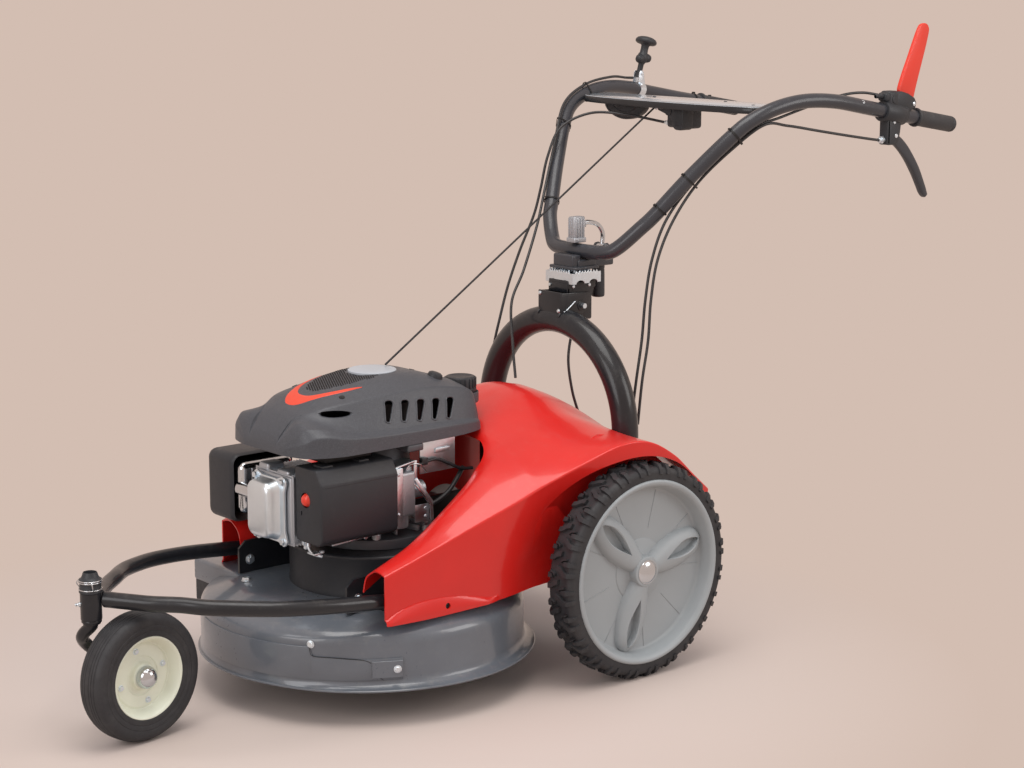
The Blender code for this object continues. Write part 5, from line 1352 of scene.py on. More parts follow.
cutters = bores(0.214, 0.15, 0.262, *WHEEL_AT, 96)
cutters.append(one(pipe, hoop_path, 0.0265, 40))
cutters += bores(0.0052, 0.05, 0.24, *SCREW_AT, 20)
body = carve(as_bmesh(solid), *cutters, solver="MANIFOLD")
piece("cover_moulding", body, "red_cover", "red_cover", "chassis", "red_cover", sharp=40)
places = [((side * 0.261, *SCREW_AT), (side, 0, 0)) for side in (1, -1)]
piece(
    "cover_screws", planted_on(pan_screw(0.0048, 0.002), places, "deep_black"), "frame_paint", "frame_paint",
    "chassis",
)
print("cover faces:", len(body.polygons))

# %% [markdown]
# ## Inner panels
# Behind each rear tyre a dark red wall closes the wheel arch. It follows the cover's top line a little
# lower down and leaves a round hollow for the shaft, so one flat outline serves both sides.

# %% Inner panels that close the wheel arches
skirt = [
    (-0.262, 0.19), (-0.258, 0.25), (-0.246, 0.31), (-0.212, 0.376), (-0.16, 0.4), (-0.11, 0.42), (-0.04, 0.446),
    (0.02, 0.436), (0.085, 0.402), (0.14, 0.358), (0.186, 0.322), (0.186, 0.292), (0.15, 0.22), (0.06, 0.198),
]
skirt += [(0.055 * math.cos(a), WHEEL_AT[1] + 0.055 * math.sin(a)) for a in (math.pi * n / 16 for n in range(17))]
skirt += [(-0.066, 0.19)]
panels = bmesh.new()
for low in (-0.2528, 0.2498):
    slab(panels, skirt, 0.2528 - 0.2498, "X", low, 0.0006, 1)
piece("cover_inner_panels", panels, "red_cover", "red_cover", "chassis", "red_cover")
print("inner panels made")

# %% [markdown]
# ## Engine shroud
# The shroud is moulded in grained plastic: a domed crown, a crisp shoulder, a hollow flank with five
# tear-shaped vents on each side, a ledge and a flared belly. Like the cover, it is a loft from a table
# of half sections, here turned into a thin shell and then cut. A rim is laid round each vent.

# %% Shroud sections: y, middle height, then x and z of crown, shoulder, hollow, ledge, belly, rim half width
SHROUD = [
    (-0.600, 0.4660, 0.025, 0.4660, 0.040, 0.4655, 0.046, 0.4650, 0.052, 0.4650, 0.0580, 0.4640, 0.0600),
    (-0.594, 0.4830, 0.028, 0.4830, 0.045, 0.4810, 0.055, 0.4800, 0.070, 0.4790, 0.0830, 0.4720, 0.0850),
    (-0.586, 0.4940, 0.029, 0.4935, 0.047, 0.4915, 0.064, 0.4960, 0.092, 0.4940, 0.1045, 0.4790, 0.1060),
    (-0.575, 0.5070, 0.030, 0.5065, 0.049, 0.5050, 0.072, 0.5080, 0.102, 0.5020, 0.1155, 0.4870, 0.1170),
    (-0.560, 0.5200, 0.031, 0.5190, 0.054, 0.5170, 0.080, 0.5110, 0.108, 0.5030, 0.1240, 0.4900, 0.1260),
    (-0.545, 0.5280, 0.034, 0.5270, 0.064, 0.5220, 0.085, 0.5110, 0.113, 0.5010, 0.1300, 0.4900, 0.1320),
    (-0.520, 0.5400, 0.040, 0.5390, 0.078, 0.5300, 0.096, 0.5100, 0.119, 0.4950, 0.1365, 0.4860, 0.1385),
    (-0.480, 0.5520, 0.045, 0.5505, 0.089, 0.5355, 0.104, 0.5105, 0.123, 0.4890, 0.1380, 0.4820, 0.1395),
    (-0.420, 0.5630, 0.050, 0.5610, 0.095, 0.5405, 0.109, 0.5160, 0.126, 0.4860, 0.1370, 0.4790, 0.1385),
    (-0.360, 0.5680, 0.052, 0.5660, 0.098, 0.5430, 0.111, 0.5160, 0.126, 0.4850, 0.1360, 0.4780, 0.1375),
    (-0.300, 0.5640, 0.052, 0.5620, 0.098, 0.5430, 0.111, 0.5150, 0.124, 0.4840, 0.1330, 0.4770, 0.1345),
    (-0.250, 0.5510, 0.052, 0.5495, 0.096, 0.5370, 0.108, 0.5110, 0.119, 0.4810, 0.1270, 0.4750, 0.1285),
    (-0.215, 0.5390, 0.050, 0.5380, 0.093, 0.5290, 0.104, 0.5030, 0.112, 0.4770, 0.1180, 0.4720, 0.1195),
    (-0.198, 0.5280, 0.048, 0.5270, 0.088, 0.5190, 0.098, 0.4940, 0.104, 0.4720, 0.1080, 0.4680, 0.1095),
    (-0.188, 0.5120, 0.044, 0.5110, 0.080, 0.5040, 0.088, 0.4840, 0.093, 0.4680, 0.0970, 0.4650, 0.0985),
]
CRANK_Y = -0.36
CRANK = (0, CRANK_Y, 0)
SHROUD_Z = 0.455


def shroud_half(row):
    """Dense points of half a section of the shroud, from the middle to the rim."""
    y = row[0]
    pairs = [(0.0, row[1])] + [(row[n], row[n + 1]) for n in range(2, 12, 2)] + [(row[12], SHROUD_Z)]
    flat = smoothly(y, -0.6, -0.56) * (1 - smoothly(y, -0.225, -0.19))
    corners = [0, 0, 0.0012 + 0.0022 * flat, 0, 0.001 + 0.001 * flat, 0.001 + 0.0016 * flat, 0]
    points = through(pairs, [8, 8, 8, 6, 5, 5], corners)
    return [(x, y, z) for x, z in points]


stations = [-0.6 + 0.412 * n / 100 for n in range(100)] + [-0.188 - 1e-6]
halves = [shroud_half(row) for row in swept(SHROUD, stations)]
rows = [[(-x, y, z) for x, y, z in half[:0:-1]] + half for half in halves]
front = [(x * 0.9, y, SHROUD_Z) for x, y, z in rows[0]]
back = [(x * 0.9, y, SHROUD_Z) for x, y, z in rows[-1]]
shell = bmesh.new()
bridge(shell, [front] + rows + [back])
bmesh.ops.remove_doubles(shell, verts=shell.verts, dist=0.00001)
bmesh.ops.recalc_face_normals(shell, faces=shell.faces)
if sum(f.normal.z * f.calc_area() for f in shell.faces) < 0:
    bmesh.ops.reverse_faces(shell, faces=shell.faces)
skin_tree = BVHTree.FromBMesh(shell)


def on_shroud(x, y, lift=0.0004):
    """The point of the shroud's skin under a point seen from above, and its normal."""
    place, normal, _, _ = skin_tree.ray_cast(Vector((x, y, 0.7)), Vector((0, 0, -1)))
    normal = normal if normal.z > 0 else -normal
    return place + normal * lift, normal


solid = thickened(shell, 0.0028)
cutters = []
TEAR = [
    (-0.018, -0.032), (-0.013, -0.0345), (-0.0072, -0.0325), (0.0085, -0.008), (0.0094, -0.0035), (0.0068, 0.0002),
    (0.0004, 0.0014), (-0.0058, 0.0006), (-0.0092, -0.003), (-0.0102, -0.008),
]
tears = []
for n in range(5):
    top_y, top_z = -0.402 + 0.0337 * n, 0.5315 - 0.0026 * n
    tears.append([(top_y + dy, top_z + dz) for dy, dz in TEAR])
    cutters.append(one(slab, tears[-1], 0.06, "X", 0.085))
    cutters.append(one(slab, tears[-1], 0.06, "X", -0.145))
for side in (1, -1):
    scoop = bmesh.new()
    bmesh.ops.create_uvsphere(scoop, u_segments=32, v_segments=16, radius=1.0)
    long_way = Vector((side * 0.31, 0.95, -0.05)).normalized()
    lie = Vector((1, 0, 0)).rotation_difference(long_way).to_matrix().to_4x4()
    bmesh.ops.scale(scoop, vec=(0.038, 0.018, 0.0062), verts=scoop.verts)
    bmesh.ops.transform(scoop, matrix=Matrix.Translation((side * 0.096, -0.511, 0.5205)) @ lie, verts=scoop.verts)
    cutters.append(scoop)
    groove = smooth_path([
        (side * 0.038, -0.604, 0.464), (side * 0.044, -0.596, 0.479), (side * 0.048, -0.583, 0.497),
        (side * 0.0505, -0.568, 0.514), (side * 0.057, -0.556, 0.52), (side * 0.066, -0.544, 0.524),
    ], 0.004)
    cutters.append(
        one(
            pipe, groove, [0.0006 + 0.0034 * math.sin(math.pi * n / (len(groove) - 1)) for n in range(len(groove))],
            8,
        )
    )
cutters.append(one(lathe, [(0, 0.5), (0.0325, 0.5), (0.0325, 0.6), (0, 0.6)], (0.042, -0.19, 0), UP, 48))
body = carve(as_bmesh(solid), *cutters)
piece("shroud_moulding", body, "shroud_plastic", "shroud_plastic", "chassis", "engine_shroud", sharp=42)
rims = bmesh.new()
for tear in tears:
    loop = smooth_path([(0, y, z) for y, z in tear + tear[:1]], 0.0015)
    for side in (1, -1):
        laid = []
        for p in loop:
            place, _, _, _ = skin_tree.ray_cast(Vector((side * 0.3, p.y, p.z)), Vector((-side, 0, 0)))
            laid.append(place)
        pipe(rims, laid, 0.0015, 8)
piece("vent_rims", rims, "shroud_plastic", "shroud_plastic", "chassis", "engine_shroud")
print("shroud faces:", len(body.polygons), "vent rims:", 2 * len(tears))

# %% [markdown]
# ## Crown of the shroud
# On the crown lie a painted crescent, a field of small pits for the air, the flat disc over the
# starter, three sunk screws, the fuel cap and a low knob behind it. The crescent, the pits, the screws
# and the knob are laid on the skin by looking down at them: a ray finds the height and the slope, so
# they follow the dome however the table changes. Dark walls inside keep the light from showing through the vents.

# %% Crescent, pits, disc and screws
CRESCENT_OUT = [
    (0.0, -0.5455), (0.016, -0.542), (0.031, -0.529), (0.043, -0.508), (0.053, -0.483), (0.059, -0.457),
    (0.0625, -0.431),
]
CRESCENT_IN = [
    (0.0, -0.514), (0.013, -0.5125), (0.025, -0.506), (0.0365, -0.492), (0.0455, -0.474), (0.053, -0.452),
    (0.061, -0.43),
]


def evenly(path, count):
    """Points spread evenly along a path."""
    lengths = [0.0]
    for a, b in zip(path, path[1:]):
        lengths.append(lengths[-1] + (b - a).length)
    spread = []
    for n in range(count):
        goal = lengths[-1] * n / (count - 1)
        i = min(len(path) - 2, max(k for k in range(len(lengths)) if lengths[k] <= goal + 1e-9))
        t = (goal - lengths[i]) / max(lengths[i + 1] - lengths[i], 1e-9)
        spread.append(path[i].lerp(path[i + 1], min(1.0, t)))
    return spread


def whole(half):
    """A line of the crescent on both sides of the middle, from its points on the left."""
    left = evenly(smooth_path([(x, y, 0) for x, y in half], 0.005), 40)
    return [Vector((-p.x, p.y, 0)) for p in left[:0:-1]] + left


crescent = bmesh.new()
rows = []
for a, b in zip(whole(CRESCENT_OUT), whole(CRESCENT_IN)):
    row = []
    for n in range(9):
        p = a.lerp(b, n / 8)
        row.append(on_shroud(p.x + 0.003, p.y, 0.0005 if 0 < n < 8 else -0.0002)[0])
    rows.append(row)
bridge(crescent, rows)
bmesh.ops.recalc_face_normals(crescent, faces=crescent.faces)
if sum(f.normal.z for f in crescent.faces) < 0:
    bmesh.ops.reverse_faces(crescent, faces=crescent.faces)
piece("crown_crescent", crescent, "button_red", "accent_red", "chassis", clean=False)
# The pits are near-black: painted shade where the air holes go dark.
shade_pit = one(lathe, [(0, 0.0006), (0.00135, 0.0005), (0.0015, -0.0004)], (0, 0, 0), UP, 6)
PIT_ACROSS, PIT_ALONG = 0.0043, 0.0046
FIELD_Y, FIELD_HALF_X, FIELD_HALF_Y, FIELD_END = -0.4, 0.0475, 0.098, -0.315
PLATE_ROOM = 0.0475
places = []
for i in range(-14, 15):
    for j in range(34):
        x = PIT_ACROSS * i
        y = -0.505 + PIT_ALONG * j + PIT_ALONG / 2 * (i % 2)
        clear = math.hypot(x, y - CRANK_Y) > PLATE_ROOM and y < FIELD_END
        if clear and (x / FIELD_HALF_X) ** 2 + ((y - FIELD_Y) / FIELD_HALF_Y) ** 2 < 1:
            places.append(on_shroud(x, y, 0.0003))
piece("crown_pits", planted_on(shade_pit, places, "deep_black"), "frame_paint", "deep_black", "chassis")
print("pits:", len(places), "crescent rows:", len(rows))
disc = one(
    lathe,
    [(0, 0.5707), (0.02, 0.5706), (0.0385, 0.57), (0.0424, 0.5694), (0.0438, 0.5684), (0.044, 0.5655), (0, 0.5654)],
    CRANK, UP, 96,
)
piece("starter_plate", disc, "starter_grey", "starter_grey", "chassis", "starter_disc")
screw = one(
    lathe,
    [
        (0, 0.0009), (0.0016, 0.0009), (0.0019, 0.0005), (0.0042, 0.0005), (0.0048, 0.0008), (0.0052, 0.0002),
        (0.0052, -0.0006),
    ],
    (0, 0, 0), UP, 20,
)
places = [on_shroud(x, y, 0.0002) for x, y in ((-0.068, -0.482), (0.07, -0.478), (0.004, -0.273))]
piece("crown_screws", planted_on(screw, places, "deep_black"), "frame_paint", "deep_black", "chassis")
print("crown screws:", len(places))

# %% Fuel cap with its knurls, and the neck under it
CAP_AT = Vector((0.042, -0.19, 0))
KNURLS = 20
low = 0.5133
cap = one(lathe, [
    (0, low + 0.027), (0.008, low + 0.0272), (0.019, low + 0.0278), (0.0225, low + 0.029), (0.0252, low + 0.0288),
    (0.027, low + 0.0278), (0.028, low + 0.0262), (0.028, low + 0.008), (0.0296, low + 0.0068), (0.03, low + 0.002),
    (0.029, low), (0, low),
], CAP_AT, UP, 72)
piece("fuel_cap_turned", cap, "engine_plastic", "engine_plastic", "fuel_cap", "fuel_filler_cap")
rib = one(brick, (0.0268, -0.0016, low + 0.0085), (0.0299, 0.0016, low + 0.0265), 0.0008, 2)
ribs = ring_of(rib, KNURLS, CAP_AT, UP, "engine_plastic")
piece("fuel_cap_knurls", ribs, "engine_plastic", "engine_plastic", "fuel_cap", "fuel_filler_cap")
neck = one(
    lathe,
    [
        (0.0322, 0.496), (0.0338, 0.4962), (0.0338, 0.512), (0.0334, 0.5134), (0.0324, 0.5136), (0.0318, 0.5126),
        (0.0318, 0.51), (0.01, 0.5098), (0.01, 0.494), (0.0322, 0.494),
    ],
    CAP_AT, UP, 64, ring=True,
)
piece("fuel_neck", neck, "shroud_plastic", "shroud_plastic", "chassis", "engine_shroud")
# Near-black walls inside and under the shroud: painted shade behind the vents and below the rim.
shade_walls = bmesh.new()
several(
    brick, shade_walls,
    ((-0.078, -0.54, 0.46), (0.078, -0.466, 0.505), 0.006, 3),
    ((-0.105, -0.54, 0.438), (0.105, -0.44, 0.457), 0.004, 3),
    ((-0.085, -0.261, 0.458), (0.085, -0.225, 0.515), 0.006, 3),
)
piece("shroud_baffles", shade_walls, "engine_plastic", "deep_black", "chassis")
bump = bmesh.new()
place, normal = on_shroud(0.058, -0.262, -0.002)
lathe(bump, [(0, 0.0105), (0.009, 0.01), (0.0125, 0.008), (0.014, 0.004), (0.0145, -0.002)], place, normal, 40)
piece("crown_rear_knob", bump, "shroud_plastic", "engine_plastic", "chassis")
print("fuel cap has", KNURLS, "knurls of", len(ribs.polygons) // KNURLS, "faces")

# %% [markdown]
# ## Riser, crankcase and cylinder
# A plastic cup lifts the engine off the deck. On it sits the crankcase with its ribbed flange, and
# forward of that the finned cylinder and its head. A round housing for the fan fills the shroud. The
# fins are one plate repeated, which is a rule for Geometry Nodes rather than a job for the hand.

# %% Riser cup, crankcase, cylinder fins
riser = one(
    lathe,
    [
        (0.031, 0.2618), (0.146, 0.2618), (0.15, 0.262), (0.153, 0.261), (0.1546, 0.259), (0.155, 0.256),
        (0.1542, 0.2545), (0.1542, 0.195), (0.155, 0.1925), (0.155, 0.1853), (0.151, 0.1853), (0.151, 0.254),
        (0.148, 0.256), (0.031, 0.256),
    ],
    CRANK, UP, 128, ring=True,
)
piece("riser_cup", riser, "engine_plastic", "engine_plastic", "chassis", "engine_riser")
FAN_R = 0.095
CASE_RIBS = 14
case = bmesh.new()
lathe(case, [
    (0.0128, 0.45), (0.056, 0.45), (0.058, 0.449), (0.066, 0.436), (0.068, 0.3), (0.07, 0.293), (0.076, 0.288),
    (0.108, 0.282), (0.113, 0.28), (0.114, 0.278), (0.114, 0.263), (0.113, 0.2623), (0.0128, 0.2623),
], CRANK, UP, 96, ring=True)
brick(case, (-0.04, -0.529, 0.3), (0.04, -0.42, 0.402), 0.01, 4)
brick(case, (-0.1375, -0.385, 0.4417), (0.1375, -0.35, 0.4547), 0.003, 3)
piece("crankcase", case, "cast_aluminium", "cast_dark", "chassis", "engine_block")
rib = one(brick, (0.067, -0.0022, 0.286), (0.108, 0.0022, 0.296), 0.0015, 2)
ribs = ring_of(rib, CASE_RIBS, CRANK, UP, "cast_aluminium", 0.2)
piece("crankcase_ribs", ribs, "cast_aluminium", "cast_aluminium", "chassis", "engine_block")
boss = bmesh.new()
lathe(boss, [(0, 0.276), (0.0085, 0.276), (0.0085, 0.2905), (0.0078, 0.2915), (0, 0.2915)], (0.104, 0, 0), UP, 20)
lathe(boss, [(0, 0.2915), (0.0062, 0.2915), (0.0062, 0.2965), (0.005, 0.2975), (0, 0.2975)], (0.104, 0, 0), UP, 6)
bosses = ring_of(boss, 6, CRANK, UP, "cast_aluminium", 0.45)
piece("crankcase_bosses", bosses, "cast_aluminium", "cast_aluminium", "chassis", "engine_block")
housing = one(lathe, [
    (FAN_R, 0.442), (FAN_R, 0.522), (FAN_R - 0.004, 0.526), (FAN_R - 0.04, 0.526), (FAN_R - 0.04, 0.524),
    (FAN_R - 0.0045, 0.524), (FAN_R - 0.002, 0.5215), (FAN_R - 0.002, 0.442),
], CRANK, UP, 96, ring=True)
piece("fan_housing", housing, "engine_plastic", "deep_black", "chassis")
fin = one(brick, (-0.054, -0.0008, 0.29), (0.054, 0.0008, 0.412), 0.0006, 2)
places = [((0, -0.5285 + 0.0062 * n, 0), UP) for n in range(8)]
piece(
    "cylinder_fins", planted_on(fin, places, "cast_aluminium"), "cast_aluminium", "cast_aluminium", "chassis",
    "engine_block",
)
print("crankcase ribs:", CASE_RIBS, "fins:", len(places))

# %% Head and valve cover with its plated dome
head = bmesh.new()
brick(head, (-0.055, -0.579, 0.29), (0.055, -0.531, 0.411), 0.004, 3)
for n in range(7):
    y = -0.5755 + 0.0068 * n
    brick(head, (-0.058, y, 0.2872), (0.058, y + 0.0022, 0.4138), 0.0008, 2)
brick(head, (-0.046, -0.578, 0.408), (-0.016, -0.542, 0.424), 0.005, 3)
brick(head, (0.006, -0.576, 0.408), (0.043, -0.538, 0.42), 0.006, 3)
piece("head_casting", head, "cast_aluminium", "cast_aluminium", "chassis", "cylinder_head")


def round_rect(half_x, low, high, radius, steps=6, dent=0.0):
    """A rectangle with round corners in x and z; dent draws its sides in between the corners."""
    middle = (low + high) / 2
    half_z = (high - low) / 2
    points = []
    for cx, cz, start in ((1, 1, 0), (-1, 1, 90), (-1, -1, 180), (1, -1, 270)):
        for n in range(steps + 1):
            a = math.radians(start + 90 * n / steps)
            points.append(
                (
                    cx * (half_x - radius) + radius * math.cos(a),
                    middle + cz * (half_z - radius) + radius * math.sin(a),
                )
            )
        if dent:
            if start in (0, 180):
                points += [(cx * (half_x - radius) * k, middle + cz * (half_z - dent)) for k in (0.62, 0.0, -0.62)]
            else:
                points += [(cx * (half_x - dent), middle + cz * (half_z - radius) * k) for k in (0.66, 0.0, -0.66)]
    return points


flange = bmesh.new()
slab(flange, round_rect(0.05, 0.2855, 0.4115, 0.012, 6, 0.006), 0.0045, "Y", -0.5862, 0.0012, 3)
piece("valve_flange", flange, "zinc", "zinc", "chassis", "valve_cover")
dome = bmesh.new()
rows = []
for offset, grow_by, radius in (
    (-0.585, 0.002, 0.018), (-0.588, 0.0012, 0.018), (-0.59, -0.0004, 0.018), (-0.6, -0.002, 0.0175),
    (-0.606, -0.0036, 0.017), (-0.6088, -0.0058, 0.016), (-0.6104, -0.009, 0.014), (-0.6112, -0.013, 0.011),
    (-0.6117, -0.02, 0.007),
):
    outline = round_rect(0.036 + grow_by, 0.296 - grow_by, 0.401 + grow_by, radius, 8)
    rows.append([(x - 0.006, offset, z) for x, z in outline])
bridge(dome, rows, closed=True, caps=True)
piece("valve_dome", dome, "zinc", "zinc", "chassis", "valve_cover", sharp=50)
places = [((x, -0.5862, z), (0, -1, 0)) for x in (-0.041, 0.041) for z in (0.295, 0.402)]
piece(
    "valve_bolts", planted_on(hex_bolt(0.01, 0.006, 0.0066), places, "zinc"), "zinc", "zinc", "chassis",
    "valve_cover",
)
print("valve cover rows:", len(rows))

# %% [markdown]
# ## Muffler and its guard
# The muffler's pressed box sits at the right of the head behind a plastic guard that is open towards
# the cylinder. The guard is a rounded block with a rounded room cut out, as the mould would leave it,
# and both are cut to the same slope below.

# %% Muffler box, pipe and guard
box = one(brick, (-0.237, -0.552, 0.301), (-0.14, -0.436, 0.3975), 0.014, 4)
below = [(-0.57, 0.2), (-0.39, 0.2), (-0.39, 0.3425), (-0.44, 0.3095), (-0.57, 0.263)]
slope = one(slab, below, 0.13, "X", -0.262)
muffler = as_bmesh(carve(box, slope.copy()))
pipe(muffler, [(-0.0583, -0.548, 0.35), (-0.15, -0.548, 0.35)], 0.0125, 32)
for n in range(5):
    brick(muffler, (-0.1415, -0.53 + 0.02 * n, 0.336), (-0.1385, -0.524 + 0.02 * n, 0.386), 0.0014, 2)
piece("muffler_box", muffler, "steel", "bright_steel", "chassis", "muffler")
guard = one(brick, (-0.2445, -0.562, 0.284), (-0.15, -0.426, 0.412), 0.017, 5)
room = one(brick, (-0.2395, -0.558, 0.288), (-0.1, -0.43, 0.408), 0.014, 4)
guard = carve(guard, room, slope)
piece("muffler_hood", guard, "engine_plastic", "engine_plastic", "chassis", "muffler_guard")
print("guard faces:", len(guard.polygons))

# %% [markdown]
# ## Air filter and primer
# A flat black backing carries a box cover with one wide bevel along its top. The primer is a soft red
# bulb in a dark round hole. A bevelled extrusion of the end view gives the box in one go.

# %% Filter backing, cover, clips and primer
base = one(brick, (0.0583, -0.572, 0.306), (0.064, -0.413, 0.432), 0.0012, 2)
piece("filter_backing", base, "engine_plastic", "engine_plastic", "chassis", "air_filter_base")
end_view = [
    (0.0643, 0.303), (0.129, 0.303), (0.1372, 0.3075), (0.14, 0.315), (0.14, 0.4085), (0.1385, 0.413),
    (0.1255, 0.434), (0.123, 0.435), (0.0643, 0.435),
]
box = one(slab, end_view, 0.165, "Y", -0.575, 0.0026, 4)
hole = one(lathe, [(0, -0.02), (0.0135, -0.02), (0.0135, 0.0135), (0, 0.0135)], (0.093, -0.575, 0.378), (0, 1, 0), 40)
slot_cut = one(brick, (0.079, -0.58, 0.349), (0.083, -0.5725, 0.357), 0.0006, 2)
box = carve(box, hole, slot_cut)
piece("filter_box", box, "engine_plastic", "engine_plastic", "chassis", "air_filter_cover")
trim = bmesh.new()
several(
    brick, trim,
    ((0.1392, -0.566, 0.4055), (0.1404, -0.415, 0.407), 0.0004, 2),
    ((0.09, -0.556, 0.434), (0.118, -0.533, 0.4385), 0.0012, 2),
    ((0.09, -0.478, 0.434), (0.118, -0.456, 0.4385), 0.0012, 2),
    ((0.07, -0.574, 0.302), (0.13, -0.412, 0.306), 0.001, 2),
)
piece("filter_clips", trim, "engine_plastic", "engine_plastic", "chassis", "air_filter_cover")
bulb = one(
    lathe,
    [
        (0, 0.006), (0.003, 0.0058), (0.0058, 0.005), (0.0082, 0.0036), (0.0098, 0.0016), (0.0106, -0.001),
        (0.0118, -0.0022), (0.012, -0.0066), (0, -0.007),
    ],
    (0.093, -0.575, 0.378), (0, -1, 0), 40,
)
piece("primer_dome", bulb, "button_red", "button_red", "primer_button", "primer_bulb")
print("filter box faces:", len(box.polygons))

# %% [markdown]
# ## Carburettor, linkage and governor plate
# Between the filter and the shroud shows a small cluster: a pale carburettor body with its bowl, two
# plates, a bent lever with springs, and a plated bracket that clamps the throttle cable. Each is a
# folded strip or a small turned part.

# %% Carburettor cluster
carb = bmesh.new()
brick(carb, (0.072, -0.4097, 0.322), (0.122, -0.356, 0.402), 0.005, 3)
lathe(
    carb, [(0, 0.2985), (0.017, 0.2985), (0.0195, 0.3), (0.02, 0.302), (0.02, 0.329), (0, 0.33)], (0.097, -0.38, 0),
    UP, 40,
)
pipe(carb, [(0.097, -0.362, 0.362), (0.097, -0.326, 0.362)], 0.0158, 36)
brick(carb, (0.083, -0.37, 0.396), (0.112, -0.356, 0.41), 0.002, 2)
piece("carburettor_body", carb, "cast_aluminium", "cast_aluminium", "chassis", "carburettor")
plates = bmesh.new()
brick(plates, (0.088, -0.406, 0.316), (0.124, -0.386, 0.412), 0.0012, 2)
several(
    slab, plates, ([(-0.408, 0.41), (-0.356, 0.418), (-0.356, 0.421), (-0.408, 0.413)], 0.034, "X", 0.086, 0.0006, 2),
    ([(-0.357, 0.42), (-0.35, 0.42), (-0.35, 0.376), (-0.357, 0.376)], 0.0026, "X", 0.115, 0.0008, 2),
    (
        [(-0.36, 0.386), (-0.354, 0.389), (-0.319, 0.343), (-0.317, 0.306), (-0.324, 0.306), (-0.326, 0.339)], 0.003,
        "X", 0.12, 0.0008, 2,
    ),
    ([(-0.356, 0.338), (-0.324, 0.338), (-0.324, 0.306), (-0.356, 0.306)], 0.0022, "X", 0.116, 0.0008, 2),
)
piece("carburettor_plates", plates, "zinc", "zinc", "chassis", "carburettor")
bits = bmesh.new()
pipe(
    bits,
    smooth_path(
        [(0.113, -0.372, 0.404), (0.118, -0.366, 0.414), (0.12, -0.346, 0.412), (0.118, -0.33, 0.396)], 0.004,
    ),
    0.0012, 10, 0.001,
)
pipe(
    bits, smooth_path([(0.12, -0.36, 0.38), (0.124, -0.345, 0.36), (0.124, -0.326, 0.335)], 0.004), 0.0014, 10, 0.001,
)
coil = [
    Vector((0.116 + 0.003 * math.cos(a), -0.372 + 0.003 * math.sin(a), 0.374 + 0.02 * a / 50.0))
    for a in (n * 0.5 for n in range(101))
]
pipe(bits, coil, 0.0006, 6)
piece("carburettor_springs", bits, "zinc", "bright_steel", "chassis")
places = [
    ((0.1182, -0.332, 0.33), (1, 0, 0)), ((0.1182, -0.332, 0.315), (1, 0, 0)), ((0.124, -0.396, 0.401), (1, 0, 0)),
    ((0.124, -0.396, 0.328), (1, 0, 0)),
]
piece("carburettor_screws", planted_on(pan_screw(0.0034, 0.0016), places, "zinc"), "zinc", "zinc", "chassis")
bracket = bmesh.new()
several(
    brick, bracket,
    ((0.098, -0.33, 0.388), (0.1002, -0.25, 0.4545), 0.0006, 2),
    ((0.07, -0.3497, 0.4525), (0.1002, -0.25, 0.4545), 0.0006, 2),
    ((0.0998, -0.2975, 0.4225), (0.103, -0.263, 0.4315), 0.0022, 3),
)
piece("governor_bracket", bracket, "zinc", "zinc", "chassis", "governor_plate")
clamp = bmesh.new()
brick(clamp, (0.099, -0.332, 0.405), (0.109, -0.318, 0.419), 0.002, 2)
pipe(
    clamp,
    smooth_path(
        [
            (0.106, -0.342, 0.406), (0.1062, -0.318, 0.4115), (0.1062, -0.296, 0.412), (0.1062, -0.27, 0.401),
            (0.108, -0.244, 0.388), (0.108, -0.216, 0.384),
        ],
        0.006,
    ),
    0.003, 16, 0.002,
)
pipe(clamp, smooth_path([(0.1, -0.336, 0.325), (0.11, -0.312, 0.332), (0.112, -0.278, 0.348), (0.106, -0.25, 0.37),
                         (0.098, -0.23, 0.386)], 0.006), 0.0042, 16, 0.002)
piece("governor_cable", clamp, "cable_skin", "cable_skin", "chassis")
print("carburettor cluster made")

# %% Small things under the filter and the case
under = bmesh.new()
pipe(
    under,
    smooth_path(
        [(0.076, -0.556, 0.306), (0.078, -0.56, 0.29), (0.086, -0.556, 0.278), (0.098, -0.546, 0.274)], 0.004,
    ),
    0.003, 14, 0.002,
)
brick(under, (0.074, -0.56, 0.276), (0.096, -0.544, 0.28), 0.0012, 2)
brick(under, (0.068, -0.564, 0.284), (0.076, -0.552, 0.308), 0.002, 2)
pipe(under, [(0.108, -0.53, 0.293), (0.112, -0.44, 0.299)], 0.0022, 12, 0.001)
piece("filter_bracket", under, "zinc", "zinc", "chassis")
places = [((0.096, -0.544, 0.2802), UP), ((0.072, -0.564, 0.296), (0, -1, 0)), ((0.112, -0.462, 0.298), (1, 0, 0))]
piece("filter_bracket_bolts", planted_on(hex_bolt(0.0075, 0.0036, 0.005), places, "zinc"), "zinc", "zinc", "chassis")
print("brackets under the filter made")

# %% [markdown]
# ## Handlebar
# One tube, 28 mm thick, bends out of the clamp, up and back to the two grips. A polyline of a few bends
# would show kinks in its highlight, so the tube follows a smooth curve in steps of four millimetres.
# The rubber grips are turned, with a collar and a rounded end, and thin straps hold the cables.


# %% Bar and grips
LEFT_ARM = [
    (0.035, 0.137, 0.742), (0.074, 0.145, 0.744), (0.097, 0.156, 0.757), (0.129, 0.178, 0.792),
    (0.148, 0.199, 0.819), (0.187, 0.246, 0.886), (0.235, 0.308, 0.963), (0.256, 0.345, 0.996),
    (0.271, 0.398, 1.018), (0.282, 0.461, 1.028), (0.293, 0.533, 1.025), (0.3, 0.613, 1.011),
    (0.3, 0.684, 0.998), (0.3, 0.74, 0.98847), (0.3, 0.872, 0.966),
]
right_arm = [(-x, y, z) for x, y, z in reversed(LEFT_ARM)]
BAR_R = 0.014
bar_path = smooth_path(right_arm + [(0, 0.135, 0.742)] + LEFT_ARM, 0.004)
piece("bar_tube", one(pipe, bar_path, BAR_R, 36), "frame_paint", "bar_paint", "handlebar", "handlebar_tube")


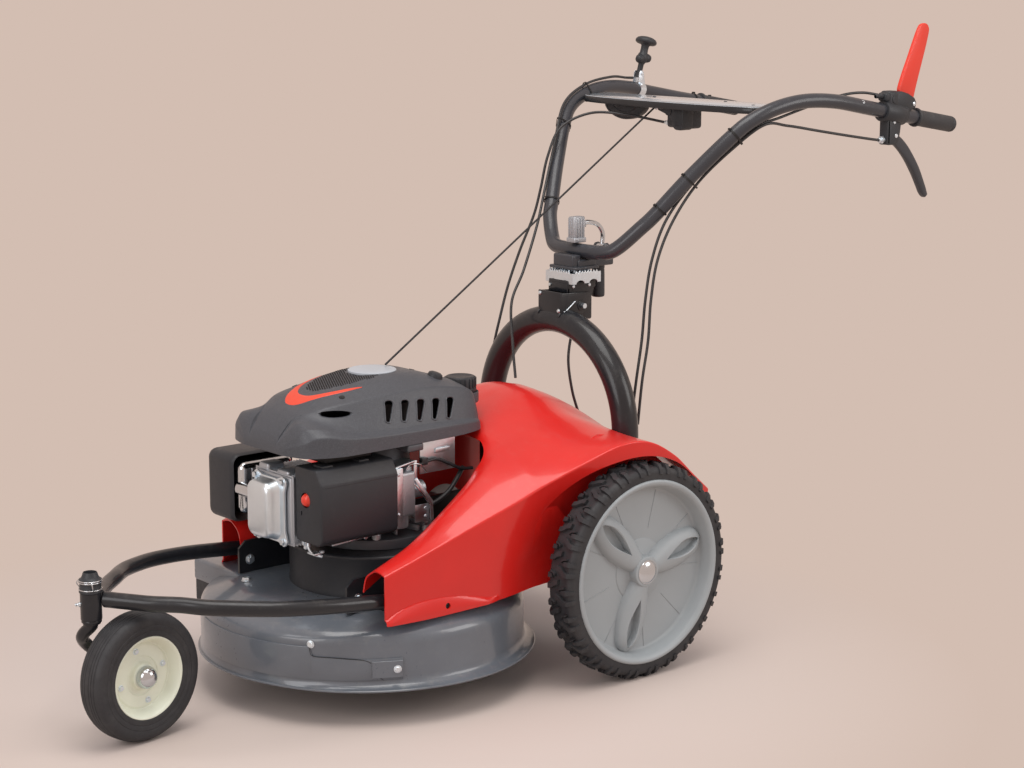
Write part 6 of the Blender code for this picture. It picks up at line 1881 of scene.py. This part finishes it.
def arm_at(y, side=1):
    """A point on an arm of the bar at a given y, and the direction towards its grip."""
    for first, second in zip(bar_path, bar_path[1:]):
        if first.x > 0.05 and first.y <= y < second.y:
            point = first.lerp(second, (y - first.y) / (second.y - first.y))
            run = (second - first).normalized()
            return Vector((side * point.x, point.y, point.z)), Vector((side * run.x, run.y, run.z))
    raise ValueError("the arm has no such point")


GRIP_L = 0.118
GRIP_ON = 0.112
for label, side in (("left", 1), ("right", -1)):
    start, end = (Vector((side * x, y, z)) for x, y, z in LEFT_ARM[-2:])
    run = (end - start).normalized()
    profile = [
        (0.0143, 0), (0.018, 0), (0.0189, 0.0008), (0.019, 0.0034), (0.0184, 0.0048), (0.0166, 0.0062),
        (0.016, 0.008), (0.0161, 0.04), (0.016, GRIP_L - 0.012), (0.0155, GRIP_L - 0.0114), (0.0155, GRIP_L - 0.0106),
        (0.016, GRIP_L - 0.01), (0.0159, GRIP_L - 0.005), (0.0154, GRIP_L - 0.0026), (0.0142, GRIP_L - 0.001),
        (0.012, GRIP_L - 0.0001), (0.0088, GRIP_L - 0.0001), (0.0084, GRIP_L - 0.001), (0, GRIP_L - 0.001),
    ]
    rubber = one(lathe, profile, end - run * GRIP_ON, run, 56)
    piece(f"grip_sleeve_{label}", rubber, "grip_rubber", "grip_rubber", "handlebar", f"grip_{label}", sharp=50)
print("bar points:", len(bar_path))

# %% Straps round the bar and its cables
STRAP_R, STRAP_WALL, STRAP_HALF = 0.0145, 0.0011, 0.0018
LOCK_OUT = 0.0165
LOCK_HALF = Vector((0.0028, 0.003, 0.0018))


def strap(bm, y, side, under, inward, reach):
    """A thin strap round the bar and the cables that run beside it, with its small lock."""
    place, run = arm_at(y, side)
    left_run = Vector((side * run.x, run.y, run.z))
    down = left_run.cross(Vector((1, 0, 0))).normalized()
    across = left_run.cross(down)
    down, across = (Vector((side * v.x, v.y, v.z)) for v in (down, across))
    circles = [(Vector((0, 0)), STRAP_R), (Vector((under, inward)), reach)]
    loops = []
    for grow_by in (0.0, STRAP_WALL):
        loop = []
        for step in range(40):
            turned = Vector((math.cos(math.tau * step / 40), math.sin(math.tau * step / 40)))
            far = max((c + turned * (r + grow_by) for c, r in circles), key=lambda p: p.dot(turned))
            loop.append(place + down * far.x + across * far.y)
        loops.append(loop)
    inner, outer = loops
    half = run * STRAP_HALF
    bridge(bm, [[p - half for p in inner], [p - half for p in outer], [p + half for p in outer],
                [p + half for p in inner], [p - half for p in inner]], closed=True)
    lock = place - down * LOCK_OUT if under > 0 else place + down * LOCK_OUT
    brick(bm, lock - LOCK_HALF, lock + LOCK_HALF, 0.0008, 2)


straps = bmesh.new()
for y, side, under, inward, reach in (
    (0.314, 1, 0.0187, 0.0, 0.008), (0.246, 1, 0.0195, 0.0, 0.0082), (0.206, 1, 0.001, 0.0, 0.014),
    (0.304, -1, -0.02, 0.003, 0.004), (0.4, -1, -0.019, 0.003, 0.004), (0.199, -1, 0.001, 0.0, 0.014),
    (0.74, -1, 0.001, 0.0, 0.0142), (0.79, -1, 0.001, 0.0, 0.0142),
):
    strap(straps, y, side, under, inward, reach)
piece("cable_straps", straps, "control_plastic", "deep_black", "handlebar")

place, run = arm_at(0.598)
eyelet = one(lathe, [(0.0018, -0.0004), (0.0018, 0.0005), (0.0034, 0.0006), (0.004, 0.0001), (0.004, -0.0006)],
             place + Vector((0.0105, -0.002, 0.0088)), (0.75, -0.1, 0.65), 20, ring=True)
piece("bar_eyelet", eyelet, "zinc", "zinc", "handlebar")
print("straps and eyelet made")

# %% [markdown]
# ## Dash, lever quadrant and throttle case
# A thin glossy plate closes the space between the arms. Its front edge rolls over into a lip, which a
# flat slab would miss, so the lip is a section swept along the curved edge. The half disc below it
# holds the throttle lever and the stepped case holds the end of its cable.


# %% Dash and lip
DASH_GAP = 0.0146


def inside_arm(y):
    """A point of the dash's side edge, just clear of the left arm as seen from above."""
    place, run = arm_at(y)
    flat = Vector((run.x, run.y)).normalized()
    return (place.x - flat.y * DASH_GAP, place.y + flat.x * DASH_GAP)


dash_side = [inside_arm(0.385 + 0.067 * step / 8) for step in range(9)]
corner = dash_side[0]
front = [(-corner[0], corner[1], 0), (-0.23, 0.362, 0), (-0.15, 0.344, 0), (0, 0.337, 0), (0.15, 0.344, 0),
         (0.23, 0.362, 0), (corner[0], corner[1], 0)]
front = smooth_path(front, 0.005)
rear = [(-x, y) for x, y in dash_side] + [
    (0.266 * (step - 10) / 10, 0.462 - 0.01 * ((step - 10) / 10) ** 2) for step in range(1, 20)
]
outline = [(p.x, p.y + 0.0015) for p in reversed(front[1:-1])] + rear + [(x, y) for x, y in reversed(dash_side)]
dash = one(slab, outline, 0.0028, "Z", 1.016, 0.0008)
piece("dash_top", dash, "dash_paint", "dash_paint", "handlebar", "dash_plate", sharp=25)
LIP = [
    (0.003, 1.005), (0.0006, 1.0054), (0.0, 1.0072), (0.0, 1.014), (0.001, 1.0172), (0.0034, 1.0188),
    (0.0064, 1.019), (0.0096, 1.0189), (0.0096, 1.016), (0.006, 1.0158), (0.0038, 1.014), (0.0034, 1.0064),
]
lip = bmesh.new()
rows = []
for p, run, _, _ in frames_along(front):
    inward = Vector((-run.y, run.x, 0))
    rows.append([Vector((p.x, p.y, z)) + inward * depth for depth, z in LIP])
bridge(lip, rows, closed=True, caps=True)
piece("dash_rolled_lip", lip, "frame_paint", "frame_paint", "handlebar", "dash_plate", sharp=50)
places = [((x, y, 1.0188), UP) for x, y in ((-0.205, 0.4), (0.205, 0.4), (-0.1, 0.432), (0.1, 0.432))]
piece(
    "dash_screws", planted_on(pan_screw(0.0036, 0.0012), places, "bar_paint"), "frame_paint", "bar_paint",
    "handlebar",
)
print("dash rows:", len(rows))

# %% Lever quadrant
QUADRANT_X, QUADRANT_Z = -0.13, 1.012
arc = []
for step in range(33):
    angle = math.radians(200.0 + 140.0 * (32 - step) / 32)
    arc.append((QUADRANT_X + 0.062 * math.cos(angle), QUADRANT_Z + 0.038 * min(0.0, math.sin(angle))))
quadrant = one(slab, [(QUADRANT_X - 0.06, 1.0156), (QUADRANT_X + 0.06, 1.0156)] + arc, 0.015, "Y", 0.377, 0.0022)
for size in (0.92, 0.62):
    groove = [
        (QUADRANT_X + (x - QUADRANT_X) * size, 0.3772, QUADRANT_Z + (z - QUADRANT_Z) * size) for x, z in arc
    ]
    pipe(quadrant, groove, 0.0011, 8)
for index in range(7):
    x = QUADRANT_X + 0.006 + 0.0062 * index
    brick(quadrant, (x - 0.0014, 0.3762, 0.999), (x + 0.0014, 0.3782, 1.008), 0.0005, 2)
lathe(
    quadrant, [(0, 0), (0.0075, 0), (0.0075, 0.0012), (0.006, 0.002), (0, 0.002)],
    (QUADRANT_X - 0.022, 0.3776, 1.0045), (0, -1, 0), 24,
)
piece("quadrant_half_disc", quadrant, "control_plastic", "control_plastic", "handlebar", "lever_quadrant")

# %% Throttle case with its adjuster and the eye for the rope
case = one(slab, [(-0.024, 1.0156), (-0.024, 0.999), (0.006, 0.99), (0.017, 0.98), (0.02, 0.968), (0.026, 0.9625),
                  (0.042, 0.962), (0.048, 0.966), (0.05, 1.0156)], 0.03, "Y", 0.3662, 0.003)
brick(case, (-0.022, 0.39, 0.964), (0.046, 0.424, 1.012), 0.006, 3)
for index in range(6):
    x = 0.0262 + 0.0036 * index
    brick(case, (x, 0.3656, 0.97), (x + 0.0014, 0.3668, 1.006), 0.0004, 1)
lathe(
    case, [(0, 0), (0.009, 0), (0.0094, 0.0014), (0.009, 0.0026), (0, 0.003)], (0.008, 0.3672, 0.999), (0, -1, 0), 28,
)
piece("throttle_case_ribbed", case, "control_plastic", "control_plastic", "handlebar", "throttle_case")
adjuster = one(
    lathe,
    [
        (0, 0), (0.0062, 0), (0.0062, 0.005), (0.0048, 0.006), (0.0048, 0.012), (0.004, 0.013), (0.004, 0.018),
        (0.0028, 0.0186),
    ],
    (-0.021, 0.405, 0.972), (-1, 0, 0), 24,
)
lathe(
    adjuster, [(0.003, 0.0064), (0.0074, 0.0064), (0.0074, 0.0096), (0.003, 0.0096)], (-0.021, 0.405, 0.972),
    (-1, 0, 0), 6,
)
piece("throttle_adjuster", adjuster, "zinc", "zinc", "handlebar")
eye = bmesh.new()
brick(eye, (-0.04, 0.381, 1.006), (-0.016, 0.388, 1.0156), 0.0015, 2)
for start in (-0.05, -0.04):
    pipe(
        eye, smooth_path([(start, 0.3845, 1.012), (start + 0.001, 0.3845, 1.004), (-0.045, 0.3845, 0.9985)], 0.002),
        0.0018, 10,
    )
piece("rope_eye", eye, "zinc", "zinc", "handlebar", "throttle_case")
print("quadrant, case and eye made")

# %% [markdown]
# ## Levers at the left grip
# A moulded housing clamps round the bar. The red stop lever stands up out of a slot in it and the
# black drive lever hangs from two cheeks below. The levers are cast shapes whose section changes along
# their length, so the drive lever is lofted along its middle line instead of being cut from a plate.

# %% Housing
PERCH_X = 0.3
place, run = arm_at(0.69)
housing = one(
    lathe,
    [
        (0.0143, -0.028), (0.019, -0.028), (0.0205, -0.0262), (0.0205, -0.006), (0.0212, -0.004), (0.0212, 0.02),
        (0.0205, 0.022), (0.0205, 0.033), (0.019, 0.0348), (0.0143, 0.0348),
    ],
    place, run, 56, ring=True,
)
brick(housing, (PERCH_X - 0.0135, 0.67, 1.006), (PERCH_X + 0.0135, 0.6988, 1.04), 0.006, 4)
brick(housing, (PERCH_X - 0.012, 0.662, 1.02), (PERCH_X + 0.012, 0.68, 1.037), 0.005, 4)
upper = [
    (0.692, 1.0), (0.692, 1.038), (0.706, 1.0385), (0.728, 1.033), (0.746, 1.024), (0.752, 1.014),
    (0.749, 1.004), (0.73, 0.998),
]
mirrored_slabs(housing, upper, 0.0046, 0.0132, 0.002, PERCH_X)
lower = [
    (0.672, 0.993), (0.67, 0.94), (0.674, 0.9345), (0.698, 0.9345), (0.704, 0.942), (0.708, 0.96),
    (0.712, 0.993),
]
mirrored_slabs(housing, lower, 0.0056, 0.011, 0.0016, PERCH_X)
brick(housing, (PERCH_X - 0.011, 0.67, 0.935), (PERCH_X + 0.011, 0.6782, 0.99), 0.0024, 3)
lathe(
    housing, [(0, 0), (0.0066, 0), (0.0072, 0.001), (0.0066, 0.0018), (0, 0.0022)], (PERCH_X + 0.013, 0.685, 1.023),
    (1, 0, 0), 28,
)
piece("perch_housing", housing, "control_plastic", "control_plastic", "handlebar", "lever_perch", sharp=45)
pins = bmesh.new()
several(
    lathe, pins,
    (
        [(0, 0), (0.0042, 0), (0.0042, 0.001), (0.003, 0.0018), (0, 0.002)], (PERCH_X + 0.013, 0.744, 1.0125),
        (1, 0, 0), 20,
    ),
    (
        [(0, 0), (0.004, 0), (0.0042, 0.0012), (0.003, 0.0026), (0, 0.0028)], (PERCH_X + 0.0108, 0.695, 0.952),
        (1, 0, 0), 20,
    ),
    ([(0, 0), (0.0036, 0), (0.0034, 0.0014), (0, 0.002)], (PERCH_X + 0.0108, 0.689, 0.979), (1, 0, 0), 20),
)
lathe(pins, [(0, 0), (0.006, 0), (0.006, 0.0046), (0.0048, 0.005), (0.0048, 0.015), (0.0036, 0.016), (0.003, 0.016)],
      (PERCH_X, 0.6715, 0.945), (0, -1, 0), 24)
lathe(
    pins, [(0.004, 0.0064), (0.0078, 0.0064), (0.0078, 0.01), (0.004, 0.01)], (PERCH_X, 0.6715, 0.945), (0, -1, 0), 6,
)
piece("perch_fittings", pins, "zinc", "zinc", "handlebar")
elbow = one(
    lathe, [(0.003, 0.026), (0.004, 0.025), (0.0042, 0.014), (0.0054, 0.013), (0.0058, 0.002), (0.0054, 0), (0, 0)],
    (PERCH_X, 0.668, 1.03), (0, -1, 0.02), 24,
)
piece("stop_cable_ferrule", elbow, "control_plastic", "control_plastic", "handlebar")
print("housing of the levers made")

# %% The two levers
stop_line = [
    (0.74, 1.0062), (0.7345, 1.008), (0.73, 1.015), (0.718, 1.028), (0.7088, 1.04), (0.719, 1.068), (0.735, 1.101),
    (0.751, 1.135), (0.7635, 1.159), (0.77, 1.1662), (0.779, 1.1688), (0.788, 1.1668), (0.7935, 1.16), (0.794, 1.152),
    (0.787, 1.126), (0.774, 1.087), (0.761, 1.048), (0.7525, 1.019), (0.7495, 1.0085), (0.745, 1.006),
]
outline = [(p.x, p.y) for p in smooth_path([(y, z, 0) for y, z in stop_line + stop_line[:1]], 0.004)[:-1]]
stop = one(slab, outline, 0.0078, "X", PERCH_X - 0.0039, 0.002, 3)
lathe(stop, [(0, -0.0044), (0.007, -0.0044), (0.007, 0.0044), (0, 0.0044)], (PERCH_X, 0.744, 1.0125), (1, 0, 0), 32)
piece("stop_lever_moulded", stop, "button_red", "button_red", "stop_lever", "stop_lever_red", sharp=42)
middle = smooth_path(
    [
        (0.694, 0.945, 0.02), (0.708, 0.941, 0.0225), (0.728, 0.926, 0.0235), (0.748, 0.905, 0.0215),
        (0.768, 0.879, 0.0195), (0.784, 0.853, 0.017), (0.795, 0.834, 0.015), (0.801, 0.827, 0.011),
    ],
    0.003,
)
drive = bmesh.new()
rows = []
for index, p in enumerate(middle):
    before, after = middle[max(index - 1, 0)], middle[min(index + 1, len(middle) - 1)]
    run = Vector((after.x - before.x, after.y - before.y)).normalized()
    share = index / (len(middle) - 1)
    half = 0.005 + 0.0028 * min(1.0, max(0.0, (share - 0.22) / 0.35)) - 0.0014 * max(0.0, (share - 0.9) / 0.1)
    ring = []
    for step in range(24):
        c, s = math.cos(math.tau * step / 24), math.sin(math.tau * step / 24)
        u = math.copysign(abs(c) ** 0.55, c) * p.z / 2
        w = math.copysign(abs(s) ** 0.55, s) * half
        ring.append((PERCH_X + w, p.x - run.y * u, p.y + run.x * u))
    rows.append(ring)
bridge(drive, rows, closed=True, caps=True)
piece("drive_lever_cast", drive, "control_plastic", "bar_paint", "drive_lever", "drive_lever_black", sharp=48)
print("levers made, drive lever rows:", len(rows))

# %% Selector on the right arm
KNOB_Y = 0.575
place, run = arm_at(KNOB_Y, -1)
pivot = Vector((place.x, KNOB_Y, place.z + 0.034))
bracket = one(
    lathe, [(0.0143, -0.0085), (0.0156, -0.0085), (0.0156, 0.0085), (0.0143, 0.0085)], place, run, 40, ring=True,
)
for side in (-1, 1):
    outline = [
        (KNOB_Y - 0.0105, place.z + 0.008), (KNOB_Y - 0.006, pivot.z + 0.002), (KNOB_Y - 0.003, pivot.z + 0.0062),
        (KNOB_Y + 0.003, pivot.z + 0.0062), (KNOB_Y + 0.006, pivot.z + 0.002), (KNOB_Y + 0.0105, place.z + 0.008),
    ]
    slab(bracket, outline, 0.0022, "X", place.x + side * 0.0085 - 0.0011, 0.0006)
lathe(
    bracket, [(0, 0), (0.004, 0), (0.004, 0.002), (0.0028, 0.003), (0, 0.003)], (place.x + 0.0096, pivot.y, pivot.z),
    (1, 0, 0), 6,
)
lathe(
    bracket, [(0, 0), (0.0062, 0), (0.0056, 0.003), (0.003, 0.0066), (0, 0.0074)],
    place + Vector((0.011, -0.002, 0.008)), (0.6, -0.3, 0.74), 24,
)
piece("selector_cheeks", bracket, "zinc", "zinc", "handlebar", "selector_bracket")
low = Vector((place.x, KNOB_Y - 0.0015, pivot.z - 0.008))
way = Vector((0.0, 0.3, 1.0)).normalized()
stem = one(
    lathe,
    [
        (0, 0), (0.0058, 0), (0.006, 0.028), (0.008, 0.032), (0.011, 0.036), (0.012, 0.042), (0.011, 0.048),
        (0.0085, 0.053), (0.008, 0.06), (0.0084, 0.068), (0.0105, 0.0705), (0.019, 0.0722), (0.0222, 0.0744),
        (0.0231, 0.0772), (0.0224, 0.0802), (0.0196, 0.0836), (0.014, 0.0862), (0.007, 0.0876), (0, 0.088),
    ],
    low, way, 48,
)
for reach in (-1, 1):
    wing = low + way * 0.0425
    pipe(
        stem,
        [
            wing + Vector((0, reach * 0.002, 0)), wing + Vector((0.003, reach * 0.0115, -0.002)),
            wing + Vector((0.004, reach * 0.015, -0.003)),
        ],
        [0.0105, 0.0095, 0.0078], 24, 0.004,
    )
piece(
    "selector_knob_turned", stem, "control_plastic", "control_plastic", "selector_lever", "selector_knob_lever",
    sharp=50,
)
print("selector made")

# %% [markdown]
# ## Clamp under the handlebar
# A folded front with two cheeks is bolted to the hoop, with a small hook at its side. It carries a box
# that tilts, a toothed plate lies on that, and a jaw grips the bar and turns on the teeth. The parts are
# folded from sheet, so they are flat outlines with a thickness and a small bend radius, and the teeth
# are cut into the outline of their strip.


# %% Box on the hoop, tilting plate and its ears
front = bmesh.new()
brick(front, (-0.033, 0.064, 0.613), (0.033, 0.068, 0.669), 0.0018, 3)
cheek = [(0.065, 0.613), (0.122, 0.625), (0.132, 0.633), (0.14, 0.648), (0.14, 0.664), (0.065, 0.668)]
mirrored_slabs(front, cheek, 0.03, 0.033, 0.0012)
washer = [(0.0052, 0), (0.0052, 0.0014), (0.0104, 0.0014), (0.0112, 0.0006), (0.0112, 0)]
for side in (-1, 1):
    lathe(front, washer, (side * 0.0329, 0.118, 0.64), (side, 0, 0), 32, ring=True)
piece("hoop_box_front", front, "frame_paint", "frame_paint", "chassis", "arch_saddle")
places = [((x, 0.064, z), (0, -1, 0)) for x, z in ((-0.027, 0.663), (0.027, 0.634))]
bolts = planted_on(hex_bolt(0.0056, 0.0028, 0.0038), places, "zinc")
hook = one(pipe, [(0.0342, 0.07, 0.632), (0.0342, 0.076, 0.633), (0.0342, 0.1, 0.65)], 0.0011, 10)
piece("hoop_box_bolts", bolts, "zinc", "zinc", "chassis")
piece("hoop_box_hook", hook, "zinc", "zinc", "chassis")

tilting = bmesh.new()
brick(tilting, (-0.029, 0.0864, 0.672), (0.029, 0.158, 0.6897), 0.003, 3)
brick(tilting, (-0.027, 0.085, 0.666), (0.027, 0.0884, 0.684), 0.0012, 2)
ear = [
    (0.088, 0.688), (0.09, 0.668), (0.099, 0.634), (0.106, 0.627), (0.13, 0.627), (0.139, 0.634),
    (0.153, 0.668), (0.157, 0.688),
]
mirrored_slabs(tilting, ear, 0.0225, 0.0285, 0.0014)
piece("tilting_box", tilting, "frame_paint", "frame_paint", "tilt_bracket", "tilt_bracket_plate")
bits = bmesh.new()
for y in (0.099, 0.14):
    lathe(
        bits, [(0, 0), (0.0034, 0), (0.0034, 0.002), (0.0024, 0.003), (0, 0.003)], (0.0284, y, 0.678), (1, 0, 0), 16,
    )
lathe(bits, [(0, 0), (0.003, 0), (0.003, 0.002), (0, 0.0026)], (-0.022, 0.0852, 0.678), (0, -1, 0), 16)
piece("tilting_box_fittings", bits, "zinc", "zinc", "tilt_bracket")
print("tilting box made")

# %% Toothed strips
def saw_strip(length, low, high, tooth, count):
    """The outline of a strip with saw teeth along its top and two arches along its foot."""
    outline = [(0.0, high - 0.004), (0.0, low)]
    for arch in (0.28, 0.74):
        middle, half = arch * length, 0.145 * length
        for step in range(9):
            angle = math.pi * (1 - step / 8)
            outline.append((middle + half * math.cos(angle), low + 0.0068 * math.sin(angle)))
    outline += [(length, low), (length, high - 0.004)]
    start, end = length * 0.9, length * 0.1
    pitch = (start - end) / count
    for index in range(count):
        at = start - index * pitch
        outline += [(at, high - tooth), (at - pitch * 0.42, high), (at - pitch * 0.58, high)]
    outline.append((end, high - tooth))
    return outline


toothed = bmesh.new()
brick(toothed, (-0.0365, 0.0905, 0.6902), (0.0365, 0.16, 0.7026), 0.0012, 2)
strip = [(s - 0.0375, z) for s, z in saw_strip(0.075, 0.683, 0.708, 0.0046, 9)]
slab(toothed, strip, 0.0026, "Y", 0.088, 0.0003, 1)
for side in (-1, 1):
    strip = [(s + 0.0885, z) for s, z in saw_strip(0.073, 0.683, 0.708, 0.0046, 8)]
    slab(toothed, strip, 0.0026, "X", side * 0.0378 - 0.0013, 0.0003, 1)
tooth = bmesh.new()
brick(tooth, (0.0165, -0.002, 0.0), (0.0285, 0.002, 0.0058), 0.0006, 1)
crown = ring_of(tooth, 16, (0, 0.13, 0.7021), UP, "zinc")
toothed.from_mesh(crown)
bpy.data.meshes.remove(crown)
piece("toothed_plate_pressed", toothed, "zinc", "zinc", "tilt_bracket", "toothed_plate", sharp=25)
print("toothed plate made")

# %% Jaw, spring case and clamp lever
jaw = bmesh.new()
several(
    brick, jaw,
    ((-0.036, 0.0945, 0.7087), (0.036, 0.16, 0.715), 0.0022, 3),
    ((-0.029, 0.098, 0.712), (0.029, 0.119, 0.737), 0.0034, 3),
    ((-0.032, 0.11, 0.713), (0.032, 0.156, 0.7272), 0.0024, 3),
    ((-0.02, 0.1505, 0.7092), (0.02, 0.213, 0.733), 0.0034, 3),
)
ear = [(0.186, 0.73), (0.188, 0.744), (0.193, 0.751), (0.202, 0.752), (0.208, 0.747), (0.211, 0.73)]
mirrored_slabs(jaw, ear, 0.0108, 0.0146, 0.0012)
lathe(
    jaw, [(0.005, 0), (0.012, 0), (0.0128, 0.001), (0.012, 0.0022), (0.005, 0.0022)], (0, 0.198, 0.7322), UP, 32,
    ring=True,
)
piece("jaw_folded", jaw, "frame_paint", "bar_paint", "handlebar", "handlebar_jaw")
case = [
    (0, 0.6462), (0.009, 0.6462), (0.0118, 0.6472), (0.0128, 0.6494), (0.013, 0.654), (0.0126, 0.69), (0.0122, 0.702),
    (0.0126, 0.7036), (0.0126, 0.708), (0, 0.708),
]
piece(
    "spring_case_turned", one(lathe, case, (0, 0.19, 0), UP, 48), "control_plastic", "control_plastic", "handlebar",
    "clamp_spring_case",
)

lever = bmesh.new()
brick(lever, (-0.0096, 0.1192, 0.764), (0.0096, 0.1468, 0.8076), 0.003, 3)
for index in range(4):
    y = 0.1206 + 0.0066 * index
    for side in (-1, 1):
        low, high = sorted((side * 0.0088, side * 0.0109))
        brick(lever, (low, y, 0.766), (high, y + 0.004, 0.804), 0.0009, 2)
for index in range(3):
    x = -0.0086 + 0.0062 * index
    brick(lever, (x, 0.1181, 0.766), (x + 0.0042, 0.121, 0.805), 0.0009, 2)
brick(lever, (-0.0125, 0.117, 0.7578), (0.0125, 0.1475, 0.7672), 0.002, 3)
brick(lever, (-0.008, 0.144, 0.786), (0.008, 0.152, 0.799), 0.0024, 3)
piece("clamp_lever_ribbed", lever, "zinc", "cast_aluminium", "clamp_lever", "clamp_lever_grip")
bent = smooth_path(
    [(0, 0.14, 0.793), (0, 0.164, 0.794), (0, 0.188, 0.787), (0, 0.201, 0.768), (0, 0.198, 0.74)], 0.002,
)
rod = one(pipe, bent, 0.0047, 24, 0.002)
pipe(rod, [(-0.01, 0.198, 0.744), (0.01, 0.198, 0.744)], 0.0057, 24, 0.001)
piece("clamp_lever_rod", rod, "zinc", "bright_steel", "clamp_lever", "clamp_lever_grip")
print("clamp made")

# %% [markdown]
# ## Cables and starter rope
# The cables bend where the handlebar tilts and again where it swivels. Each cable and the rope is made
# as a lower and an upper length that meet at a given height, and the lock cable as one length. Neither
# length is put on a body.


# %% Routes, split at a height near the tilting box
ROUTES = {
    "throttle_cable": [
        (-0.0263, 0.405, 0.972), (-0.0413, 0.405, 0.972), (-0.1, 0.36, 0.985), (-0.16, 0.315, 0.988),
        (-0.19, 0.26, 0.96), (-0.19, 0.225, 0.905), (-0.19, 0.206, 0.84), (-0.19, 0.188, 0.788),
        (-0.19, 0.152, 0.721), (-0.19, 0.121, 0.653), (-0.192, 0.1, 0.585), (-0.2, 0.094, 0.54),
        (-0.218, 0.098, 0.48), (-0.226, 0.104, 0.418),
    ],
    "selector_cable": [
        (-0.3049, 0.5647, 1.043), (-0.3049, 0.545, 1.044), (0.48, -1, -0.0205, 0.003), (0.4, -1, -0.019, 0.003),
        (0.33, -1, -0.0205, 0.003), (0.27, -1, -0.0195, 0.003), (-0.166, 0.198, 0.848), (-0.136, 0.15, 0.776),
        (-0.106, 0.09, 0.696), (-0.086, 0.042, 0.638), (-0.056, 0.02, 0.56), (-0.034, 0.008, 0.502),
    ],
    "drive_cable": [
        (0.3, 0.6757, 0.945), (0.3, 0.656, 0.945), (0.291, 0.59, 0.955), (0.28, 0.512, 0.968),
        (0.268, 0.43, 0.982), (0.36, 1, 0.019, -0.0045), (0.3, 1, 0.0185, -0.0045), (0.25, 1, 0.0195, -0.0045),
        (0.18, 0.215, 0.809), (0.178, 0.178, 0.738), (0.178, 0.162, 0.663), (0.18, 0.154, 0.587),
        (0.182, 0.138, 0.512), (0.184, 0.126, 0.43),
    ],
    "stop_cable": [
        (0.3, 0.6897, 1.03), (0.3, 0.67, 1.03), (0.288, 0.62, 1.038), (0.276, 0.568, 1.034),
        (0.266, 0.485, 1.015), (0.258, 0.42, 0.998), (0.35, 1, 0.019, 0.0045), (0.295, 1, 0.0185, 0.0045),
        (0.245, 1, 0.0195, 0.0055), (0.168, 0.208, 0.809), (0.167, 0.174, 0.738), (0.167, 0.158, 0.663),
        (0.168, 0.149, 0.587), (0.17, 0.134, 0.512), (0.171, 0.12, 0.43),
    ],
    "lock_cable": [
        (-0.02, 0.155, 0.6717), (-0.02, 0.155, 0.65), (-0.021, 0.158, 0.62), (-0.019, 0.14, 0.58),
        (-0.014, 0.126, 0.527), (-0.007, 0.13, 0.467), (-0.001, 0.142, 0.42),
    ],
    "starter_rope": [(0.0, -0.33, 0.5735), (-0.0225, 0.024, 0.7872), (-0.045, 0.3785, 1.0015)],
}


def clipped(y, side, under, inward):
    """A point beside an arm of the bar, where the cable is strapped to it."""
    place, run = arm_at(y)
    down = run.cross(Vector((1, 0, 0))).normalized()
    place = place + down * under + run.cross(down) * inward
    return Vector((side * place.x, place.y, place.z))


def world_point(p):
    """A point of the machine in the frame's own coordinates."""
    return (p[0], p[1] + AXLE_Y, p[2])


def nearest(path, height):
    """The index of the path's point that is nearest to a height."""
    return min(range(len(path)), key=lambda n: abs(path[n].z - height))


# Heights near the tilting box: a cable goes over to its upper length at the middle one, and the points found at the
# other two are not used.
CABLE_HELD_FROM, CABLE_SPLIT, CABLE_HELD_TO = 0.54, 0.7, 0.88
ROPE_SPLIT = 0.7872
lengths = {}
for name, route in ROUTES.items():
    rope = name == "starter_rope"
    points = [clipped(*p) if len(p) == 4 else Vector(p) for p in route]
    if points[0].z > points[-1].z:
        points.reverse()
    path = smooth_path(points, 0.005)
    lengths[name] = sum((b - a).length for a, b in zip(path, path[1:]))
    radius, skin = (0.0019, "rope_black") if rope else (0.0027, "cable_skin")
    if name == "lock_cable":
        lower = piece("lock_cable_sheath", one(pipe, path, radius, 14), skin, skin, None, name)
        world_point(points[2])
        world_point(points[-1])
        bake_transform(lower)
        continue
    cut = nearest(path, ROPE_SPLIT if rope else CABLE_SPLIT)
    first = path[0] if rope else path[nearest(path, CABLE_HELD_FROM)]
    last = path[-6] if rope else path[nearest(path, CABLE_HELD_TO)]
    low, high = path[:cut + 1], path[cut:]
    lower = piece(f"{name}_lower", one(pipe, low, radius, 14), skin, skin, None, name)
    world_point(first)
    world_point(path[cut])
    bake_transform(lower)
    upper = piece(f"{name}_upper", one(pipe, high, radius, 14), skin, skin, None, name)
    world_point(path[cut])
    world_point(last)
    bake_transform(upper)
print("lengths in metres:", {name: round(value, 3) for name, value in lengths.items()})

# %% [markdown]
# ## Parts that keep their shape
# The rails, the blade, the crank and the other hidden parts are already as the real ones are. They only
# get their finish here.

# %% Finishes of the parts that keep their shape
KEPT = {
    "chassis_frame": "frame_paint", "gearbox": "cast_dark", "crankshaft": "dark_steel", "flywheel": "cast_dark",
    "cutter_bar": "dark_steel", "cutter_bolt": "zinc", "tilt_pin": "zinc",
}
for name, finish in KEPT.items():
    bpy.data.objects[name].material_slots[0].material = FINISHES[finish].material
print("parts kept:", ", ".join(KEPT))
